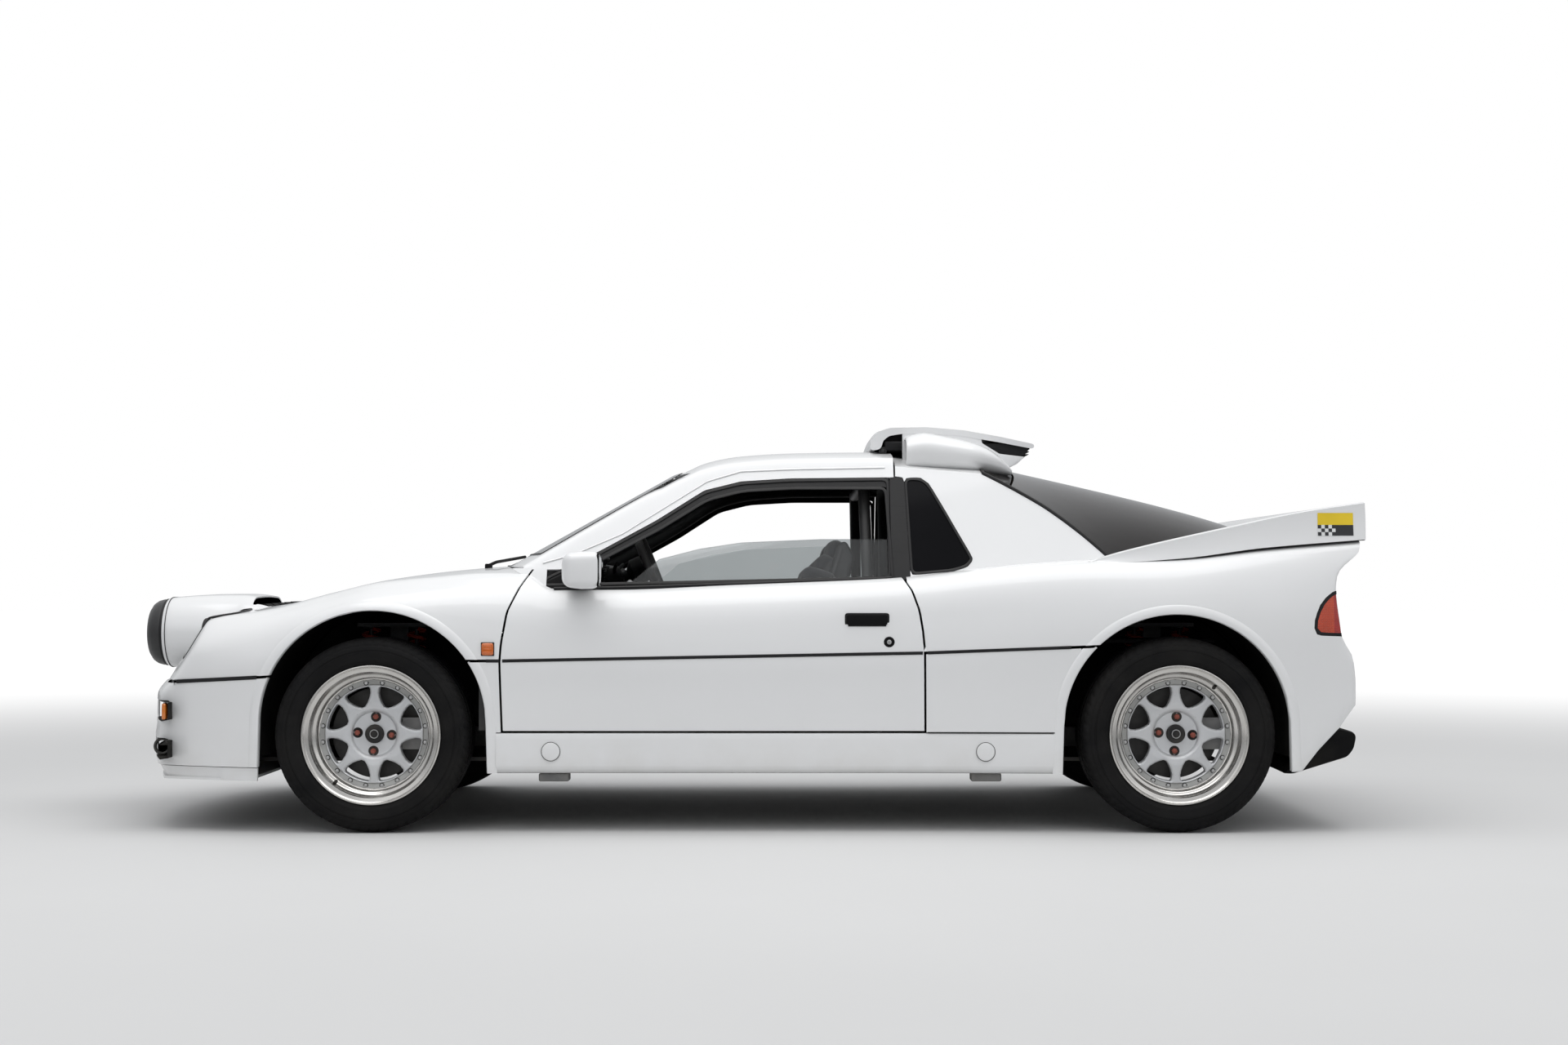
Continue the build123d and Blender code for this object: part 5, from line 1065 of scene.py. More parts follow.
def build_cab_frame():
    """Roof, pillars, seals and cabin lining."""
    ys = np.concatenate([np.linspace(0, 500, 20), np.linspace(507, 660, 32), np.linspace(665, 745, 14)])
    xs = np.concatenate([np.linspace(-800, -300, 50), np.linspace(-292, 60, 38), np.linspace(72, 528, 22)])
    x, y = np.meshgrid(xs, ys, indexing="ij")
    skin = grid(np.stack([x, y, cab_top(x, y)], -1), flip=True)
    skin = flipped(skin)
    frame_line = line(FRAME_EDGE)
    opening = lambda p: np.maximum.reduce([
        872.0 - p[:, 2], p[:, 2] - 1144.0,
        np.abs(p[:, 1]) - np.interp(p[:, 2], [872, 1144], [643.5, 515.8]), p[:, 0] + 120.0])
    skin = keep(skin, lambda p: p[:, 2] - np.where(np.abs(p[:, 1]) > 520, frame_line(p[:, 0]) + 3.0, 700.0),
                opening, lambda p: p[:, 2] - 826.0 + 200 * (p[:, 0] > -500),
                lambda p: p[:, 0] - screen_x(p[:, 1], 838.0))
    parts = [sided(skin)]
    make("cab_roof", parts, "chassis", ["cab_frame"], thickness=16, lining="roof_lining")
    trims = []
    zs = np.linspace(884, 1132, 40)
    path = [(screen_x(np.interp(z, [872, 1144], [643.5, 515.8]) - 6, z),
             np.interp(z, [872, 1144], [643.5, 515.8]) - 6, z)
            for z in zs]
    top = [(screen_x(y, 1134), y, 1134) for y in np.linspace(505, -505, 40)]
    low = [(screen_x(y, 878), y, 878) for y in np.linspace(-630, 630, 60)]
    ring = path + top + [(a, -b, c) for a, b, c in path[::-1]] + low
    ring = np.asarray(ring) + (1, 0, -1)
    ring[:, 2] = np.minimum(ring[:, 2], cab_top(ring[:, 0], ring[:, 1]) - 3)
    trims.append((pipe(ring, 5.5, 10, closed=True), "seal_black"))
    foot = keep(cab_side(PILLAR_FOOT, proud=3.2, step=5), lambda p: DOOR_FRONT(p[:, 2]) - GAP - p[:, 0])
    trims.append((both_sides(foot), "body_white"))
    rail = np.linspace(-600, 500, 90)
    z = DRIP(rail) - 2
    rings = []
    for rise, out in ((-6, -3), (-5, 1.8), (-3, 3.2), (-1, 2.6), (2, -3)):
        rings.append(np.stack([rail, cab_y(z + rise) + out, z + rise], -1))
    trims.append((both_sides(grid(np.asarray(rings), flip=True)), "body_white"))
    post = cab_side([(515, 792), (515, 1127), (531, 1127), (531, 1164), (536, 1164), (536, 1127),
                     (562, 1127), (575, 806), (560, 792)],
                    proud=-1.0)
    trims.append((both_sides(post), "seal_black"))
    make("cab_seals", trims, "chassis", thickness=0)
    build_cab_inside()
    build_wipers()


def build_cab_inside():
    """Door aperture rails, hoop behind the doors and the roof's inside."""
    parts = []
    rail = np.asarray([(-640, 800), (-592, 806), (-423, 887), (-240, 989), (-88, 1087), (31, 1117),
                       (192, 1127), (520, 1130)])
    path = np.column_stack([rail[:, 0], cab_y(rail[:, 1]) - 30, rail[:, 1] - 4])
    parts.append((both_sides(pipe(bent(path, 60), 20, 14)), "roof_lining"))
    for y_low, y_high, z_low, z_high in ((-716, -606, 330, 790), (606, 716, 330, 790)):
        parts.append((pad_box((560, (y_low + y_high) / 2, (z_low + z_high) / 2),
                              (64, y_high - y_low, z_high - z_low), 12), "roof_lining"))
    post = bent([(556, 650, 780), (546, 520, 1080), (540, 470, 1140), (540, 0, 1186)], 60)
    parts.append((both_sides(pipe(post, 26, 14)), "roof_lining"))
    make("cab_inside", parts, "chassis")


def build_wipers():
    """Two parked wipers."""
    parts = []
    for pivot, tip in (((-826, -300, 824), (-752, 250, 858)), ((-826, 330, 824), (-690, 560, 884))):
        pivot, tip = np.asarray(pivot, float), np.asarray(tip, float)
        arm = bent([pivot + (0, 0, 18), pivot + (20, 40 * np.sign(tip[1] - pivot[1]), 30),
                    tip + (-14, 0, 20)], 20)
        parts.append((pipe(arm, 5.5), "moulded_black"))
        parts.append((lathe([(0, 24), (11, 24), (13, 20), (13, -8)], 24, pivot, axis="Z"), "moulded_black"))
        span = np.asarray([tip + (-6, t, 12) for t in np.linspace(-230, 40, 12)])
        span[:, 0] = screen_x(span[:, 1], span[:, 2]) - 14
        parts.append((pipe(span, 4.5, 8), "seal_black"))
    make("wipers", parts, "chassis")


DOME_X = [535, 818, 1018, 1268, 1738]
DOME_QUARTER = line(list(zip(DOME_X, [1152, 1132, 1033, 896, 806])))
DOME_CROWN = line(list(zip(DOME_X, [1234, 1198, 1158, 1102, 974])))
SCREEN_START, DECK_START = 818.0, 1698.0


def dome_z(x, y):
    """Height of the domed rear glass."""
    return DOME_CROWN(x) - (DOME_CROWN(x) - DOME_QUARTER(x)) * (y / 600.0) ** 2


def dome_edge(x):
    """Height where the rear dome meets the leaning side, at each x."""
    low, high = np.full_like(x, 600.0), np.full_like(x, 1240.0)
    for _ in range(40):
        mid = (low + high) / 2
        above = mid > dome_z(x, cab_y(mid))
        high, low = np.where(above, mid, high), np.where(above, low, mid)
    return low


def rear_skin():
    """Body skin pushed to the tail's face."""
    points, faces = capped(560, 2010, "high")
    points = points.copy()
    points[:, 0] = soft_min(points[:, 0], tail_x(points[:, 1], points[:, 2]), 9.0)
    return points, faces


LAMP = np.array([(1834, 623), (1837, 666), (1851, 706), (1874, 735), (1897, 752), (2040, 758), (2040, 615)],
                float)


def lamp_field(p, grow=0.0):
    """Signed distance to the wrap-round tail lamp, negative inside."""
    side = outline_gap(LAMP, p[:, 0], p[:, 2], 8.0) - grow
    return np.maximum(side, 470.0 - grow - np.abs(p[:, 1]))


def build_rear_clam():
    """Rear wings, deck and sail panels."""
    mount = lambda p: np.maximum.reduce([cab_field(p), p[:, 0] - DECK_START,
                                         p[:, 2] - dome_z(p[:, 0], p[:, 1]) + 5.0])
    shut = lambda p: np.where(p[:, 2] > 560, p[:, 0] - DOOR_REAR(p[:, 2]) - GAP, 1.0)
    above = lambda p: np.where(p[:, 0] < 1300, p[:, 2] - STRIP(p[:, 0]) - 4.5, 1.0)
    foot = lambda p: p[:, 2] - np.where(p[:, 0] > 1500, 192.0, 0.0)
    skin = keep(rear_skin(), lambda p: p[:, 1] + 1e-6, mount, shut, above, arch_gap("rear"), foot,
                lambda p: lamp_field(p, 3.0))
    behind = lambda p: np.where(p[:, 0] < 1400, p[:, 2] - STRIP(p[:, 0]) - 4.5, 1.0)
    lip = keep(arch_lip("rear", 300, 195), behind)
    parts = [sided(skin), sided(lip)]
    xs = np.concatenate([np.linspace(534, 830, 26), np.linspace(840, 1250, 30)])
    edge, foot_z = dome_edge(xs), np.interp(xs, [534, 768, 1136, 1260], [786, 806, 836, 850])
    t = np.linspace(0, 1, 24)
    z = foot_z[:, None] + (np.maximum(edge, foot_z + 0.5) - foot_z)[:, None] * t
    sail = grid(np.stack([np.broadcast_to(xs[:, None], z.shape), cab_y(z), z], -1), flip=True)
    sail = clip(sail, lambda p: outline_gap(QUARTER, p[:, 0], p[:, 2]))
    sail = clip(sail, lambda p: np.where(p[:, 2] < 1127,
                                         p[:, 0] - np.interp(p[:, 2], [806, 1127], [575, 562]), 1))
    parts.append(sided(sail))
    xs = np.linspace(534, SCREEN_START, 24)
    half = cab_y(dome_edge(xs))
    y = half[:, None] * np.linspace(0, 1, 30)
    roof = grid(np.stack([np.broadcast_to(xs[:, None], y.shape), y, dome_z(xs[:, None], y)], -1))
    parts.append(sided(roof))
    make("rear_clam_panels", parts, "rear_clamshell", ["rear_clam"], thickness=SKIN,
         lining="arch_liner")


def build_rear_trim():
    """Seams round the rear screen, quarter windows and the waist strips, and a thin black line along the
    sill top as a painted shadow line.
    """
    parts = []
    xs = np.linspace(SCREEN_START, 1690, 60)
    z = dome_edge(xs)
    keep_rows = z > np.interp(xs, [818, 1136, 1700], [800, 846, 900])
    path = np.stack([xs, cab_y(z) - 3, z + 2], -1)[keep_rows]
    parts.append((both_sides(pipe(path, 6.5, 8)), "seal_black"))
    front_y = np.linspace(-555, 555, 40)
    parts.append((pipe(np.stack([np.full_like(front_y, SCREEN_START + 4), front_y,
                                 dome_z(SCREEN_START + 4, front_y) + 1], -1), 6.5, 8), "seal_black"))
    band, finish = rim_band(QUARTER, 9, 2.2, "seal_black")
    parts.append((both_sides(band), finish))
    parts.append((both_sides(strip(622, 1068, 5.0, 2.2)), "seal_black"))
    # thin black strip at the sill top: a painted shadow line where the panel meets the sill
    parts.append((both_sides(strip(620, 1040, 1.6, 0.6, height=lambda x: np.full_like(x, SILL_TOP))),
                  "seal_black"))
    make("rear_trim", parts, "rear_clamshell")


SPOILER_SEAM = pchip([1135, 1160, 1426, 1684, 2010], [849, 842, 857, 890, 917])
SPOILER_TOP = pchip([1135, 1242, 1575, 1812, 2012], [851, 883, 960, 1010, 1040])


def spoiler_half(x):
    """Half width of the spoiler's top along the car."""
    return np.interp(x, [1137, 1250, 1700, 2010], [764, 780, 790, 792])


def build_spoiler():
    """Ducktail spoiler, a thin black tube along its seam as a painted shadow line, and the sticker."""
    xs, ys = np.linspace(1137, 2008, 90), np.linspace(0, 1, 60)
    x = np.broadcast_to(xs[:, None], (90, 60))
    half = spoiler_half(x)
    y = half * ys
    share = np.maximum(ease((y - 640) / 105), ease((x - 1704) / 110))
    level = SPOILER_SEAM(x) - 12
    z = level + (SPOILER_TOP(x) - level) * share - 4 * ease((y - half + 14) / 14)
    top = grid(np.stack([x, y, z], -1))
    top = clip(top, lambda p: np.maximum(cab_field(p) - 2, p[:, 0] - DECK_START))
    rows = []
    for t in np.linspace(0, 1, 8):
        z_row = SPOILER_SEAM(xs) + 3 + (SPOILER_TOP(xs) - 4 - SPOILER_SEAM(xs) - 3) * t
        rows.append(np.stack([xs, spoiler_half(xs) + 9 * (1 - t) ** 2,
                              z_row], -1))
    side_wall = grid(np.asarray(rows))
    ys = np.linspace(0, 792, 30)
    rows = []
    for t in np.linspace(0, 1, 8):
        z = SPOILER_SEAM(2008) + 3 + (SPOILER_TOP(2008) - 8 - SPOILER_SEAM(2008)) * t
        rows.append(np.stack([np.full_like(ys, 2008.0) + 1.5 * math.sin(math.pi * t),
                              ys + np.where(ys > 700, 9 * (1 - t) ** 2, 0) * (ys / 792),
                              np.full_like(ys, z)], -1))
    rear_wall = grid(np.asarray(rows), flip=True)
    make("spoiler_panels", [sided(top), sided(side_wall), sided(rear_wall)], "rear_clamshell",
         ["spoiler"], thickness=5, lining="arch_liner", sharp=30)
    # thin black tube along the spoiler's seam: a painted shadow line in the joint
    seam = np.linspace(1139, 2006, 60)
    path = np.stack([seam, np.interp(seam, [1137, 1250, 1700, 2010], [766, 784, 796, 799]),
                     SPOILER_SEAM(seam) + 1.5], -1)
    make("spoiler_seam_shadow_line", [(both_sides(pipe(path, 1.3, 6)), "seal_black")], "rear_clamshell")
    sticker = []
    for x0, x1, z0, z1, finish in ((1858, 1970, 966, 1004, "hazard_yellow"),
                                   (1858, 1914, 932, 966, "sticker_white"),
                                   (1914, 1970, 932, 966, "sticker_black")):
        sticker.append((sticker_patch(x0, x1, z0, z1), finish))
    for i in range(5):
        for j in range(3):
            if (i + j) % 2 == 0:
                sticker.append((sticker_patch(1858 + i * 11.2, 1869.2 + i * 11.2, 932 + j * 11.33,
                                              943.3 + j * 11.33,
                                              0.5), "sticker_black"))
    make("side_sticker", [(both_sides(shape), finish) for shape, finish in sticker], "rear_clamshell")


def sticker_patch(x0, x1, z0, z1, proud=0.0):
    """Thin patch that lies on the spoiler's side wall."""
    xs, zs = np.linspace(x0, x1, 6), np.linspace(z0, z1, 4)
    x, z = np.meshgrid(xs, zs, indexing="ij")
    t = (z - SPOILER_SEAM(x) - 3) / (SPOILER_TOP(x) - SPOILER_SEAM(x) - 7)
    y = spoiler_half(x) + 9 * (1 - np.clip(t, 0, 1)) ** 2 + 1.0 + proud
    return grid(np.stack([x, y, z], -1), flip=True)


def build_sills():
    """Sills and lower side panels."""
    xs = np.concatenate([np.linspace(-732, -690, 8), np.linspace(-680, 980, 60), np.linspace(990, 1026, 6)])
    rows = []
    for rise, out in ((SILL_TOP - 2, -12), (SILL_TOP - 3, -1.5), (SILL_TOP - 6, 0), (290, 0.5), (240, 0),
                      (212, -1),
                      (200, -3), (190, -10), (185, -26), (184, -120)):
        y = side_y(xs, np.full_like(xs, 260.0)) + out + 1.0
        rows.append(np.stack([xs, y, np.full_like(xs, rise)], -1))
    skin = grid(np.asarray(rows), flip=True)
    skin = flipped(skin)
    skin = keep(skin, arch_gap("front"), arch_gap("rear"))
    parts = [sided(skin)]
    for x in (-560, 802):
        y = float(side_y(x, 254)) + 3.4
        cap = lathe([(0, y + 3.2), (22, y + 3.0), (27, y + 1.8), (28.6, y - 0.5), (28.6, y - 6)], 48,
                    (x, 0, 254))
        groove = lathe([(28.6, y + 0.4), (30.2, y + 0.4)], 48, (x, 0, 254))
        parts += [(both_sides(cap), "body_white"), (both_sides(groove), "seal_black")]
        pad = pad_box((x + 6, 770, 170), (96, 60, 26), 6)
        parts.append((both_sides(pad), "cast_metal"))
    make("side_sill_panels", parts, "chassis", ["side_sills"], thickness=0, lining=None)
    parts = [lower_panels(-860, -690, "front"), lower_panels(600, 1100, "rear")]
    below = lambda p: STRIP(p[:, 0]) - 4.5 - p[:, 2]
    for end, low, high in (("front", -1100, -690), ("rear", 600, 1400)):
        lip = keep(arch_lip(end, 186, 186), below, lambda p, a=low,
                   b=high: np.minimum(p[:, 0] - a, b - p[:, 0]),
                   lambda p: p[:, 2] - 186)
        parts.append(sided(lip))
    make("lower_panels", parts, "chassis", ["lower_side_panels"], thickness=SKIN,
         lining="arch_liner")


RIM_LIP = [(219, 84), (219, 99), (218.2, 101.6), (216.4, 102.5), (213.2, 102.3), (211.4, 100.6),
           (210, 98.4), (206, 96.6),
       (201, 95.8), (198, 94.6), (196.2, 91.6), (195, 86), (193.4, 76), (191.4, 70.4), (188, 66.6),
           (183, 64.6),
       (179.5, 62), (177.6, 57), (176.4, 50), (175.4, 44.6), (173, 43), (170.4, 42.6)]
BARREL = [(170.4, 42.6), (171, 34), (172, 24), (172, -56), (176, -66), (190, -76), (196, -88), (206, -94),
          (219, -96),
          (219, -102.5), (221, -102.5), (221, -92), (206, -86), (180, -58), (180, 40), (200, 84), (219, 84)]
SPOKE_WINDOW = [(151, 0), (151, 8), (151, 15.6), (143, 16.9), (130, 16.8), (114, 14.2), (100, 9.4),
                (91, 3.4)]
SPOKE_WINDOW += [(reach, -turn) for reach, turn in SPOKE_WINDOW[:0:-1]]


def window_gap(p):
    """Signed distance to the nearest of the eight windows between the spokes."""
    turn = np.degrees(np.arctan2(p[:, 2], p[:, 0]))
    local = np.radians(np.mod(turn, 45.0) - 22.5)
    reach = np.hypot(p[:, 0], p[:, 2])
    outline = [(r * math.cos(math.radians(a)), r * math.sin(math.radians(a))) for r, a in SPOKE_WINDOW]
    return outline_gap(outline, reach * np.cos(local), reach * np.sin(local), 3.0)


def rim_face():
    """Eight spokes with rolled edges on a ring, with a recessed hub."""
    radii = np.concatenate([np.linspace(20, 62, 4), np.linspace(64, 76, 7), np.linspace(78, 154, 34),
                            np.linspace(156, 171, 7)])
    turns = np.linspace(0, 2 * math.pi, 240, endpoint=False)
    t, r = np.meshgrid(turns, radii, indexing="ij")
    flat = np.stack([r * np.cos(t), np.zeros_like(r), r * np.sin(t)], -1)
    base = np.interp(r, [20, 64, 68, 73, 80, 100, 146, 153.5, 155.5, 159, 171],
                     [29, 29, 30, 37, 42, 45, 43.4, 43, 38.6, 39, 42.6])
    gap = window_gap(flat.reshape(-1, 3)).reshape(r.shape)
    roll = 7.0 * (1 - np.sqrt(np.clip(1 - (1 - np.clip(gap / 7.0, 0, 1)) ** 2, 0, 1)))
    crown = 1.6 * np.clip(gap / 16.0, 0, 1)
    flat[..., 1] = base - np.where(r > 80, roll, roll * ease((r - 70) / 10)) + crown * ease((r - 80) / 20)
    shape = grid(flat, wrap_rows=True, flip=False)
    face = clip(shape, window_gap)
    wall = []
    steps = np.linspace(0, 1, 5)
    outline = [(r * math.cos(math.radians(a)), r * math.sin(math.radians(a))) for r, a in SPOKE_WINDOW]
    ring = rounded(outline, 3.2, 3)
    for k in range(8):
        c, s = math.cos(math.radians(22.5 + 45 * k)), math.sin(math.radians(22.5 + 45 * k))
        u, v = ring.T
        x, z = u * c - v * s, u * s + v * c
        rows = []
        for depth in steps:
            w = np.interp(np.hypot(x, z), [92, 150], [37.6, 36.4]) - 26 * depth
            rows.append(np.stack([x * (1 - 0.01 * depth), w, z * (1 - 0.01 * depth)], -1))
        wall.append(grid(np.asarray(rows), wrap_cols=True))
    return face, join(*wall)


def wheel_parts():
    """Rim of one wheel with bolts, nuts and cap, and black discs and rings as painted shade in the nut
    wells and bolt holes.
    """
    face, walls = rim_face()
    outside = lambda p: np.hypot(p[:, 0], p[:, 2]) - 154.6
    parts = [(clip(face, lambda p: -outside(p)), "wheel_silver"), (clip(face, outside), "cast_alloy"),
             (walls, "wheel_silver"), (flipped(walls), "wheel_silver"),
             (lathe(RIM_LIP, 160), "polished_lip"), (lathe(BARREL, 96), "cast_metal")]
    bolts, nuts, well_shade_discs, holes = [], [], [], []
    for k in range(20):
        turn = math.radians(18 * k + 9)
        place = (163.5 * math.cos(turn), 0, 163.5 * math.sin(turn))
        # black ring round each rim bolt: painted shade in the gap of its hole
        holes.append(lathe([(6.0, 43.0), (8.2, 42.9)], 16, place))
        bolts.append(lathe([(0, 46.4), (2.2, 46.2), (4.2, 45.2), (4.6, 43.8), (4.6, 42), (6.2, 42.4),
                            (6.4, 41)], 12, place))
    for k in range(4):
        turn = math.radians(90 * k + 4)
        place = (54 * math.cos(turn), 0, 54 * math.sin(turn))
        # black disc under each nut: painted shade down in its well
        well_shade_discs.append(lathe([(0, 29.2), (11.5, 29.2), (13.2, 30.2), (15.4, 30.6), (16.4, 29.4)], 28, place))
        hexagon = [(9.0 * math.cos(math.radians(60 * i + 12)),
                    9.0 * math.sin(math.radians(60 * i + 12))) for i in range(6)]
        nut = prism(rounded(hexagon, 1.2, 2), 28, 38.5, 1.2)
        nuts.append((nut[0] + place, nut[1]))
        nuts.append(lathe([(0, 41), (4.6, 40.6), (5.6, 39.4), (5.6, 38)], 16, place))
    for k in range(4):
        turn = math.radians(90 * k + 49)
        # four small black discs: painted shade standing for holes, which are not cut
        holes.append(lathe([(0, 41.9), (2.4, 42.0), (3.4, 42.3)], 14,
                           (84 * math.cos(turn), 0, 84 * math.sin(turn))))
    cap = lathe([(0, 43.6), (9, 43.6), (12, 43), (13.5, 41.8), (16, 41.6), (24, 42), (27.5, 41), (29.5, 38),
                 (30, 28)], 56)
    ring = lathe([(14.4, 41.8), (13.8, 44.2), (12.6, 44.6), (11.6, 43.6), (11.2, 43)], 40)
    back = lathe([(22, 27), (74, 27), (78, 20), (78, 10), (22, 10)], 64)
    valve = (186 * math.cos(math.radians(-52)), 0, 186 * math.sin(math.radians(-52)))
    stem = lathe([(0, 83), (3.2, 82.6), (3.8, 81), (3.8, 72), (5.4, 70), (5.6, 62)], 16, valve)
    parts += [(join(*bolts), "bolt_steel"), (join(*nuts), "lug_copper"), (join(*well_shade_discs), "seal_black"),
              (join(*holes), "seal_black"), (cap, "seal_black"), (ring, "bolt_steel"),
              (back, "wheel_silver"),
              (stem, "seal_black")]
    return parts


TYRE = [(200, 88), (206, 92), (212, 94), (218, 96.4), (221.5, 98.4), (224, 101.6), (227, 103.8),
        (230, 104.6), (232, 107.6),
        (236, 108.4), (240, 108.6), (246, 110.2), (252, 111.4), (257, 112), (260, 112.3), (261, 112.4),
        (262, 110.6),
        (266, 110.4), (267, 111.6), (274, 110.2), (279, 108.6), (280, 106.8), (284, 106.2), (286, 105.8),
        (289, 104.2), (292, 102.2),
        (295, 99.6), (298, 96), (300.5, 92), (302.4, 87), (303.4, 80), (304, 76), (304.2, 72), (304.4, 70),
        (298, 69),
        (298, 62), (304.7, 61), (305.2, 46), (305.4, 34), (305.5, 31), (298, 30), (298, 22), (305.7, 21),
        (306, 8), (306, 0)]


def tyre_shape():
    """Tyre with rim guard, sidewall rings, grooves and cut shoulder blocks."""
    profile = np.asarray(TYRE + [(r, -w) for r, w in TYRE[-3::-2]], float)
    steps = 300
    turns = np.linspace(0, 2 * math.pi, steps, endpoint=False)
    t, k = np.meshgrid(turns, np.arange(len(profile)), indexing="ij")
    r, w = profile[k, 0], profile[k, 1]
    degrees = np.degrees(t)
    reach = np.abs(w)
    sweep = degrees + np.sign(w) * 0.14 * (reach - 60)
    block = np.mod(sweep, 6.0) < 1.0
    shoulder = (r > 281) & (reach > 70)
    depth = np.where(shoulder & block, np.interp(r, [281, 290, 304], [1.0, 3.0, 5.5]), 0)
    sipe = (np.abs(np.mod(sweep, 6.0) - 3.5) < 0.5) & (r > 300) & (reach > 70)
    depth += np.where(sipe, 1.6, 0)
    middle = (np.mod(degrees + 0.3 * w, 6.0) < 1.0) & (reach < 60) & (reach > 30) & (r > 300)
    depth += np.where(middle, 4.0, 0)
    scale = (r - depth) / r
    w = np.where(shoulder & block, w * (1 - 0.012), w)
    cell = np.stack([r * scale * np.cos(t), w, r * scale * np.sin(t)], -1)
    rubber = grid(cell, wrap_rows=True, flip=False)
    inside = lathe([(200, 88), (199, 60), (199, -60), (200, -88)], 120)
    return join(rubber, inside)


def build_wheels():
    """Four rims and tyres."""
    rim = shape_mesh("rim_wheel", wheel_parts(), sharp=34)
    tyre = shape_mesh("tyre_wheel", [(tyre_shape(), "tyre_rubber")], sharp=50)
    for end, axle in (("front", FRONT_AXLE), ("rear", REAR_AXLE)):
        for side, sign in SIDES.items():
            label = end + "_" + side
            for kind, mesh, slot in (("rim", rim, "rim_metal"), ("tyre", tyre, "tyre_rubber")):
                piece = bpy.data.objects.new(label + "_" + kind + "_look", mesh)
                bpy.context.scene.collection.objects.link(piece)
                piece.location = (axle * MM, sign * 0.750, AXLE_Z * MM)
                spin = math.pi if end == "rear" else 0.0
                piece.rotation_euler = (0, spin, math.pi if sign < 0 else 0.0)
                bpy.context.view_layer.update()
                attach(piece, label + "_wheel")
                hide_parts(label + "_" + kind)


POD_AXIS_Z = 614.5


def pod_outline(x, reach):
    """Ring round both lamps: two round shells joined by a flat top."""
    turns = np.linspace(-math.pi / 2, math.pi / 2, 30)
    right = [(142 + reach * math.cos(t), POD_AXIS_Z + reach * math.sin(t)) for t in turns]
    left = [(-y, z) for y, z in right[::-1]]
    ring = np.asarray(right + left)
    return np.column_stack([np.full(len(ring), x), ring[:, 0], ring[:, 1]])


def build_pod():
    """Shell of the twin lamp pod that fades into the bonnet, with an open rear vent."""
    stations = [(-1946, 106), (-1944, 112), (-1940, 116), (-1932, 118.5), (-1900, 121), (-1860, 124),
                (-1800, 127),
                (-1740, 128), (-1690, 128)]
    rings = []
    turns = np.linspace(-math.pi / 2, 0, 18)
    for x, reach in stations:
        low = [(142 + reach * math.cos(t), POD_AXIS_Z + reach * math.sin(t)) for t in turns]
        top = POD_AXIS_Z + reach
        up_turn = np.linspace(0, math.pi / 2, 18)[1:]
        high = [(142 + reach * math.cos(t), POD_AXIS_Z + reach * math.sin(t)) for t in up_turn]
        flat = [(142 * (1 - s), top + 3 * s * (2 - s)) for s in np.linspace(0, 1, 8)[1:]]
        rings.append([(x, y, z) for y, z in low + high + flat])
    shell = grid(np.asarray(rings), flip=True)
    tail = []
    xs = np.linspace(-1690, -1500, 26)
    for x in xs:
        t = (x + 1690) / 190
        reach = 128
        drop = 62 * ease(t * 0.9)
        spread = 142 + 40 * t
        ring = []
        for a in turns:
            ring.append((spread + reach * math.cos(a), POD_AXIS_Z - drop * 0.2 + reach * math.sin(a)))
        for a in np.linspace(0, math.pi / 2, 18)[1:]:
            ring.append((spread + reach * math.cos(a),
                         POD_AXIS_Z - drop * math.sin(a) * 0.75 + reach * math.sin(a)))
        top = ring[-1][1]
        ring += [(spread * (1 - s), top + 3 * s * (2 - s)) for s in np.linspace(0, 1, 8)[1:]]
        tail.append([(x, y, z) for y, z in ring])
    tail = grid(np.asarray(tail), flip=True)
    bonnet = lambda p: p[:, 2] - (np.interp(p[:, 0], [-1800, -1700, -1600, -1500],
                                            [660, 690, 706, 721]) - 14)
    tail = clip(tail, lambda p: np.maximum(bonnet(p), -1600 - p[:, 0]))
    vent = lambda p: np.maximum.reduce([p[:, 0] * 0 - 1, np.abs(p[:, 1]) - 232 + 0 * p[:, 0],
                                        -1640 - p[:, 0],
                                        690 - p[:, 2]])
    tail = clip(tail, vent)
    rest = []
    mid = np.linspace(-142, 142, 24)
    for x, z in ((-1946, POD_AXIS_Z - 104), (-1900, POD_AXIS_Z - 121), (-1820, POD_AXIS_Z - 127)):
        rest.append([(x, y, z) for y in mid])
    floor_piece = grid(np.asarray(rest), flip=True)
    seam = [(x, y, z) for x, y, z in np.asarray(pod_outline(-1930, 119.4))]
    parts = [sided(shell), sided(tail), (floor_piece, "body_white")]
    make("lamp_pod_shell", parts, "front_clamshell", ["lamp_pod"], thickness=5,
         lining="arch_liner")
    make("pod_seam", [(pipe(np.asarray(seam), 1.6, 6, closed=True), "seal_black")], "front_clamshell")
    bulk = prism(rounded([(-244, 512), (-244, 712), (244, 712), (244, 512)], 96, 8), -1905, -1893, 3.0,
                 axis="X")
    bowls = [lathe([(0, -1842), (40, -1848), (80, -1876), (100, -1915), (104, -1930)], 56,
                   (0, side * 142, POD_AXIS_Z),
                   axis="X") for side in (-1, 1)]
    inside = [(bulk, "arch_liner"), (join(*bowls), "reflector")]
    make("pod_inside", inside, "front_clamshell")
    covers, rims = [], []
    for side in (-1, 1):
        centre = (0, side * 142, POD_AXIS_Z)
        covers.append(lathe([(0, -2010), (30, -2009), (60, -2005.5), (84, -1999), (99, -1989), (108, -1976),
                             (112.4, -1960),
                             (113, -1948), (112.4, -1940), (109, -1936), (100, -1936)], 80, centre,
                            axis="X"))
        rims.append(lathe([(113, -1951), (114.6, -1949), (114.6, -1943), (113, -1941)], 80, centre,
                          axis="X"))
    make("lamp_covers_domed", [(join(*covers), "cover_vinyl"), (join(*rims), "seal_black")],
         "front_clamshell",
         ["lamp_covers"])


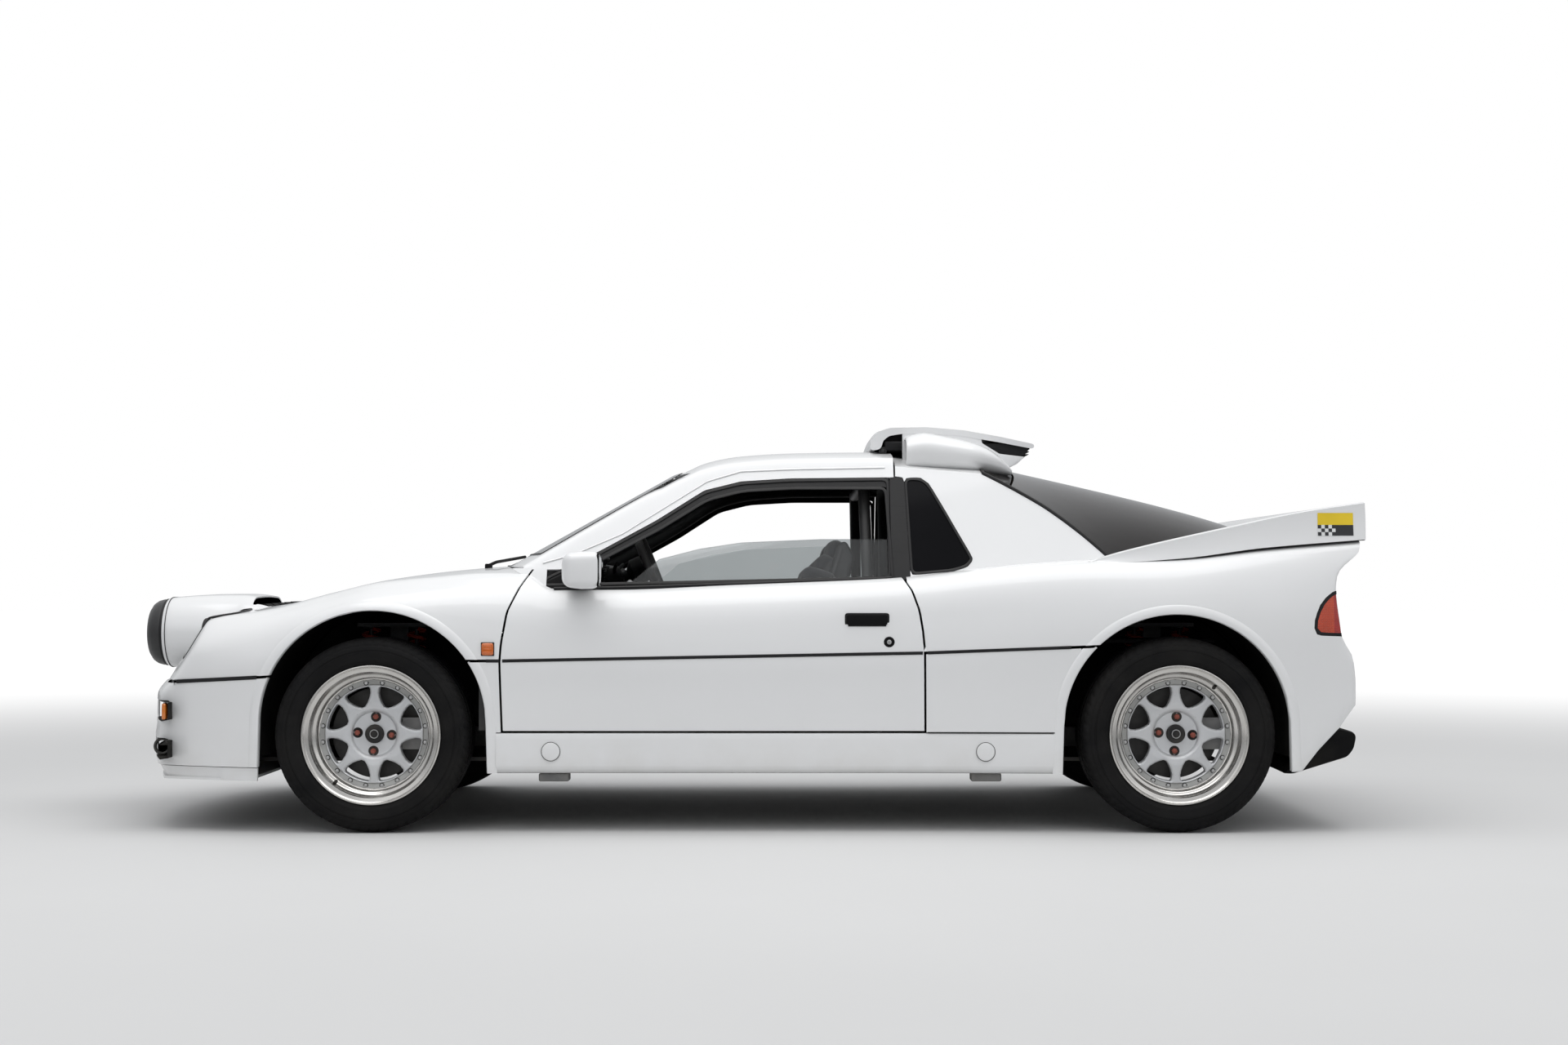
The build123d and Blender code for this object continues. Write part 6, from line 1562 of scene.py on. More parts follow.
def build_headlamps():
    """Faired covers over the headlamps with black edges, trays, bowls and lenses."""
    skin = front_skin()
    glass = keep(skin, lambda p: p[:, 1] + 0.0, lambda p: -headlamp_field(p) - 3.0, lambda p: p[:, 2] - 480)
    glass = (glass[0] + (0, 0, 1.0), glass[1])
    make("headlamp_covers", [(both_sides(glass), "clear_glass")], "front_clamshell",
         ["headlamps"],
         thickness=4)
    outline = rounded([(-1788, 398), (-1602, 396), (-1578, 545), (-1592, 655), (-1642, 692), (-1744, 698),
                       (-1762, 652)], 26, 6)
    crown = np.array([front_height(x, y) for x, y in outline])
    path = np.column_stack([outline, crown + 1.0])
    parts = [(both_sides(pipe(path, 4.2, 8, closed=True)), "seal_black")]
    tray = []
    for depth, gap in ((4, 2), (60, 8), (88, 26), (96, 70)):
        ring = inset(outline, gap) if gap < 60 else inset(outline, 26) * 0.35 + inset(outline,
                                                                                      26).mean(0) * 0.65
        tray.append(np.column_stack([ring, crown - depth]))
    parts.append((both_sides(flipped(grid(np.asarray(tray), wrap_cols=True))), "seal_black"))
    for y in (486, 600):
        bowl = lathe([(0, -1648), (28, -1652), (48, -1668), (58, -1690), (61, -1702)], 44, (0, y, 604),
                     axis="X")
        lens = lathe([(0, -1712), (30, -1710), (52, -1704), (60, -1698)], 44, (0, y, 604), axis="X")
        ring = lathe([(60, -1703), (64, -1704), (66, -1698), (66, -1650)], 44, (0, y, 604), axis="X")
        parts += [(both_sides(bowl), "reflector"), (both_sides(lens), "lamp_glass"),
                  (both_sides(ring), "seal_black")]
    make("headlamp_units", parts, "front_clamshell")


def front_height(x, y):
    """Height of the bonnet's skin at a place, found on its section."""
    row = body_section(x)[0]
    top = row[SIDE_COUNT - 14:]
    z = float(np.interp(abs(y), top[::-1, 0], top[::-1, 1]))
    face = (x + 1903.0 - 153.0 * (y / 820.0) ** 2) / 0.6 + 470.0
    return min(z, face - 8)


def bumper_holes(p):
    """Signed distance outside the bumper's openings."""
    y, z = np.abs(p[:, 1]), p[:, 2]
    front = np.where(p[:, 0] < -1700, 0.0, 400.0)
    intake = outline_gap([(-60, 252), (-60, 424), (470, 424), (486, 400), (470, 252)], y, z, 14.0)
    lamp = outline_gap([(520, 346), (520, 410), (812, 410), (812, 346)], y, z, 10.0)
    lamp = np.maximum(lamp, p[:, 0] + 1771)
    pocket = outline_gap([(556, 226), (556, 290), (812, 290), (812, 226)], y, z, 10.0)
    pocket = np.maximum(pocket, p[:, 0] + 1769)
    return np.minimum.reduce([intake + front, lamp, pocket])


def build_bumper():
    """Bumper, chin, lamps, tow rings, grille and strips."""
    skin = keep(bumper_skin(70, 2), lambda p: p[:, 1] + 1e-6, lambda p: STRIP(p[:, 0]) - 4.5 - p[:, 2],
                arch_gap("front"),
                lambda p: p[:, 2] - 205.5, lambda p: -1300 - p[:, 0], bumper_holes)
    lip = keep(arch_lip("front", 206, 206), lambda p: STRIP(p[:, 0]) - 4.5 - p[:, 2],
               lambda p: -1300 - p[:, 0],
               lambda p: p[:, 2] - 205.5)
    make("front_bumper_shell", [sided(skin), sided(lip)], "chassis", ["front_bumper"],
         thickness=SKIN,
         lining="arch_liner")
    chin = bumper_skin()
    points = chin[0].copy()
    points[:, 2] = np.where(points[:, 2] < 206, 203 - (206 - points[:, 2]) * 1.32, points[:, 2])
    chin = keep((points, chin[1]), lambda p: p[:, 1] + 1e-6, lambda p: 203.2 - p[:, 2], arch_gap("front"),
                lambda p: -1300 - p[:, 0])
    points = chin[0].copy()
    points[:, 0] += np.where(points[:, 0] < -1600, 5 + (203 - points[:, 2]) * 0.3, 0)
    points[:, 1] -= 4 + (203 - points[:, 2]) * 0.08
    chin = (points, chin[1])
    edge = chin_floor()
    make("chin_spoiler", [sided(chin), sided(edge)], "chassis", ["front_splitter"],
         thickness=8,
         lining="arch_liner")
    parts, recess = [], []
    for z_low, z_high, depth in ((346, 410, 62), (226, 290, 70)):
        ys = np.linspace(524, 812, 26)
        front = bumper_x(ys, np.full_like(ys, (z_low + z_high) / 2))
        rows = [np.stack([front + 4, ys, np.full_like(ys, z_low + 1.0)], -1),
                np.stack([front + depth, ys, np.full_like(ys, z_low + 5.0)], -1),
                np.stack([front + depth, ys, np.full_like(ys, z_high - 5.0)], -1),
                np.stack([front + 4, ys, np.full_like(ys, z_high - 1.0)], -1)]
        rows = [np.stack([np.minimum(r[:, 0], -1768), r[:, 1], r[:, 2]], -1) for r in rows]
        recess.append(grid(np.asarray(rows)))
    parts.append((both_sides(join(*recess)), "arch_liner"))
    ys = np.linspace(560, 790, 20)
    front = bumper_x(ys, np.full_like(ys, 378.0))
    rows = []
    for dz, dx in ((-27, 40), (-25, 22), (0, 18), (25, 22), (27, 40)):
        rows.append(np.stack([np.minimum(front + dx, -1776), ys, np.full_like(ys, 378.0 + dz)], -1))
    wrap = pad_box((-1781, 795, 378), (12, 40, 50), 4, 1.0)
    make("bumper_lamp_lenses", [(both_sides(join(grid(np.asarray(rows), flip=True), wrap)), "lens_amber")],
         "chassis",
         ["bumper_lamps"])
    turns = np.linspace(0, 2 * math.pi, 40, endpoint=False)
    ring = np.stack([-1830 + 24 * np.cos(turns), np.full(40, 640.0), 257.5 + 24 * np.sin(turns)], -1)
    stem = np.asarray([(-1800, 640, 257.5), (-1760, 640, 257.5)], float)
    parts.append((both_sides(pipe(ring, 5.4, 12, closed=True)), "satin_steel"))
    parts.append((both_sides(pipe(stem, 8, 12)), "satin_steel"))
    core = pad_box((-1790, 0, 338), (26, 900, 160), 5)
    parts.append((core, "arch_liner"))
    fins = [pad_box((-1806, 0, 268 + 7.5 * k), (5, 880, 1.5), 0.7, steps=1) for k in range(19)]
    parts.append((join(*fins), "cast_alloy"))
    bars = [pipe(np.stack([np.full(20, -1862.0) + 30 * (np.linspace(-470, 470, 20) / 470) ** 2,
                           np.linspace(-470, 470, 20),
                           np.full(20, z)], -1), 3.0, 6) for z in (282, 312, 342, 372, 402)]
    posts = [pipe([(-1866 + 30 * (y / 470) ** 2, y, 250), (-1866 + 30 * (y / 470) ** 2, y, 424)], 2.4, 6)
             for y in np.linspace(-450, 450, 16)]
    parts.append((join(*bars, *posts), "satin_steel"))
    shelf = [np.stack([bumper_x(ys_, np.full_like(ys_, 250.0)) + d, ys_, np.full_like(ys_, z)], -1)
             for ys_ in (np.linspace(-480, 480, 40),) for d, z in ((6, 248), (140, 256))]
    roof = [np.stack([bumper_x(ys_, np.full_like(ys_, 424.0)) + d, ys_, np.full_like(ys_, z)], -1)
            for ys_ in (np.linspace(-480, 480, 40),) for d, z in ((6, 427), (140, 420))]
    parts.append((join(grid(np.asarray(shelf)), flipped(grid(np.asarray(roof)))), "arch_liner"))
    make("bumper_inside", parts, "chassis")
    strips = strip(-1752, -1478, 6.0, 1.0)
    xs = np.linspace(-1, 1, 60)
    front = [np.stack([nose_x(xs * 770, 470.0) + 6 + d, xs * 770, np.full(60, 468.0) + dz], -1)
             for d, dz in ((8, -9), (2, -7), (2, 7), (8, 9))]
    make("front_strips", [(both_sides(strips), "seal_black"), (grid(np.asarray(front)), "seal_black"),
                          (both_sides(strip(-762, -722, 5.0, 1.6)), "seal_black")], "chassis")


def chin_floor():
    """Underside of the chin, back to the wheel."""
    xs = np.linspace(-1921, -1505, 60)
    bow = 820.0 * np.sqrt(np.clip((xs - BUMPER_PROFILE(190.0) - 14.0) / 153.0, 0, None))
    half = np.minimum(bow, side_y(xs, np.full_like(xs, 178.0)) - 9.0)
    y = half[:, None] * np.linspace(0, 1, 12)
    return flipped(grid(np.stack([np.broadcast_to(xs[:, None], y.shape), y, np.full_like(y, 170.0)], -1),
                        flip=True))


def build_front_trim():
    """Bonnet vents and side repeaters."""
    parts = []
    for k in range(7):
        x = -1640 + 22 * k
        blade = pad_box((x, 0, 700 + 2.2 * k), (18, 400, 3), 1.2, steps=2)
        parts.append((moved((blade[0] - (x, 0, 700 + 2.2 * k), blade[1]), (x, 0, 703 + 2.0 * k), 0.5),
                      "moulded_black"))
    well = prism(rounded([(-1655, 640), (-1655, 694), (-1480, 712), (-1480, 660)], 8), -236, 236, 3.0)
    parts.append((well, "arch_liner"))
    make("bonnet_vent", parts, "front_clamshell")
    parts = []
    y = float(side_y(-758, 575))
    lens = pad_box((-758, y + 2, 575), (36, 11, 37), 4.5, 1.0)
    seat = pad_box((-758, y + 0.5, 575), (42, 6, 43), 2.5)
    rib = [pad_box((-758, y + 7.8, 575 + dz), (26, 2.4, 3.2), 1.1) for dz in (-10, 0, 10)]
    parts += [(both_sides(join(lens, *rib)), "lens_orange"), (both_sides(seat), "seal_black")]
    make("side_repeaters", parts, "front_clamshell")


def arch_liner(end, y_out, y_in):
    """Curved black housing inside a wheel opening."""
    rows = []
    for y in (y_out, y_out - 60, (y_out + y_in) / 2, y_in):
        path = arch_path(end, 230, 230, 48)
        rows.append(np.stack([path[:, 0] + path[:, 2] * 18, np.full(len(path), float(y)),
                              path[:, 1] + path[:, 3] * 18], -1))
    return flipped(grid(np.asarray(rows)))


def build_liners():
    """Arch liners and inner arch walls."""
    front = arch_liner("front", 846.0, 300.0)
    rear = arch_liner("rear", 850.0, 300.0)
    front = clip(front, body_clear)
    rear = clip(rear, body_clear)
    make("front_arch_liners", [(both_sides(front), "arch_liner")], "front_clamshell")
    make("rear_arch_liners", [(both_sides(rear), "arch_liner")], "rear_clamshell")
    walls = []
    for end in ARCHES:
        cx, cz = ARCHES[end]
        ring = [(cx + 366 * math.cos(t), cz + 366 * math.sin(t)) for t in np.linspace(0, math.pi, 40)]
        walls.append(prism([(cx + 366, 250.0), *ring, (cx - 366, 250.0)], 296, 302, 1.0))
    make("inner_arch_walls", [(both_sides(join(*walls)), "arch_liner")], "chassis")


def body_clear(p):
    """Distance inside the body's side."""
    return side_y(p[:, 0], p[:, 2]) - 8.0 - np.abs(p[:, 1])


def build_mirror(side):
    """One door mirror."""
    sign = SIDES[side]
    turn = mirrored if sign < 0 else (lambda shape: shape)
    shell = pad_box((-462, 878, 822), (118, 148, 112), 26, 3.0, steps=6)
    points = shell[0].copy()
    lean = (points[:, 1] - 878) / 74
    points[:, 0] += 8 * lean
    ahead = np.clip((-462 - points[:, 0]) / 59, 0, 1)
    points[:, 2] = 822 + (points[:, 2] - 822) * (1 - 0.10 * ahead)
    points[:, 1] = 878 + (points[:, 1] - 878) * (1 - 0.06 * ahead)
    shell = (points, shell[1])
    glass = pad_box((-402, 878, 822), (3, 130, 94), 1.4)
    frame_ring = pad_box((-405, 878, 822), (7, 139, 103), 3.4)
    foot = prism(rounded([(-520, 786), (-520, 830), (-440, 838), (-430, 786)], 14), 742, 800, 5.0)
    arm = pad_box((-474, 802, 800), (52, 60, 34), 12)
    make(side + "_mirror_shell", [(turn(shell), "body_white"), (turn(frame_ring), "moulded_black"),
                                  (turn(glass), "mirror_silver"), (turn(foot), "moulded_black"),
                                  (turn(arm), "moulded_black")], side + "_door",
         [side + "_mirror"])


def crowned(shape, reach, drop):
    """Lowers a shape's outer parts across the car."""
    points = shape[0].copy()
    points[:, 2] -= drop * (points[:, 1] / reach) ** 2
    return points, shape[1]


WING = [(459, 1244), (461, 1272), (482, 1299), (525, 1313), (647, 1315), (768, 1305), (888, 1284),
        (1003, 1259),
        (1007, 1250), (1000, 1243), (880, 1266), (760, 1286), (640, 1294), (560, 1292), (522, 1286),
        (502, 1270),
        (497, 1250), (488, 1240), (466, 1238)]


def sliced(points, span):
    """Outline run across the car in many steps, so that it can be crowned."""
    ys = np.linspace(-span, span, 41)
    ring = rounded(points, 8, 3)
    rings = []
    for y in ys:
        rings.append(np.stack([ring[:, 0], np.full(len(ring), y), ring[:, 1]], -1))
    points, faces = grid(np.asarray(rings), wrap_cols=True, flip=False)
    count = len(ring)
    faces += [tuple(range(count)), tuple(range(len(points) - count, len(points)))[::-1]]
    return points, faces


def build_scoop():
    """Roof scoop with its pods, intake and louvres."""
    wing = sliced(WING, 400)
    area = np.asarray(WING)
    turn = np.sum(area[:, 0] * np.roll(area[:, 1], -1) - area[:, 1] * np.roll(area[:, 0], -1))
    wing = crowned(wing if turn > 0 else flipped(wing), 400, 12.0)
    wall = prism(rounded([(566, 1294), (600, 1297), (700, 1293), (768, 1286), (828, 1274), (832, 1250),
                          (890, 1214), (974, 1204), (948, 1180), (900, 1158),
                          (566, 1158)], 4), 388, 399, 1.0)
    blade = prism(rounded([(890, 1212), (975, 1204), (968, 1198), (940, 1176), (880, 1172)], 3), -396, 396,
                  2.0)
    stations = np.array([572, 574, 580, 600, 630, 660, 688, 720, 746, 784, 822, 856, 886, 910, 924, 930],
                        float)
    top = pchip([572, 600, 630, 688, 746, 822, 886, 930],
                [1268, 1277, 1283, 1274, 1262, 1242, 1206, 1160])(stations)
    wide = pchip([572, 620, 700, 800, 886, 930], [539, 545, 542, 520, 470, 415])(stations)
    rings = []
    for k, (x, z_top, y_out) in enumerate(zip(stations, top, wide)):
        turns = np.radians(np.linspace(90, -90, 30))
        shrink = (0.94, 0.985, 1)[min(k, 2)]
        middle = (z_top + 1143) / 2 + 6
        half_top, half_low = (z_top - middle) * shrink, (middle - 1143) * shrink
        c, s = np.cos(turns), np.sin(turns)
        y = 388 + (y_out - 388) * shrink * np.abs(c) ** 0.72
        z = middle + np.where(s > 0, half_top, half_low) * np.sign(s) * np.abs(s) ** 0.8
        rings.append(np.stack([np.full(30, x), y, z], -1))
    pod = grid(np.asarray(rings), flip=True)
    inner = np.asarray(rings[0])
    centre = np.array([572.0, 460.0, 1206.0])
    small = centre + (inner - centre) * 0.9
    deep = small + (16, 0, 0)
    face = grid(np.asarray([inner, small]), flip=False)
    mouth = grid(np.asarray([small, deep]), flip=False)
    back = (np.vstack([deep, centre + (16, 0, 0)]), [(i + 1, i, len(deep)) for i in range(len(deep) - 1)])
    parts = [(wing, "body_white"), (both_sides(wall), "body_white"), (blade, "body_white"),
             (both_sides(pod), "body_white"), (both_sides(join(face, flipped(face))), "body_white"),
             (both_sides(join(mouth, flipped(mouth), back, flipped(back))), "arch_liner")]
    make("roof_scoop_shell", parts, "rear_clamshell", ["roof_scoop"], sharp=40)
    dark = prism(rounded([(512, 1222), (512, 1286), (570, 1290), (600, 1290), (600, 1222)], 6), -380, 380,
                 2.0)
    box = prism(rounded([(828, 1250), (985, 1246), (996, 1238), (974, 1208), (888, 1216), (830, 1240)], 3),
                -390, 390, 2.0)
    roof = prism(rounded([(566, 1180), (566, 1288), (700, 1290), (826, 1262), (880, 1214), (880, 1180)], 4),
                 -382, 382, 1.0)
    louvres = [pad_box((990 - 2 * k, 0, 1240 - 9 * k), (10, 770, 2.2), 1.0, steps=2) for k in range(4)]
    ribs = [pad_box((509, -380 + 19 * k, 1256), (7, 4, 62), 1.4, steps=2) for k in range(41)]
    bars = pad_box((540, 0, 1241), (66, 788, 30), 5)
    ring_turn = np.linspace(0, 2 * math.pi, 28, endpoint=False)
    fitting = np.stack([501 + 10.5 * np.cos(ring_turn), np.full(28, 391.0),
                        1224 + 10.5 * np.sin(ring_turn)], -1)
    pin = lathe([(0, 397), (6, 396), (8, 393), (8, 380)], 24, (501, 0, 1224))
    make("roof_scoop_inside", [(join(dark, *ribs), "moulded_black"), (box, "seal_black"),
                               (roof, "arch_liner"),
                               (join(*louvres), "moulded_black"), (bars, "seal_black"),
                               (both_sides(pipe(fitting, 2.6, 8, closed=True)), "satin_steel"),
                               (both_sides(pin), "satin_steel")], "rear_clamshell")


def build_tail():
    """Tail lamps, tail panel trim and diffuser."""
    skin = keep(rear_skin(), lambda p: p[:, 1], lambda p: p[:, 0] - 1800)
    lens = keep(skin, lambda p: -lamp_field(p) - 2.5)
    outer = keep(lens, lambda p: 1896 - p[:, 0] + 0 * p[:, 1])
    rest = keep(lens, lambda p: p[:, 0] - 1896)
    red = keep(rest, lambda p: p[:, 1] - 560)
    white = keep(rest, lambda p: 560 - p[:, 1])
    make("tail_lamp_lenses", [(both_sides(outer), "lens_scarlet"), (both_sides(red), "lens_red"),
                              (both_sides(white), "lamp_glass")], "rear_clamshell",
         ["tail_lamps"],
         thickness=4)
    parts = []
    ring = keep(skin, lambda p: -lamp_field(p, 5.0), lambda p: lamp_field(p) + 5.5)
    ring = (ring[0] + (1.2, 0, 0), ring[1])
    parts.append((both_sides(ring), "seal_black"))
    case = keep((skin[0] - (36, 0, 0), skin[1]), lambda p: -lamp_field(p, -4.0))
    case = (case[0] * (1, 0.965, 1), case[1])
    parts.append((both_sides(case), "reflector"))
    panel = keep(skin, lambda p: 466 - p[:, 1], lambda p: p[:, 2] - 622, lambda p: 752 - p[:, 2],
                 lambda p: p[:, 0] - 1880)
    panel = (panel[0] + (1.4, 0, 0), panel[1])
    parts.append((both_sides(panel), "moulded_black"))
    slats = []
    ys = np.linspace(-462, 462, 40)
    for z in np.arange(630, 748, 11.0):
        rows = [np.stack([tail_x(ys, np.full(40, z)) + out, ys, np.full(40, z + rise)], -1)
                for rise, out in ((-2.4, 0.5), (-1.6, 4.6), (1.6, 4.6), (2.4, 0.5))]
        slats.append(grid(np.asarray(rows)))
    slats = join(*slats)
    parts.append((join(slats, flipped(slats)), "moulded_black"))
    make("tail_trim", parts, "rear_clamshell")
    outline = [(1765, 180), (1800, 178), (1974, 232), (1994, 258), (2002, 298), (1990, 312), (1944, 322),
               (1880, 264),
               (1800, 207)]
    ring = rounded(outline, 12, 4)
    ys = np.concatenate([np.linspace(-770, -700, 6), np.linspace(-680, 680, 40), np.linspace(700, 770, 6)])
    ys = np.union1d(ys, [side * y for side in (-1, 1) for y in (279, 283, 317, 321, 356, 358)])
    rings = []
    for y in ys:
        end = max(0.0, (abs(y) - 762) / 8) * 3
        cut = inset(ring, end) if end else ring
        bow = 16.0 * abs(y / 770) ** 3
        clear = 1914.0 if 281 < abs(y) < 319 else (1832.0 if abs(y) < 357 else 0.0)
        cut = np.column_stack([np.maximum(cut[:, 0], clear), cut[:, 1]])
        rings.append(np.stack([cut[:, 0] - bow - 2, np.full(len(cut), y), cut[:, 1]], -1))
    points, faces = grid(np.asarray(rings), wrap_cols=True, flip=False)
    count = len(ring)
    faces += [tuple(range(count)), tuple(range(len(points) - count, len(points)))[::-1]]
    make("rear_diffuser", [((points, faces), "moulded_black")], "rear_clamshell",
         ["rear_valance"])


def coil(x, y, low, high, reach=31.0, wire=6.2, turns=6.2):
    """Helical spring with closed ends."""
    t = np.linspace(0, 1, int(turns * 26))
    rise = low + wire + (high - low - 2 * wire) * ease(t) * 0.15 + (high - low - 2 * wire) * t * 0.85
    angle = 2 * math.pi * turns * t
    return pipe(np.stack([x + reach * np.cos(angle), y + reach * np.sin(angle), rise], -1), wire, 9)


def build_springs():
    """Wound springs on their dampers."""
    springs, rods = [], []
    for axle in (FRONT_AXLE, REAR_AXLE):
        for x in (axle - 75, axle + 75):
            springs.append(coil(x, 430, 437, 638, 25.6))
            rods.append(lathe([(0, 440), (22, 440), (22, 446), (15, 448), (15, 540), (13, 544), (7, 545),
                               (7, 636), (0, 636)],
                              20, (x, 430, 0), axis="Z"))
            rods.append(lathe([(7, 632), (24, 632), (28, 636), (28, 638), (7, 638)], 24, (x, 430, 0),
                              axis="Z"))
    make("coil_springs_wound", [(both_sides(join(*springs)), "spring_red"),
                                (both_sides(join(*rods)), "satin_steel")],
         "chassis", ["coil_springs"])


def build_engine():
    """Engine, gearbox and engine bay."""
    parts = []
    block = prism(rounded([(610, 262), (604, 560), (640, 640), (1110, 640), (1150, 560), (1150, 262)], 30),
                  -170, 170, 14.0)
    head = prism(rounded([(640, 640), (640, 706), (1120, 706), (1120, 640)], 14), -120, 120, 8.0)
    cover = [pad_box((880, y, 718), (470, 84, 34), 14, 2.0) for y in (-62, 62)]
    ribs = [pad_box((880, y, 736), (440, 6, 5), 2, steps=2) for y in (-86, -74, -62, -50, -38, 38, 50, 62,
                                                                      74, 86)]
    plenum = pipe(bent([(690, 205, 690), (1130, 205, 690)], 10), 34, 24)
    runners = [pipe(bent([(x, 205, 690), (x, 170, 712), (x, 110, 680)], 30), 19, 14) for x in (720, 840,
                                                                                               960, 1080)]
    heads = [pipe(bent([(x, -120, 640), (x, -200, 620), (x + 20, -215, 520), (1160, -205, 430)], 50), 18,
                  12)
             for x in (720, 840, 960, 1080)]
    fins = [pad_box((x, 0, 450), (5, 352, 300), 2, steps=2) for x in np.arange(640, 1140, 28)]
    bell = lathe([(0, 1150), (150, 1150), (158, 1160), (150, 1200), (110, 1290), (100, 1330)], 48,
                 (0, 0, 370), axis="X")
    box = prism(rounded([(1290, 256), (1290, 470), (1560, 450), (1625, 400), (1625, 262)], 24), -118, 118,
                14.0)
    webs = [pad_box((x, 0, 362), (6, 246, 190), 2, steps=2) for x in (1330, 1380, 1430, 1480, 1530)]
    pulleys = [lathe([(0, -12), (r - 6, -12), (r, -8), (r - 5, 0), (r, 8), (r - 6, 12), (0, 12)], 40,
                     (596, y, z), axis="X")
               for r, y, z in ((62, 0, 340), (44, 90, 470), (36, -90, 500))]
    belt_path = [(596, 62, 320), (596, 134, 470), (596, 90, 514), (596, -90, 536), (596, -126, 500),
                 (596, -62, 330),
                 (596, 0, 278)]
    belt = pipe(np.asarray(belt_path, float), 5, 8, closed=True)
    caps = [lathe([(0, 752), (14, 752), (18, 746), (18, 734)], 24, (720, 62, 0), axis="Z")]
    parts += [(join(block, box), "cast_alloy"), (join(head, *cover, *ribs), "cast_metal"),
              (join(plenum, *runners), "cast_alloy"),
              (join(*heads), "pipe_steel"), (join(*fins, *webs, bell), "cast_alloy"),
              (join(*caps, belt), "seal_black")]
    parts.append((join(*pulleys), "bolt_steel"))
    make("engine_assembly", parts, "chassis", ["engine_block"])
    shield = prism(rounded([(575, 300), (575, 700), (590, 700), (590, 300)], 4), -560, 560, 3.0)
    floor_panel = [pad_box((1230, y, 596), (640, 260, 12), 4) for y in (-560, 560)]
    make("engine_bay", [(shield, "arch_liner"), (join(*floor_panel), "moulded_black")], "chassis")


def tilted(shape, centre, turn):
    """Shape turned about its own centre."""
    points = shape[0] - np.asarray(centre, float)
    points, faces = moved((points, shape[1]), turn=turn)
    return points + np.asarray(centre, float), faces


CUSHION_VOXEL = 0.006
CUSHION_FRAMES = 20
CUSHION_MARGIN = 0.012
FULL_PRESSURE = 4.0
CLOTH_STIFFNESS = 25.0
SEAT_Y = 350.0
BASE_TILT, BACK_LEAN = math.radians(8), math.radians(17.0)


def soften(piece, swell):
    """Inflates a cushion with a short cloth simulation and keeps its place and size."""
    mesh = piece.data
    before = np.empty(len(mesh.vertices) * 3)
    mesh.vertices.foreach_get("co", before)
    before = before.reshape(-1, 3)
    low, high = before.min(0), before.max(0)
    remesh = piece.modifiers.new("even", "REMESH")
    remesh.mode, remesh.voxel_size = "VOXEL", CUSHION_VOXEL
    cloth = piece.modifiers.new("cloth", "CLOTH")
    cloth.settings.use_pressure = True
    cloth.settings.uniform_pressure_force = FULL_PRESSURE * swell
    cloth.settings.effector_weights.gravity = 0.0
    cloth.settings.tension_stiffness = cloth.settings.compression_stiffness = CLOTH_STIFFNESS
    cloth.settings.quality = 4
    scene = bpy.context.scene
    for frame_number in range(1, CUSHION_FRAMES + 1):
        scene.frame_set(frame_number)
    shown = piece.evaluated_get(bpy.context.evaluated_depsgraph_get())
    fresh = bpy.data.meshes.new_from_object(shown)
    piece.modifiers.clear()
    fresh.name = mesh.name
    piece.data = fresh
    scene.frame_set(1)
    count = len(fresh.vertices)
    after = np.empty(count * 3)
    fresh.vertices.foreach_get("co", after)
    after = after.reshape(-1, 3)
    if not np.isfinite(after).all():
        raise RuntimeError("cushion simulation did not stay finite")
    after = np.clip(after, low - CUSHION_MARGIN, high + CUSHION_MARGIN)
    fresh.vertices.foreach_set("co", after.ravel())
    fresh.polygons.foreach_set("use_smooth", [True] * len(fresh.polygons))
    fresh.update()


def build_seats(fill):
    """Cushions, shells and belts of both seats."""
    lean = BACK_LEAN
    for side, sign in SIDES.items():
        y = sign * SEAT_Y
        base = tilted(pad_box((28, y, 452), (318, 296, 84), 30, 12.0), (28, y, 452), BASE_TILT)
        back = tilted(pad_box((258, y, 672), (72, 290, 420), 30, 10.0, steps=5), (258, y, 672), lean)
        head = tilted(pad_box((338, y, 878), (60, 236, 86), 26, 6.0, steps=5), (338, y, 878), lean)
        for name, shape in (("base", base), ("back", back), ("head", head)):
            mesh = shape_mesh("seat_" + name, [(shape, "seat_cloth")], sharp=60)
            cushion = bpy.data.objects.new(side + "_seat_" + name, mesh)
            bpy.context.scene.collection.objects.link(cushion)
            soften(cushion, fill)
            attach(cushion, "chassis")
        shell = prism(rounded([(-112, 372), (-104, 430), (140, 388), (215, 450), (330, 850), (348, 912),
                               (376, 922),
                               (404, 866), (276, 370)], 16), y - 226, y + 226, 16.0)
        points = shell[0].copy()
        narrow = 1 - 0.42 * ease((points[:, 2] - 740) / 190)
        points[:, 1] = y + (points[:, 1] - y) * narrow
        shell = (points, shell[1])
        wings = [tilted(pad_box((236, y + s * 178, 640), (118, 58, 380), 26, 6.0), (236, y + s * 178, 640),
                        lean) for s in (-1, 1)]
        bolsters = [tilted(pad_box((10, y + s * 186, 462), (300, 66, 118), 30, 6.0), (10, y + s * 186, 462),
                           BASE_TILT)
                    for s in (-1, 1)]
        belts = []
        for s in (-1, 1):
            path = bent([(356, y + s * 60, 912), (326, y + s * 70, 860), (216, y + s * 92, 560),
                         (150, y + s * 60, 500), (30, y + s * 20, 508)],
                        40)
            side_way = np.array([0, 22.0, 0])
            belts.append(grid(np.stack([path - side_way, path + side_way], 1)))
        belt = join(*belts)
        buckle = pad_box((26, y, 512), (46, 58, 12), 5)
        make(side + "_seat_shell", [(shell, "seat_shell"), (join(*wings, *bolsters), "seat_cloth"),
                                    (join(belt, flipped((belt[0] - (0, 0, 2), belt[1]))), "spring_red"),
                                    (buckle, "bolt_steel")], "chassis",
             ["seats"] if side == "left" else [])


WHEEL_CENTRE = np.array([-277.0, -350.0, 840.0])


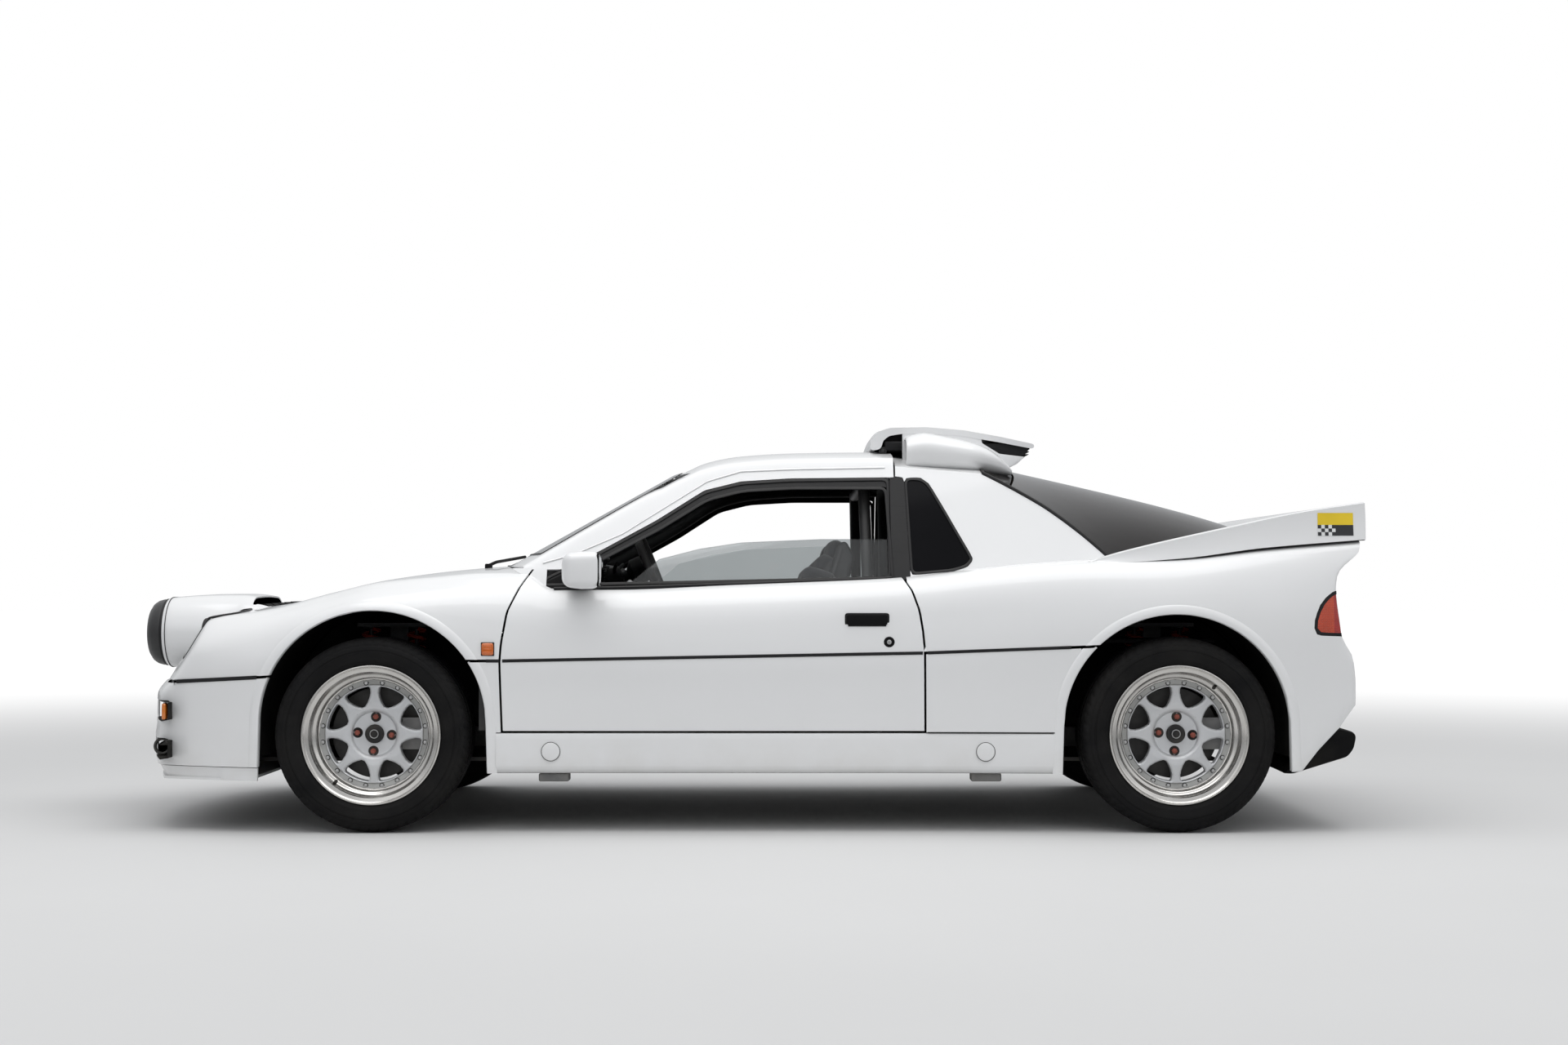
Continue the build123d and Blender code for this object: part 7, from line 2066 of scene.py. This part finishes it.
def column_frame(shape):
    """From wheel space, with its axis along X towards the driver, to its place."""
    c, s = math.cos(math.radians(22)), math.sin(math.radians(22))
    x, y, z = np.asarray(shape[0], float).T
    points = np.stack([x * c - z * s, y, x * s + z * c], -1)
    return points + WHEEL_CENTRE, shape[1]


def build_steering_wheel():
    """Steering wheel, stalks and column shroud."""
    turns = np.linspace(0, 2 * math.pi, 96, endpoint=False)
    grip = np.stack([np.zeros(96), 160 * np.cos(turns), 160 * np.sin(turns)], -1)
    rim = pipe(grip, 14 + 0.5 * np.cos(turns * 3), 16, closed=True)
    spokes = []
    for angle in (0, math.pi, -math.pi / 2):
        c, s = math.cos(angle), math.sin(angle)
        outline = rounded([(30, -19), (156, -13), (156, 13), (30, 19)], 4)
        spoke = prism(outline, -2, 2, 1.0, axis="X")
        pts = spoke[0]
        u, v = pts[:, 1].copy(), pts[:, 2].copy()
        x = pts[:, 0] - 26 * (1 - np.clip(np.hypot(u, v) / 150, 0, 1))
        spokes.append((np.stack([x, u * c - v * s, u * s + v * c], -1), spoke[1]))
        for r in (66, 92, 118):
            spokes.append(lathe([(0, 3.0 - 26 * (1 - r / 150)), (7, 2.6 - 26 * (1 - r / 150)),
                                 (8, 1.4 - 26 * (1 - r / 150))], 20,
                                (0, r * c, r * s), axis="X"))
    boss = lathe([(0, 8), (24, 7), (30, 3), (34, -6), (40, -14), (46, -30), (44, -60), (26, -74), (16, -80),
                  (16, -258), (0, -258)],
                 48, axis="X")
    shroud = lathe([(17, -96), (38, -100), (46, -140), (50, -236), (30, -244), (17, -244)], 40, axis="X")
    stalks = [pipe(bent([(-120, 0, 20), (-110, s * 90, 34), (-92, s * 150, 44)], 30), 6, 10) for s in (-1,
                                                                                                       1)]
    make("steering_wheel_rim", [(column_frame(rim), "leather_black"),
                                (column_frame(join(*spokes)), "satin_steel"),
                                (column_frame(boss), "moulded_black")], "steering_wheel",
         ["steering_wheel"])
    make("column_shroud", [(column_frame(join(shroud, *stalks)), "moulded_black")], "chassis")


def build_dashboard():
    """Dashboard, dials, vents, console and lever."""
    outline = rounded([(-766, 570), (-766, 606), (-660, 712), (-652, 806), (-570, 862), (-440, 858),
                       (-414, 828),
                       (-436, 776), (-484, 668), (-560, 600)], 16, 5)
    body = prism(outline, -640, 640, 12.0)
    points = body[0].copy()
    points[:, 2] -= 12 * (points[:, 1] / 640) ** 2
    hood = prism(rounded([(-640, 846), (-600, 884), (-470, 892), (-418, 868), (-440, 846)], 14), -520, -190,
                 12.0)
    panel = prism(rounded([(-455, 782), (-432, 842), (-424, 840), (-447, 780)], 3), -500, -208, 1.0)
    vents = []
    for y in (-590, -80, 60, 590):
        vents.append(pad_box((-424, y, 812), (14, 96, 40), 5))
        vents += [pad_box((-415, y, 798 + 9 * k), (8, 88, 3), 1.2, steps=2) for k in range(4)]
    dials, marks = [], []
    for y, r in ((-420, 44), (-300, 44), (-360, 22), (-470, 20), (-240, 20)):
        centre = (-430, y, 816)
        dials.append(lathe([(0, -12), (r - 6, -12), (r - 4, -4), (r, -2), (r + 3, -6), (r + 3, -16)], 40,
                           centre, axis="X"))
        for k in range(11):
            a = math.radians(225 - 27 * k)
            place = (-430 - 11.4, y + (r - 12) * math.cos(a), 816 + (r - 12) * math.sin(a))
            marks.append(pad_box(place, (1, 2.2, 2.2), 0.4, steps=1))
        marks.append(pipe([(-440, y, 816), (-440, y + (r - 14) * 0.6, 816 + (r - 14) * 0.7)], 1.0, 6))
    console = prism(rounded([(-470, 420), (-470, 700), (-380, 640), (-60, 500), (-60, 420)], 24), -110, 110,
                    10.0)
    lever = pipe(bent([(-190, 0, 540), (-196, 0, 640), (-186, 0, 690)], 20), 7, 12)
    knob = lathe([(0, 722), (12, 720), (19, 710), (21, 698), (16, 686), (9, 680)], 28, (-186, 0, 0),
                 axis="Z")
    gaiter = lathe([(8, 600), (14, 580), (20, 575), (28, 556), (36, 552), (52, 530), (60, 526)], 28,
                   (-192, 0, 0), axis="Z")
    make("dashboard_moulding", [((points, body[1]), "leather_black"), (hood, "leather_black"),
                                (panel, "moulded_black"),
                                (join(*vents), "moulded_black"), (join(*dials), "dial_face"),
                                (join(*marks), "dial_marks"),
                                (console, "carpet"), (lever, "bolt_steel"),
                                (join(knob, gaiter), "leather_black")],
         "chassis", ["dashboard"])


# CAD nodes that stay shown, with the finish each one gets
KEPT_NODES = {
    "windscreen": "clear_glass", "left_door_glass": "clear_glass", "right_door_glass": "clear_glass",
    "rear_screen": "tinted_glass", "quarter_windows": "dark_glass", "roll_cage": "satin_steel",
    "tub": "satin_steel", "spring_towers": "satin_steel", "front_wishbones": "satin_steel",
    "rear_wishbones": "satin_steel", "left_knuckle": "cast_metal", "right_knuckle": "cast_metal",
    "rear_uprights": "cast_metal", "steering_rack": "cast_alloy", "exhaust": "pipe_steel",
    "front_left_brake_disc": "disc_iron", "front_right_brake_disc": "disc_iron",
    "rear_left_brake_disc": "disc_iron", "rear_right_brake_disc": "disc_iron",
}
BASE_NODES = {
    "front_clam": "body_white", "lamp_pod": "body_white", "lamp_covers": "cover_vinyl",
    "headlamps": "lamp_glass", "rear_clam": "body_white", "roof_scoop": "body_white",
    "tail_lamps": "lens_red", "spoiler": "body_white", "rear_valance": "moulded_black",
    "left_door": "body_white", "right_door": "body_white", "left_mirror": "body_white",
    "right_mirror": "body_white", "cab_frame": "body_white", "front_bumper": "body_white",
    "bumper_lamps": "lens_amber", "front_splitter": "body_white", "lower_side_panels": "body_white",
    "side_sills": "body_white", "dashboard": "leather_black", "seats": "seat_cloth",
    "engine_block": "cast_alloy", "coil_springs": "spring_red", "steering_wheel": "leather_black",
    "front_left_rim": "wheel_silver", "front_right_rim": "wheel_silver",
    "rear_left_rim": "wheel_silver", "rear_right_rim": "wheel_silver",
    "front_left_tyre": "tyre_rubber", "front_right_tyre": "tyre_rubber",
    "rear_left_tyre": "tyre_rubber", "rear_right_tyre": "tyre_rubber",
}


def finish_nodes():
    """Gives each CAD node its finish."""
    for name, finish in {**BASE_NODES, **KEPT_NODES}.items():
        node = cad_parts[name]
        for k in range(len(node.data.materials)):
            node.data.materials[k] = FINISHES[finish]
        if not node.data.materials:
            node.data.materials.append(FINISHES[finish])


def floor_finish(colour):
    """Pale floor that turns to plain white towards the horizon."""
    material = surface("floor_pale", colour, 0.75, (0.7, 0.01), (60.0, 0.05, 0.002))
    g = Graph(material.node_tree, keep=True)
    shader = next(node for node in g.tree.nodes if node.type == "BSDF_PRINCIPLED")
    shade = shader.inputs["Base Color"].links[0].from_socket
    place = g.add("ShaderNodeTexCoord").outputs["Object"]
    reach = g.add("ShaderNodeVectorMath", {0: place}, operation="LENGTH").outputs["Value"]
    far = g.add("ShaderNodeMapRange", {0: reach, 1: 3.0, 2: 11.0, 3: 0.0, 4: 1.0},
                interpolation_type="SMOOTHSTEP")
    g.put(shader.inputs["Base Color"], g.mix(far.outputs[0], shade, (0.0, 0.0, 0.0, 1.0)))
    g.put(shader.inputs["Emission Color"], (1.0, 1.0, 1.0, 1.0))
    seen = g.add("ShaderNodeLightPath").outputs["Is Camera Ray"]
    g.put(shader.inputs["Emission Strength"], g.math("MULTIPLY", far.outputs[0], seen))
    g.put(shader.inputs["Specular IOR Level"], 0.1)
    return material


def build_stage(settings):
    """Floor, sky, lamps and camera."""
    scene = bpy.context.scene
    floor = bpy.data.meshes.new("studio_floor")
    reach = 60.0
    floor.from_pydata([(-reach, -reach, 0), (reach, -reach, 0), (reach, reach, 0), (-reach, reach, 0)], [],
                      [(0, 1, 2, 3)])
    floor.materials.append(floor_finish(settings.floor_colour))
    ground = bpy.data.objects.new("studio_floor", floor)
    scene.collection.objects.link(ground)

    world = bpy.data.worlds.new("studio_sky")
    world.use_nodes = True
    g = Graph(world.node_tree)
    up = g.add("ShaderNodeSeparateXYZ", {0: g.add("ShaderNodeTexCoord").outputs["Generated"]}).outputs[2]
    high = g.range(up, -0.02, 0.6)
    sky = g.mix(high, (0.5, 0.515, 0.53, 1), (1.0, 1.01, 1.03, 1))
    light = g.add("ShaderNodeBackground", {0: sky, 1: settings.sky_level})
    white = g.add("ShaderNodeBackground", {0: (1, 1, 1, 1), 1: 1.0})
    seen = g.add("ShaderNodeLightPath").outputs["Is Camera Ray"]
    both = g.add("ShaderNodeMixShader", {0: seen, 1: light.outputs[0], 2: white.outputs[0]})
    out = g.add("ShaderNodeOutputWorld")
    g.tree.links.new(both.outputs[0], out.inputs[0])
    scene.world = world

    for name, place, size, power in (("soft_top", (0.3, -1.2, 5.5), (7.0, 5.0), settings.top_power),
                                     ("soft_front", (-3.5, -6.5, 3.4), (4.0, 3.0), settings.side_power),
                                     ("soft_rear", (5.0, -5.5, 3.2), (4.0, 3.0), settings.side_power)):
        lamp = bpy.data.lights.new(name, "AREA")
        lamp.shape, lamp.size, lamp.size_y, lamp.energy = "RECTANGLE", size[0], size[1], power
        fitting = bpy.data.objects.new(name, lamp)
        fitting.location = place
        aim = Vector((0.0, 0.0, 0.5)) - Vector(place)
        fitting.rotation_euler = aim.to_track_quat("-Z", "Y").to_euler()
        scene.collection.objects.link(fitting)

    lens = bpy.data.cameras.new("photo_view")
    lens.sensor_width, lens.lens = 36.0, settings.lens
    camera = bpy.data.objects.new("photo_view", lens)
    camera.location = settings.camera_place
    camera.rotation_euler = (math.pi / 2 + settings.camera_pitch, 0, 0)
    scene.collection.objects.link(camera)
    scene.camera = camera
    scene.view_settings.view_transform = "Standard"


class CoupeSettings(bpy.types.PropertyGroup):
    """Choices for the car's looks."""
    paint: bpy.props.FloatVectorProperty(
        name="Paint", description="Base colour of the body paint", subtype="COLOR", size=3, min=0, max=1,
        default=(0.77, 0.775, 0.78))
    seat_fill: bpy.props.FloatProperty(
        name="Seat fill", description="How full the seat cushions are, from slack to tight",
                                       subtype="FACTOR",
        min=0, max=1, default=0.6)


class StudioSettings(bpy.types.PropertyGroup):
    """Choices for the stage round the car."""
    floor_colour: bpy.props.FloatVectorProperty(
        name="Floor", description="Base colour of the studio floor", subtype="COLOR", size=3, min=0, max=1,
        default=(0.6, 0.6, 0.597))
    sky_level: bpy.props.FloatProperty(
        name="Sky level", description="Strength of the plain sky light", min=0, default=0.8)
    top_power: bpy.props.FloatProperty(
        name="Top lamp", description="Power of the wide lamp above", unit="POWER", min=0, default=210.0)
    side_power: bpy.props.FloatProperty(
        name="Side lamps", description="Power of each lamp beside the camera", unit="POWER", min=0,
                                        default=14.0)
    camera_place: bpy.props.FloatVectorProperty(
        name="Camera", description="Where the camera stands", subtype="TRANSLATION", unit="LENGTH", size=3,
        default=(0.171, -8.0, 0.773))
    camera_pitch: bpy.props.FloatProperty(
        name="Camera pitch", description="How far the camera looks up from level", unit="ROTATION",
        default=math.radians(1.595))
    lens: bpy.props.FloatProperty(
        name="Lens", description="Focal length on a 36 mm wide sensor, in millimetres", min=1,
                                  default=52.35)


class COUPE_OT_finishes(bpy.types.Operator):
    """Makes the shader groups and finishes and gives the kept nodes theirs"""
    bl_idname = "coupe.finishes"
    bl_label = "Finishes"

    def execute(self, context):
        make_groups()
        make_finishes(context.scene.coupe.paint)
        finish_nodes()
        return {"FINISHED"}


class COUPE_OT_front_clam(bpy.types.Operator):
    """Builds the bonnet, wings and nose"""
    bl_idname = "coupe.front_clam"
    bl_label = "Front clamshell"

    def execute(self, context):
        build_front_clam()
        return {"FINISHED"}


class COUPE_OT_lamps(bpy.types.Operator):
    """Builds the lamp pod, its covers, the headlamps, vent and repeaters"""
    bl_idname = "coupe.lamps"
    bl_label = "Front lamps"

    def execute(self, context):
        build_pod()
        build_headlamps()
        build_front_trim()
        return {"FINISHED"}


class COUPE_OT_bumper(bpy.types.Operator):
    """Builds the bumper, chin, lamps, tow rings, grille and strips"""
    bl_idname = "coupe.bumper"
    bl_label = "Front bumper"

    def execute(self, context):
        build_bumper()
        return {"FINISHED"}


class COUPE_OT_mirrors(bpy.types.Operator):
    """Builds the door mirrors"""
    bl_idname = "coupe.mirrors"
    bl_label = "Mirrors"

    def execute(self, context):
        for side in SIDES:
            build_mirror(side)
        return {"FINISHED"}


class COUPE_OT_liners(bpy.types.Operator):
    """Builds the black housings over the wheels"""
    bl_idname = "coupe.liners"
    bl_label = "Arch liners"

    def execute(self, context):
        build_liners()
        return {"FINISHED"}


class COUPE_OT_wheels(bpy.types.Operator):
    """Builds the eight-window rims and the tyres"""
    bl_idname = "coupe.wheels"
    bl_label = "Wheels"

    def execute(self, context):
        build_wheels()
        return {"FINISHED"}


class COUPE_OT_scoop(bpy.types.Operator):
    """Builds the roof scoop with its side pods, intake and louvres"""
    bl_idname = "coupe.scoop"
    bl_label = "Roof scoop"

    def execute(self, context):
        build_scoop()
        return {"FINISHED"}


class COUPE_OT_tail(bpy.types.Operator):
    """Builds the tail lamps, the slatted panel and the diffuser"""
    bl_idname = "coupe.tail"
    bl_label = "Tail"

    def execute(self, context):
        build_tail()
        return {"FINISHED"}


class COUPE_OT_springs(bpy.types.Operator):
    """Winds the coil springs round their dampers"""
    bl_idname = "coupe.springs"
    bl_label = "Springs"

    def execute(self, context):
        build_springs()
        return {"FINISHED"}


class COUPE_OT_engine(bpy.types.Operator):
    """Builds the engine, gearbox and bay panels"""
    bl_idname = "coupe.engine"
    bl_label = "Engine"

    def execute(self, context):
        build_engine()
        return {"FINISHED"}


class COUPE_OT_seats(bpy.types.Operator):
    """Builds the seat shells and inflates their cushions"""
    bl_idname = "coupe.seats"
    bl_label = "Seats"

    def execute(self, context):
        build_seats(context.scene.coupe.seat_fill)
        return {"FINISHED"}


class COUPE_OT_steering(bpy.types.Operator):
    """Builds the steering wheel and its column shroud"""
    bl_idname = "coupe.steering"
    bl_label = "Steering wheel"

    def execute(self, context):
        build_steering_wheel()
        return {"FINISHED"}


class COUPE_OT_dashboard(bpy.types.Operator):
    """Builds the dashboard, dials, console and gear lever"""
    bl_idname = "coupe.dashboard"
    bl_label = "Dashboard"

    def execute(self, context):
        build_dashboard()
        return {"FINISHED"}


class COUPE_OT_cab(bpy.types.Operator):
    """Builds the roof, pillars, seals and wipers"""
    bl_idname = "coupe.cab"
    bl_label = "Cab"

    def execute(self, context):
        build_cab_frame()
        return {"FINISHED"}


class COUPE_OT_doors(bpy.types.Operator):
    """Builds both doors with their frames, cards, handles and locks"""
    bl_idname = "coupe.doors"
    bl_label = "Doors"

    def execute(self, context):
        for side in SIDES:
            build_door(side)
        return {"FINISHED"}


class COUPE_OT_rear_clam(bpy.types.Operator):
    """Builds the rear panels with their seams, strips and a thin black line at the sill top as a painted
    shadow line
    """
    bl_idname = "coupe.rear_clam"
    bl_label = "Rear clamshell"

    def execute(self, context):
        build_rear_clam()
        build_rear_trim()
        return {"FINISHED"}


class COUPE_OT_spoiler(bpy.types.Operator):
    """Builds the spoiler and its side sticker"""
    bl_idname = "coupe.spoiler"
    bl_label = "Spoiler"

    def execute(self, context):
        build_spoiler()
        return {"FINISHED"}


class COUPE_OT_sills(bpy.types.Operator):
    """Builds the sills, their caps and the lower side panels"""
    bl_idname = "coupe.sills"
    bl_label = "Sills"

    def execute(self, context):
        build_sills()
        return {"FINISHED"}


class COUPE_OT_stage(bpy.types.Operator):
    """Sets up the floor, sky, lamps and camera"""
    bl_idname = "coupe.stage"
    bl_label = "Studio"

    def execute(self, context):
        build_stage(context.scene.coupe_studio)
        return {"FINISHED"}


STEPS = [COUPE_OT_finishes, COUPE_OT_front_clam, COUPE_OT_lamps, COUPE_OT_bumper, COUPE_OT_mirrors,
         COUPE_OT_liners, COUPE_OT_wheels, COUPE_OT_scoop, COUPE_OT_tail, COUPE_OT_springs, COUPE_OT_engine,
         COUPE_OT_seats, COUPE_OT_steering, COUPE_OT_dashboard, COUPE_OT_cab, COUPE_OT_doors,
         COUPE_OT_rear_clam, COUPE_OT_spoiler, COUPE_OT_sills, COUPE_OT_stage]


class COUPE_PT_panel(bpy.types.Panel):
    """Lists the building steps and their settings."""
    bl_idname = "COUPE_PT_panel"
    bl_label = "Rally coupe"
    bl_space_type = "VIEW_3D"
    bl_region_type = "UI"
    bl_category = "Rally coupe"

    def draw(self, context):
        layout = self.layout
        for settings in (context.scene.coupe, context.scene.coupe_studio):
            for key in type(settings).__annotations__:
                layout.prop(settings, key)
        for operator in STEPS:
            layout.operator(operator.bl_idname)


CLASSES = [CoupeSettings, StudioSettings, *STEPS, COUPE_PT_panel]


def register():
    """Registers the classes and their settings."""
    for item in CLASSES:
        bpy.utils.register_class(item)
    bpy.types.Scene.coupe = bpy.props.PointerProperty(type=CoupeSettings)
    bpy.types.Scene.coupe_studio = bpy.props.PointerProperty(type=StudioSettings)


def unregister():
    """Undoes register."""
    del bpy.types.Scene.coupe_studio
    del bpy.types.Scene.coupe
    for item in reversed(CLASSES):
        bpy.utils.unregister_class(item)


def main():
    """Runs every step in order."""
    register()
    for operator in STEPS:
        group_name, name = operator.bl_idname.split(".")
        getattr(getattr(bpy.ops, group_name), name)()


if __name__ == "__main__":
    main()
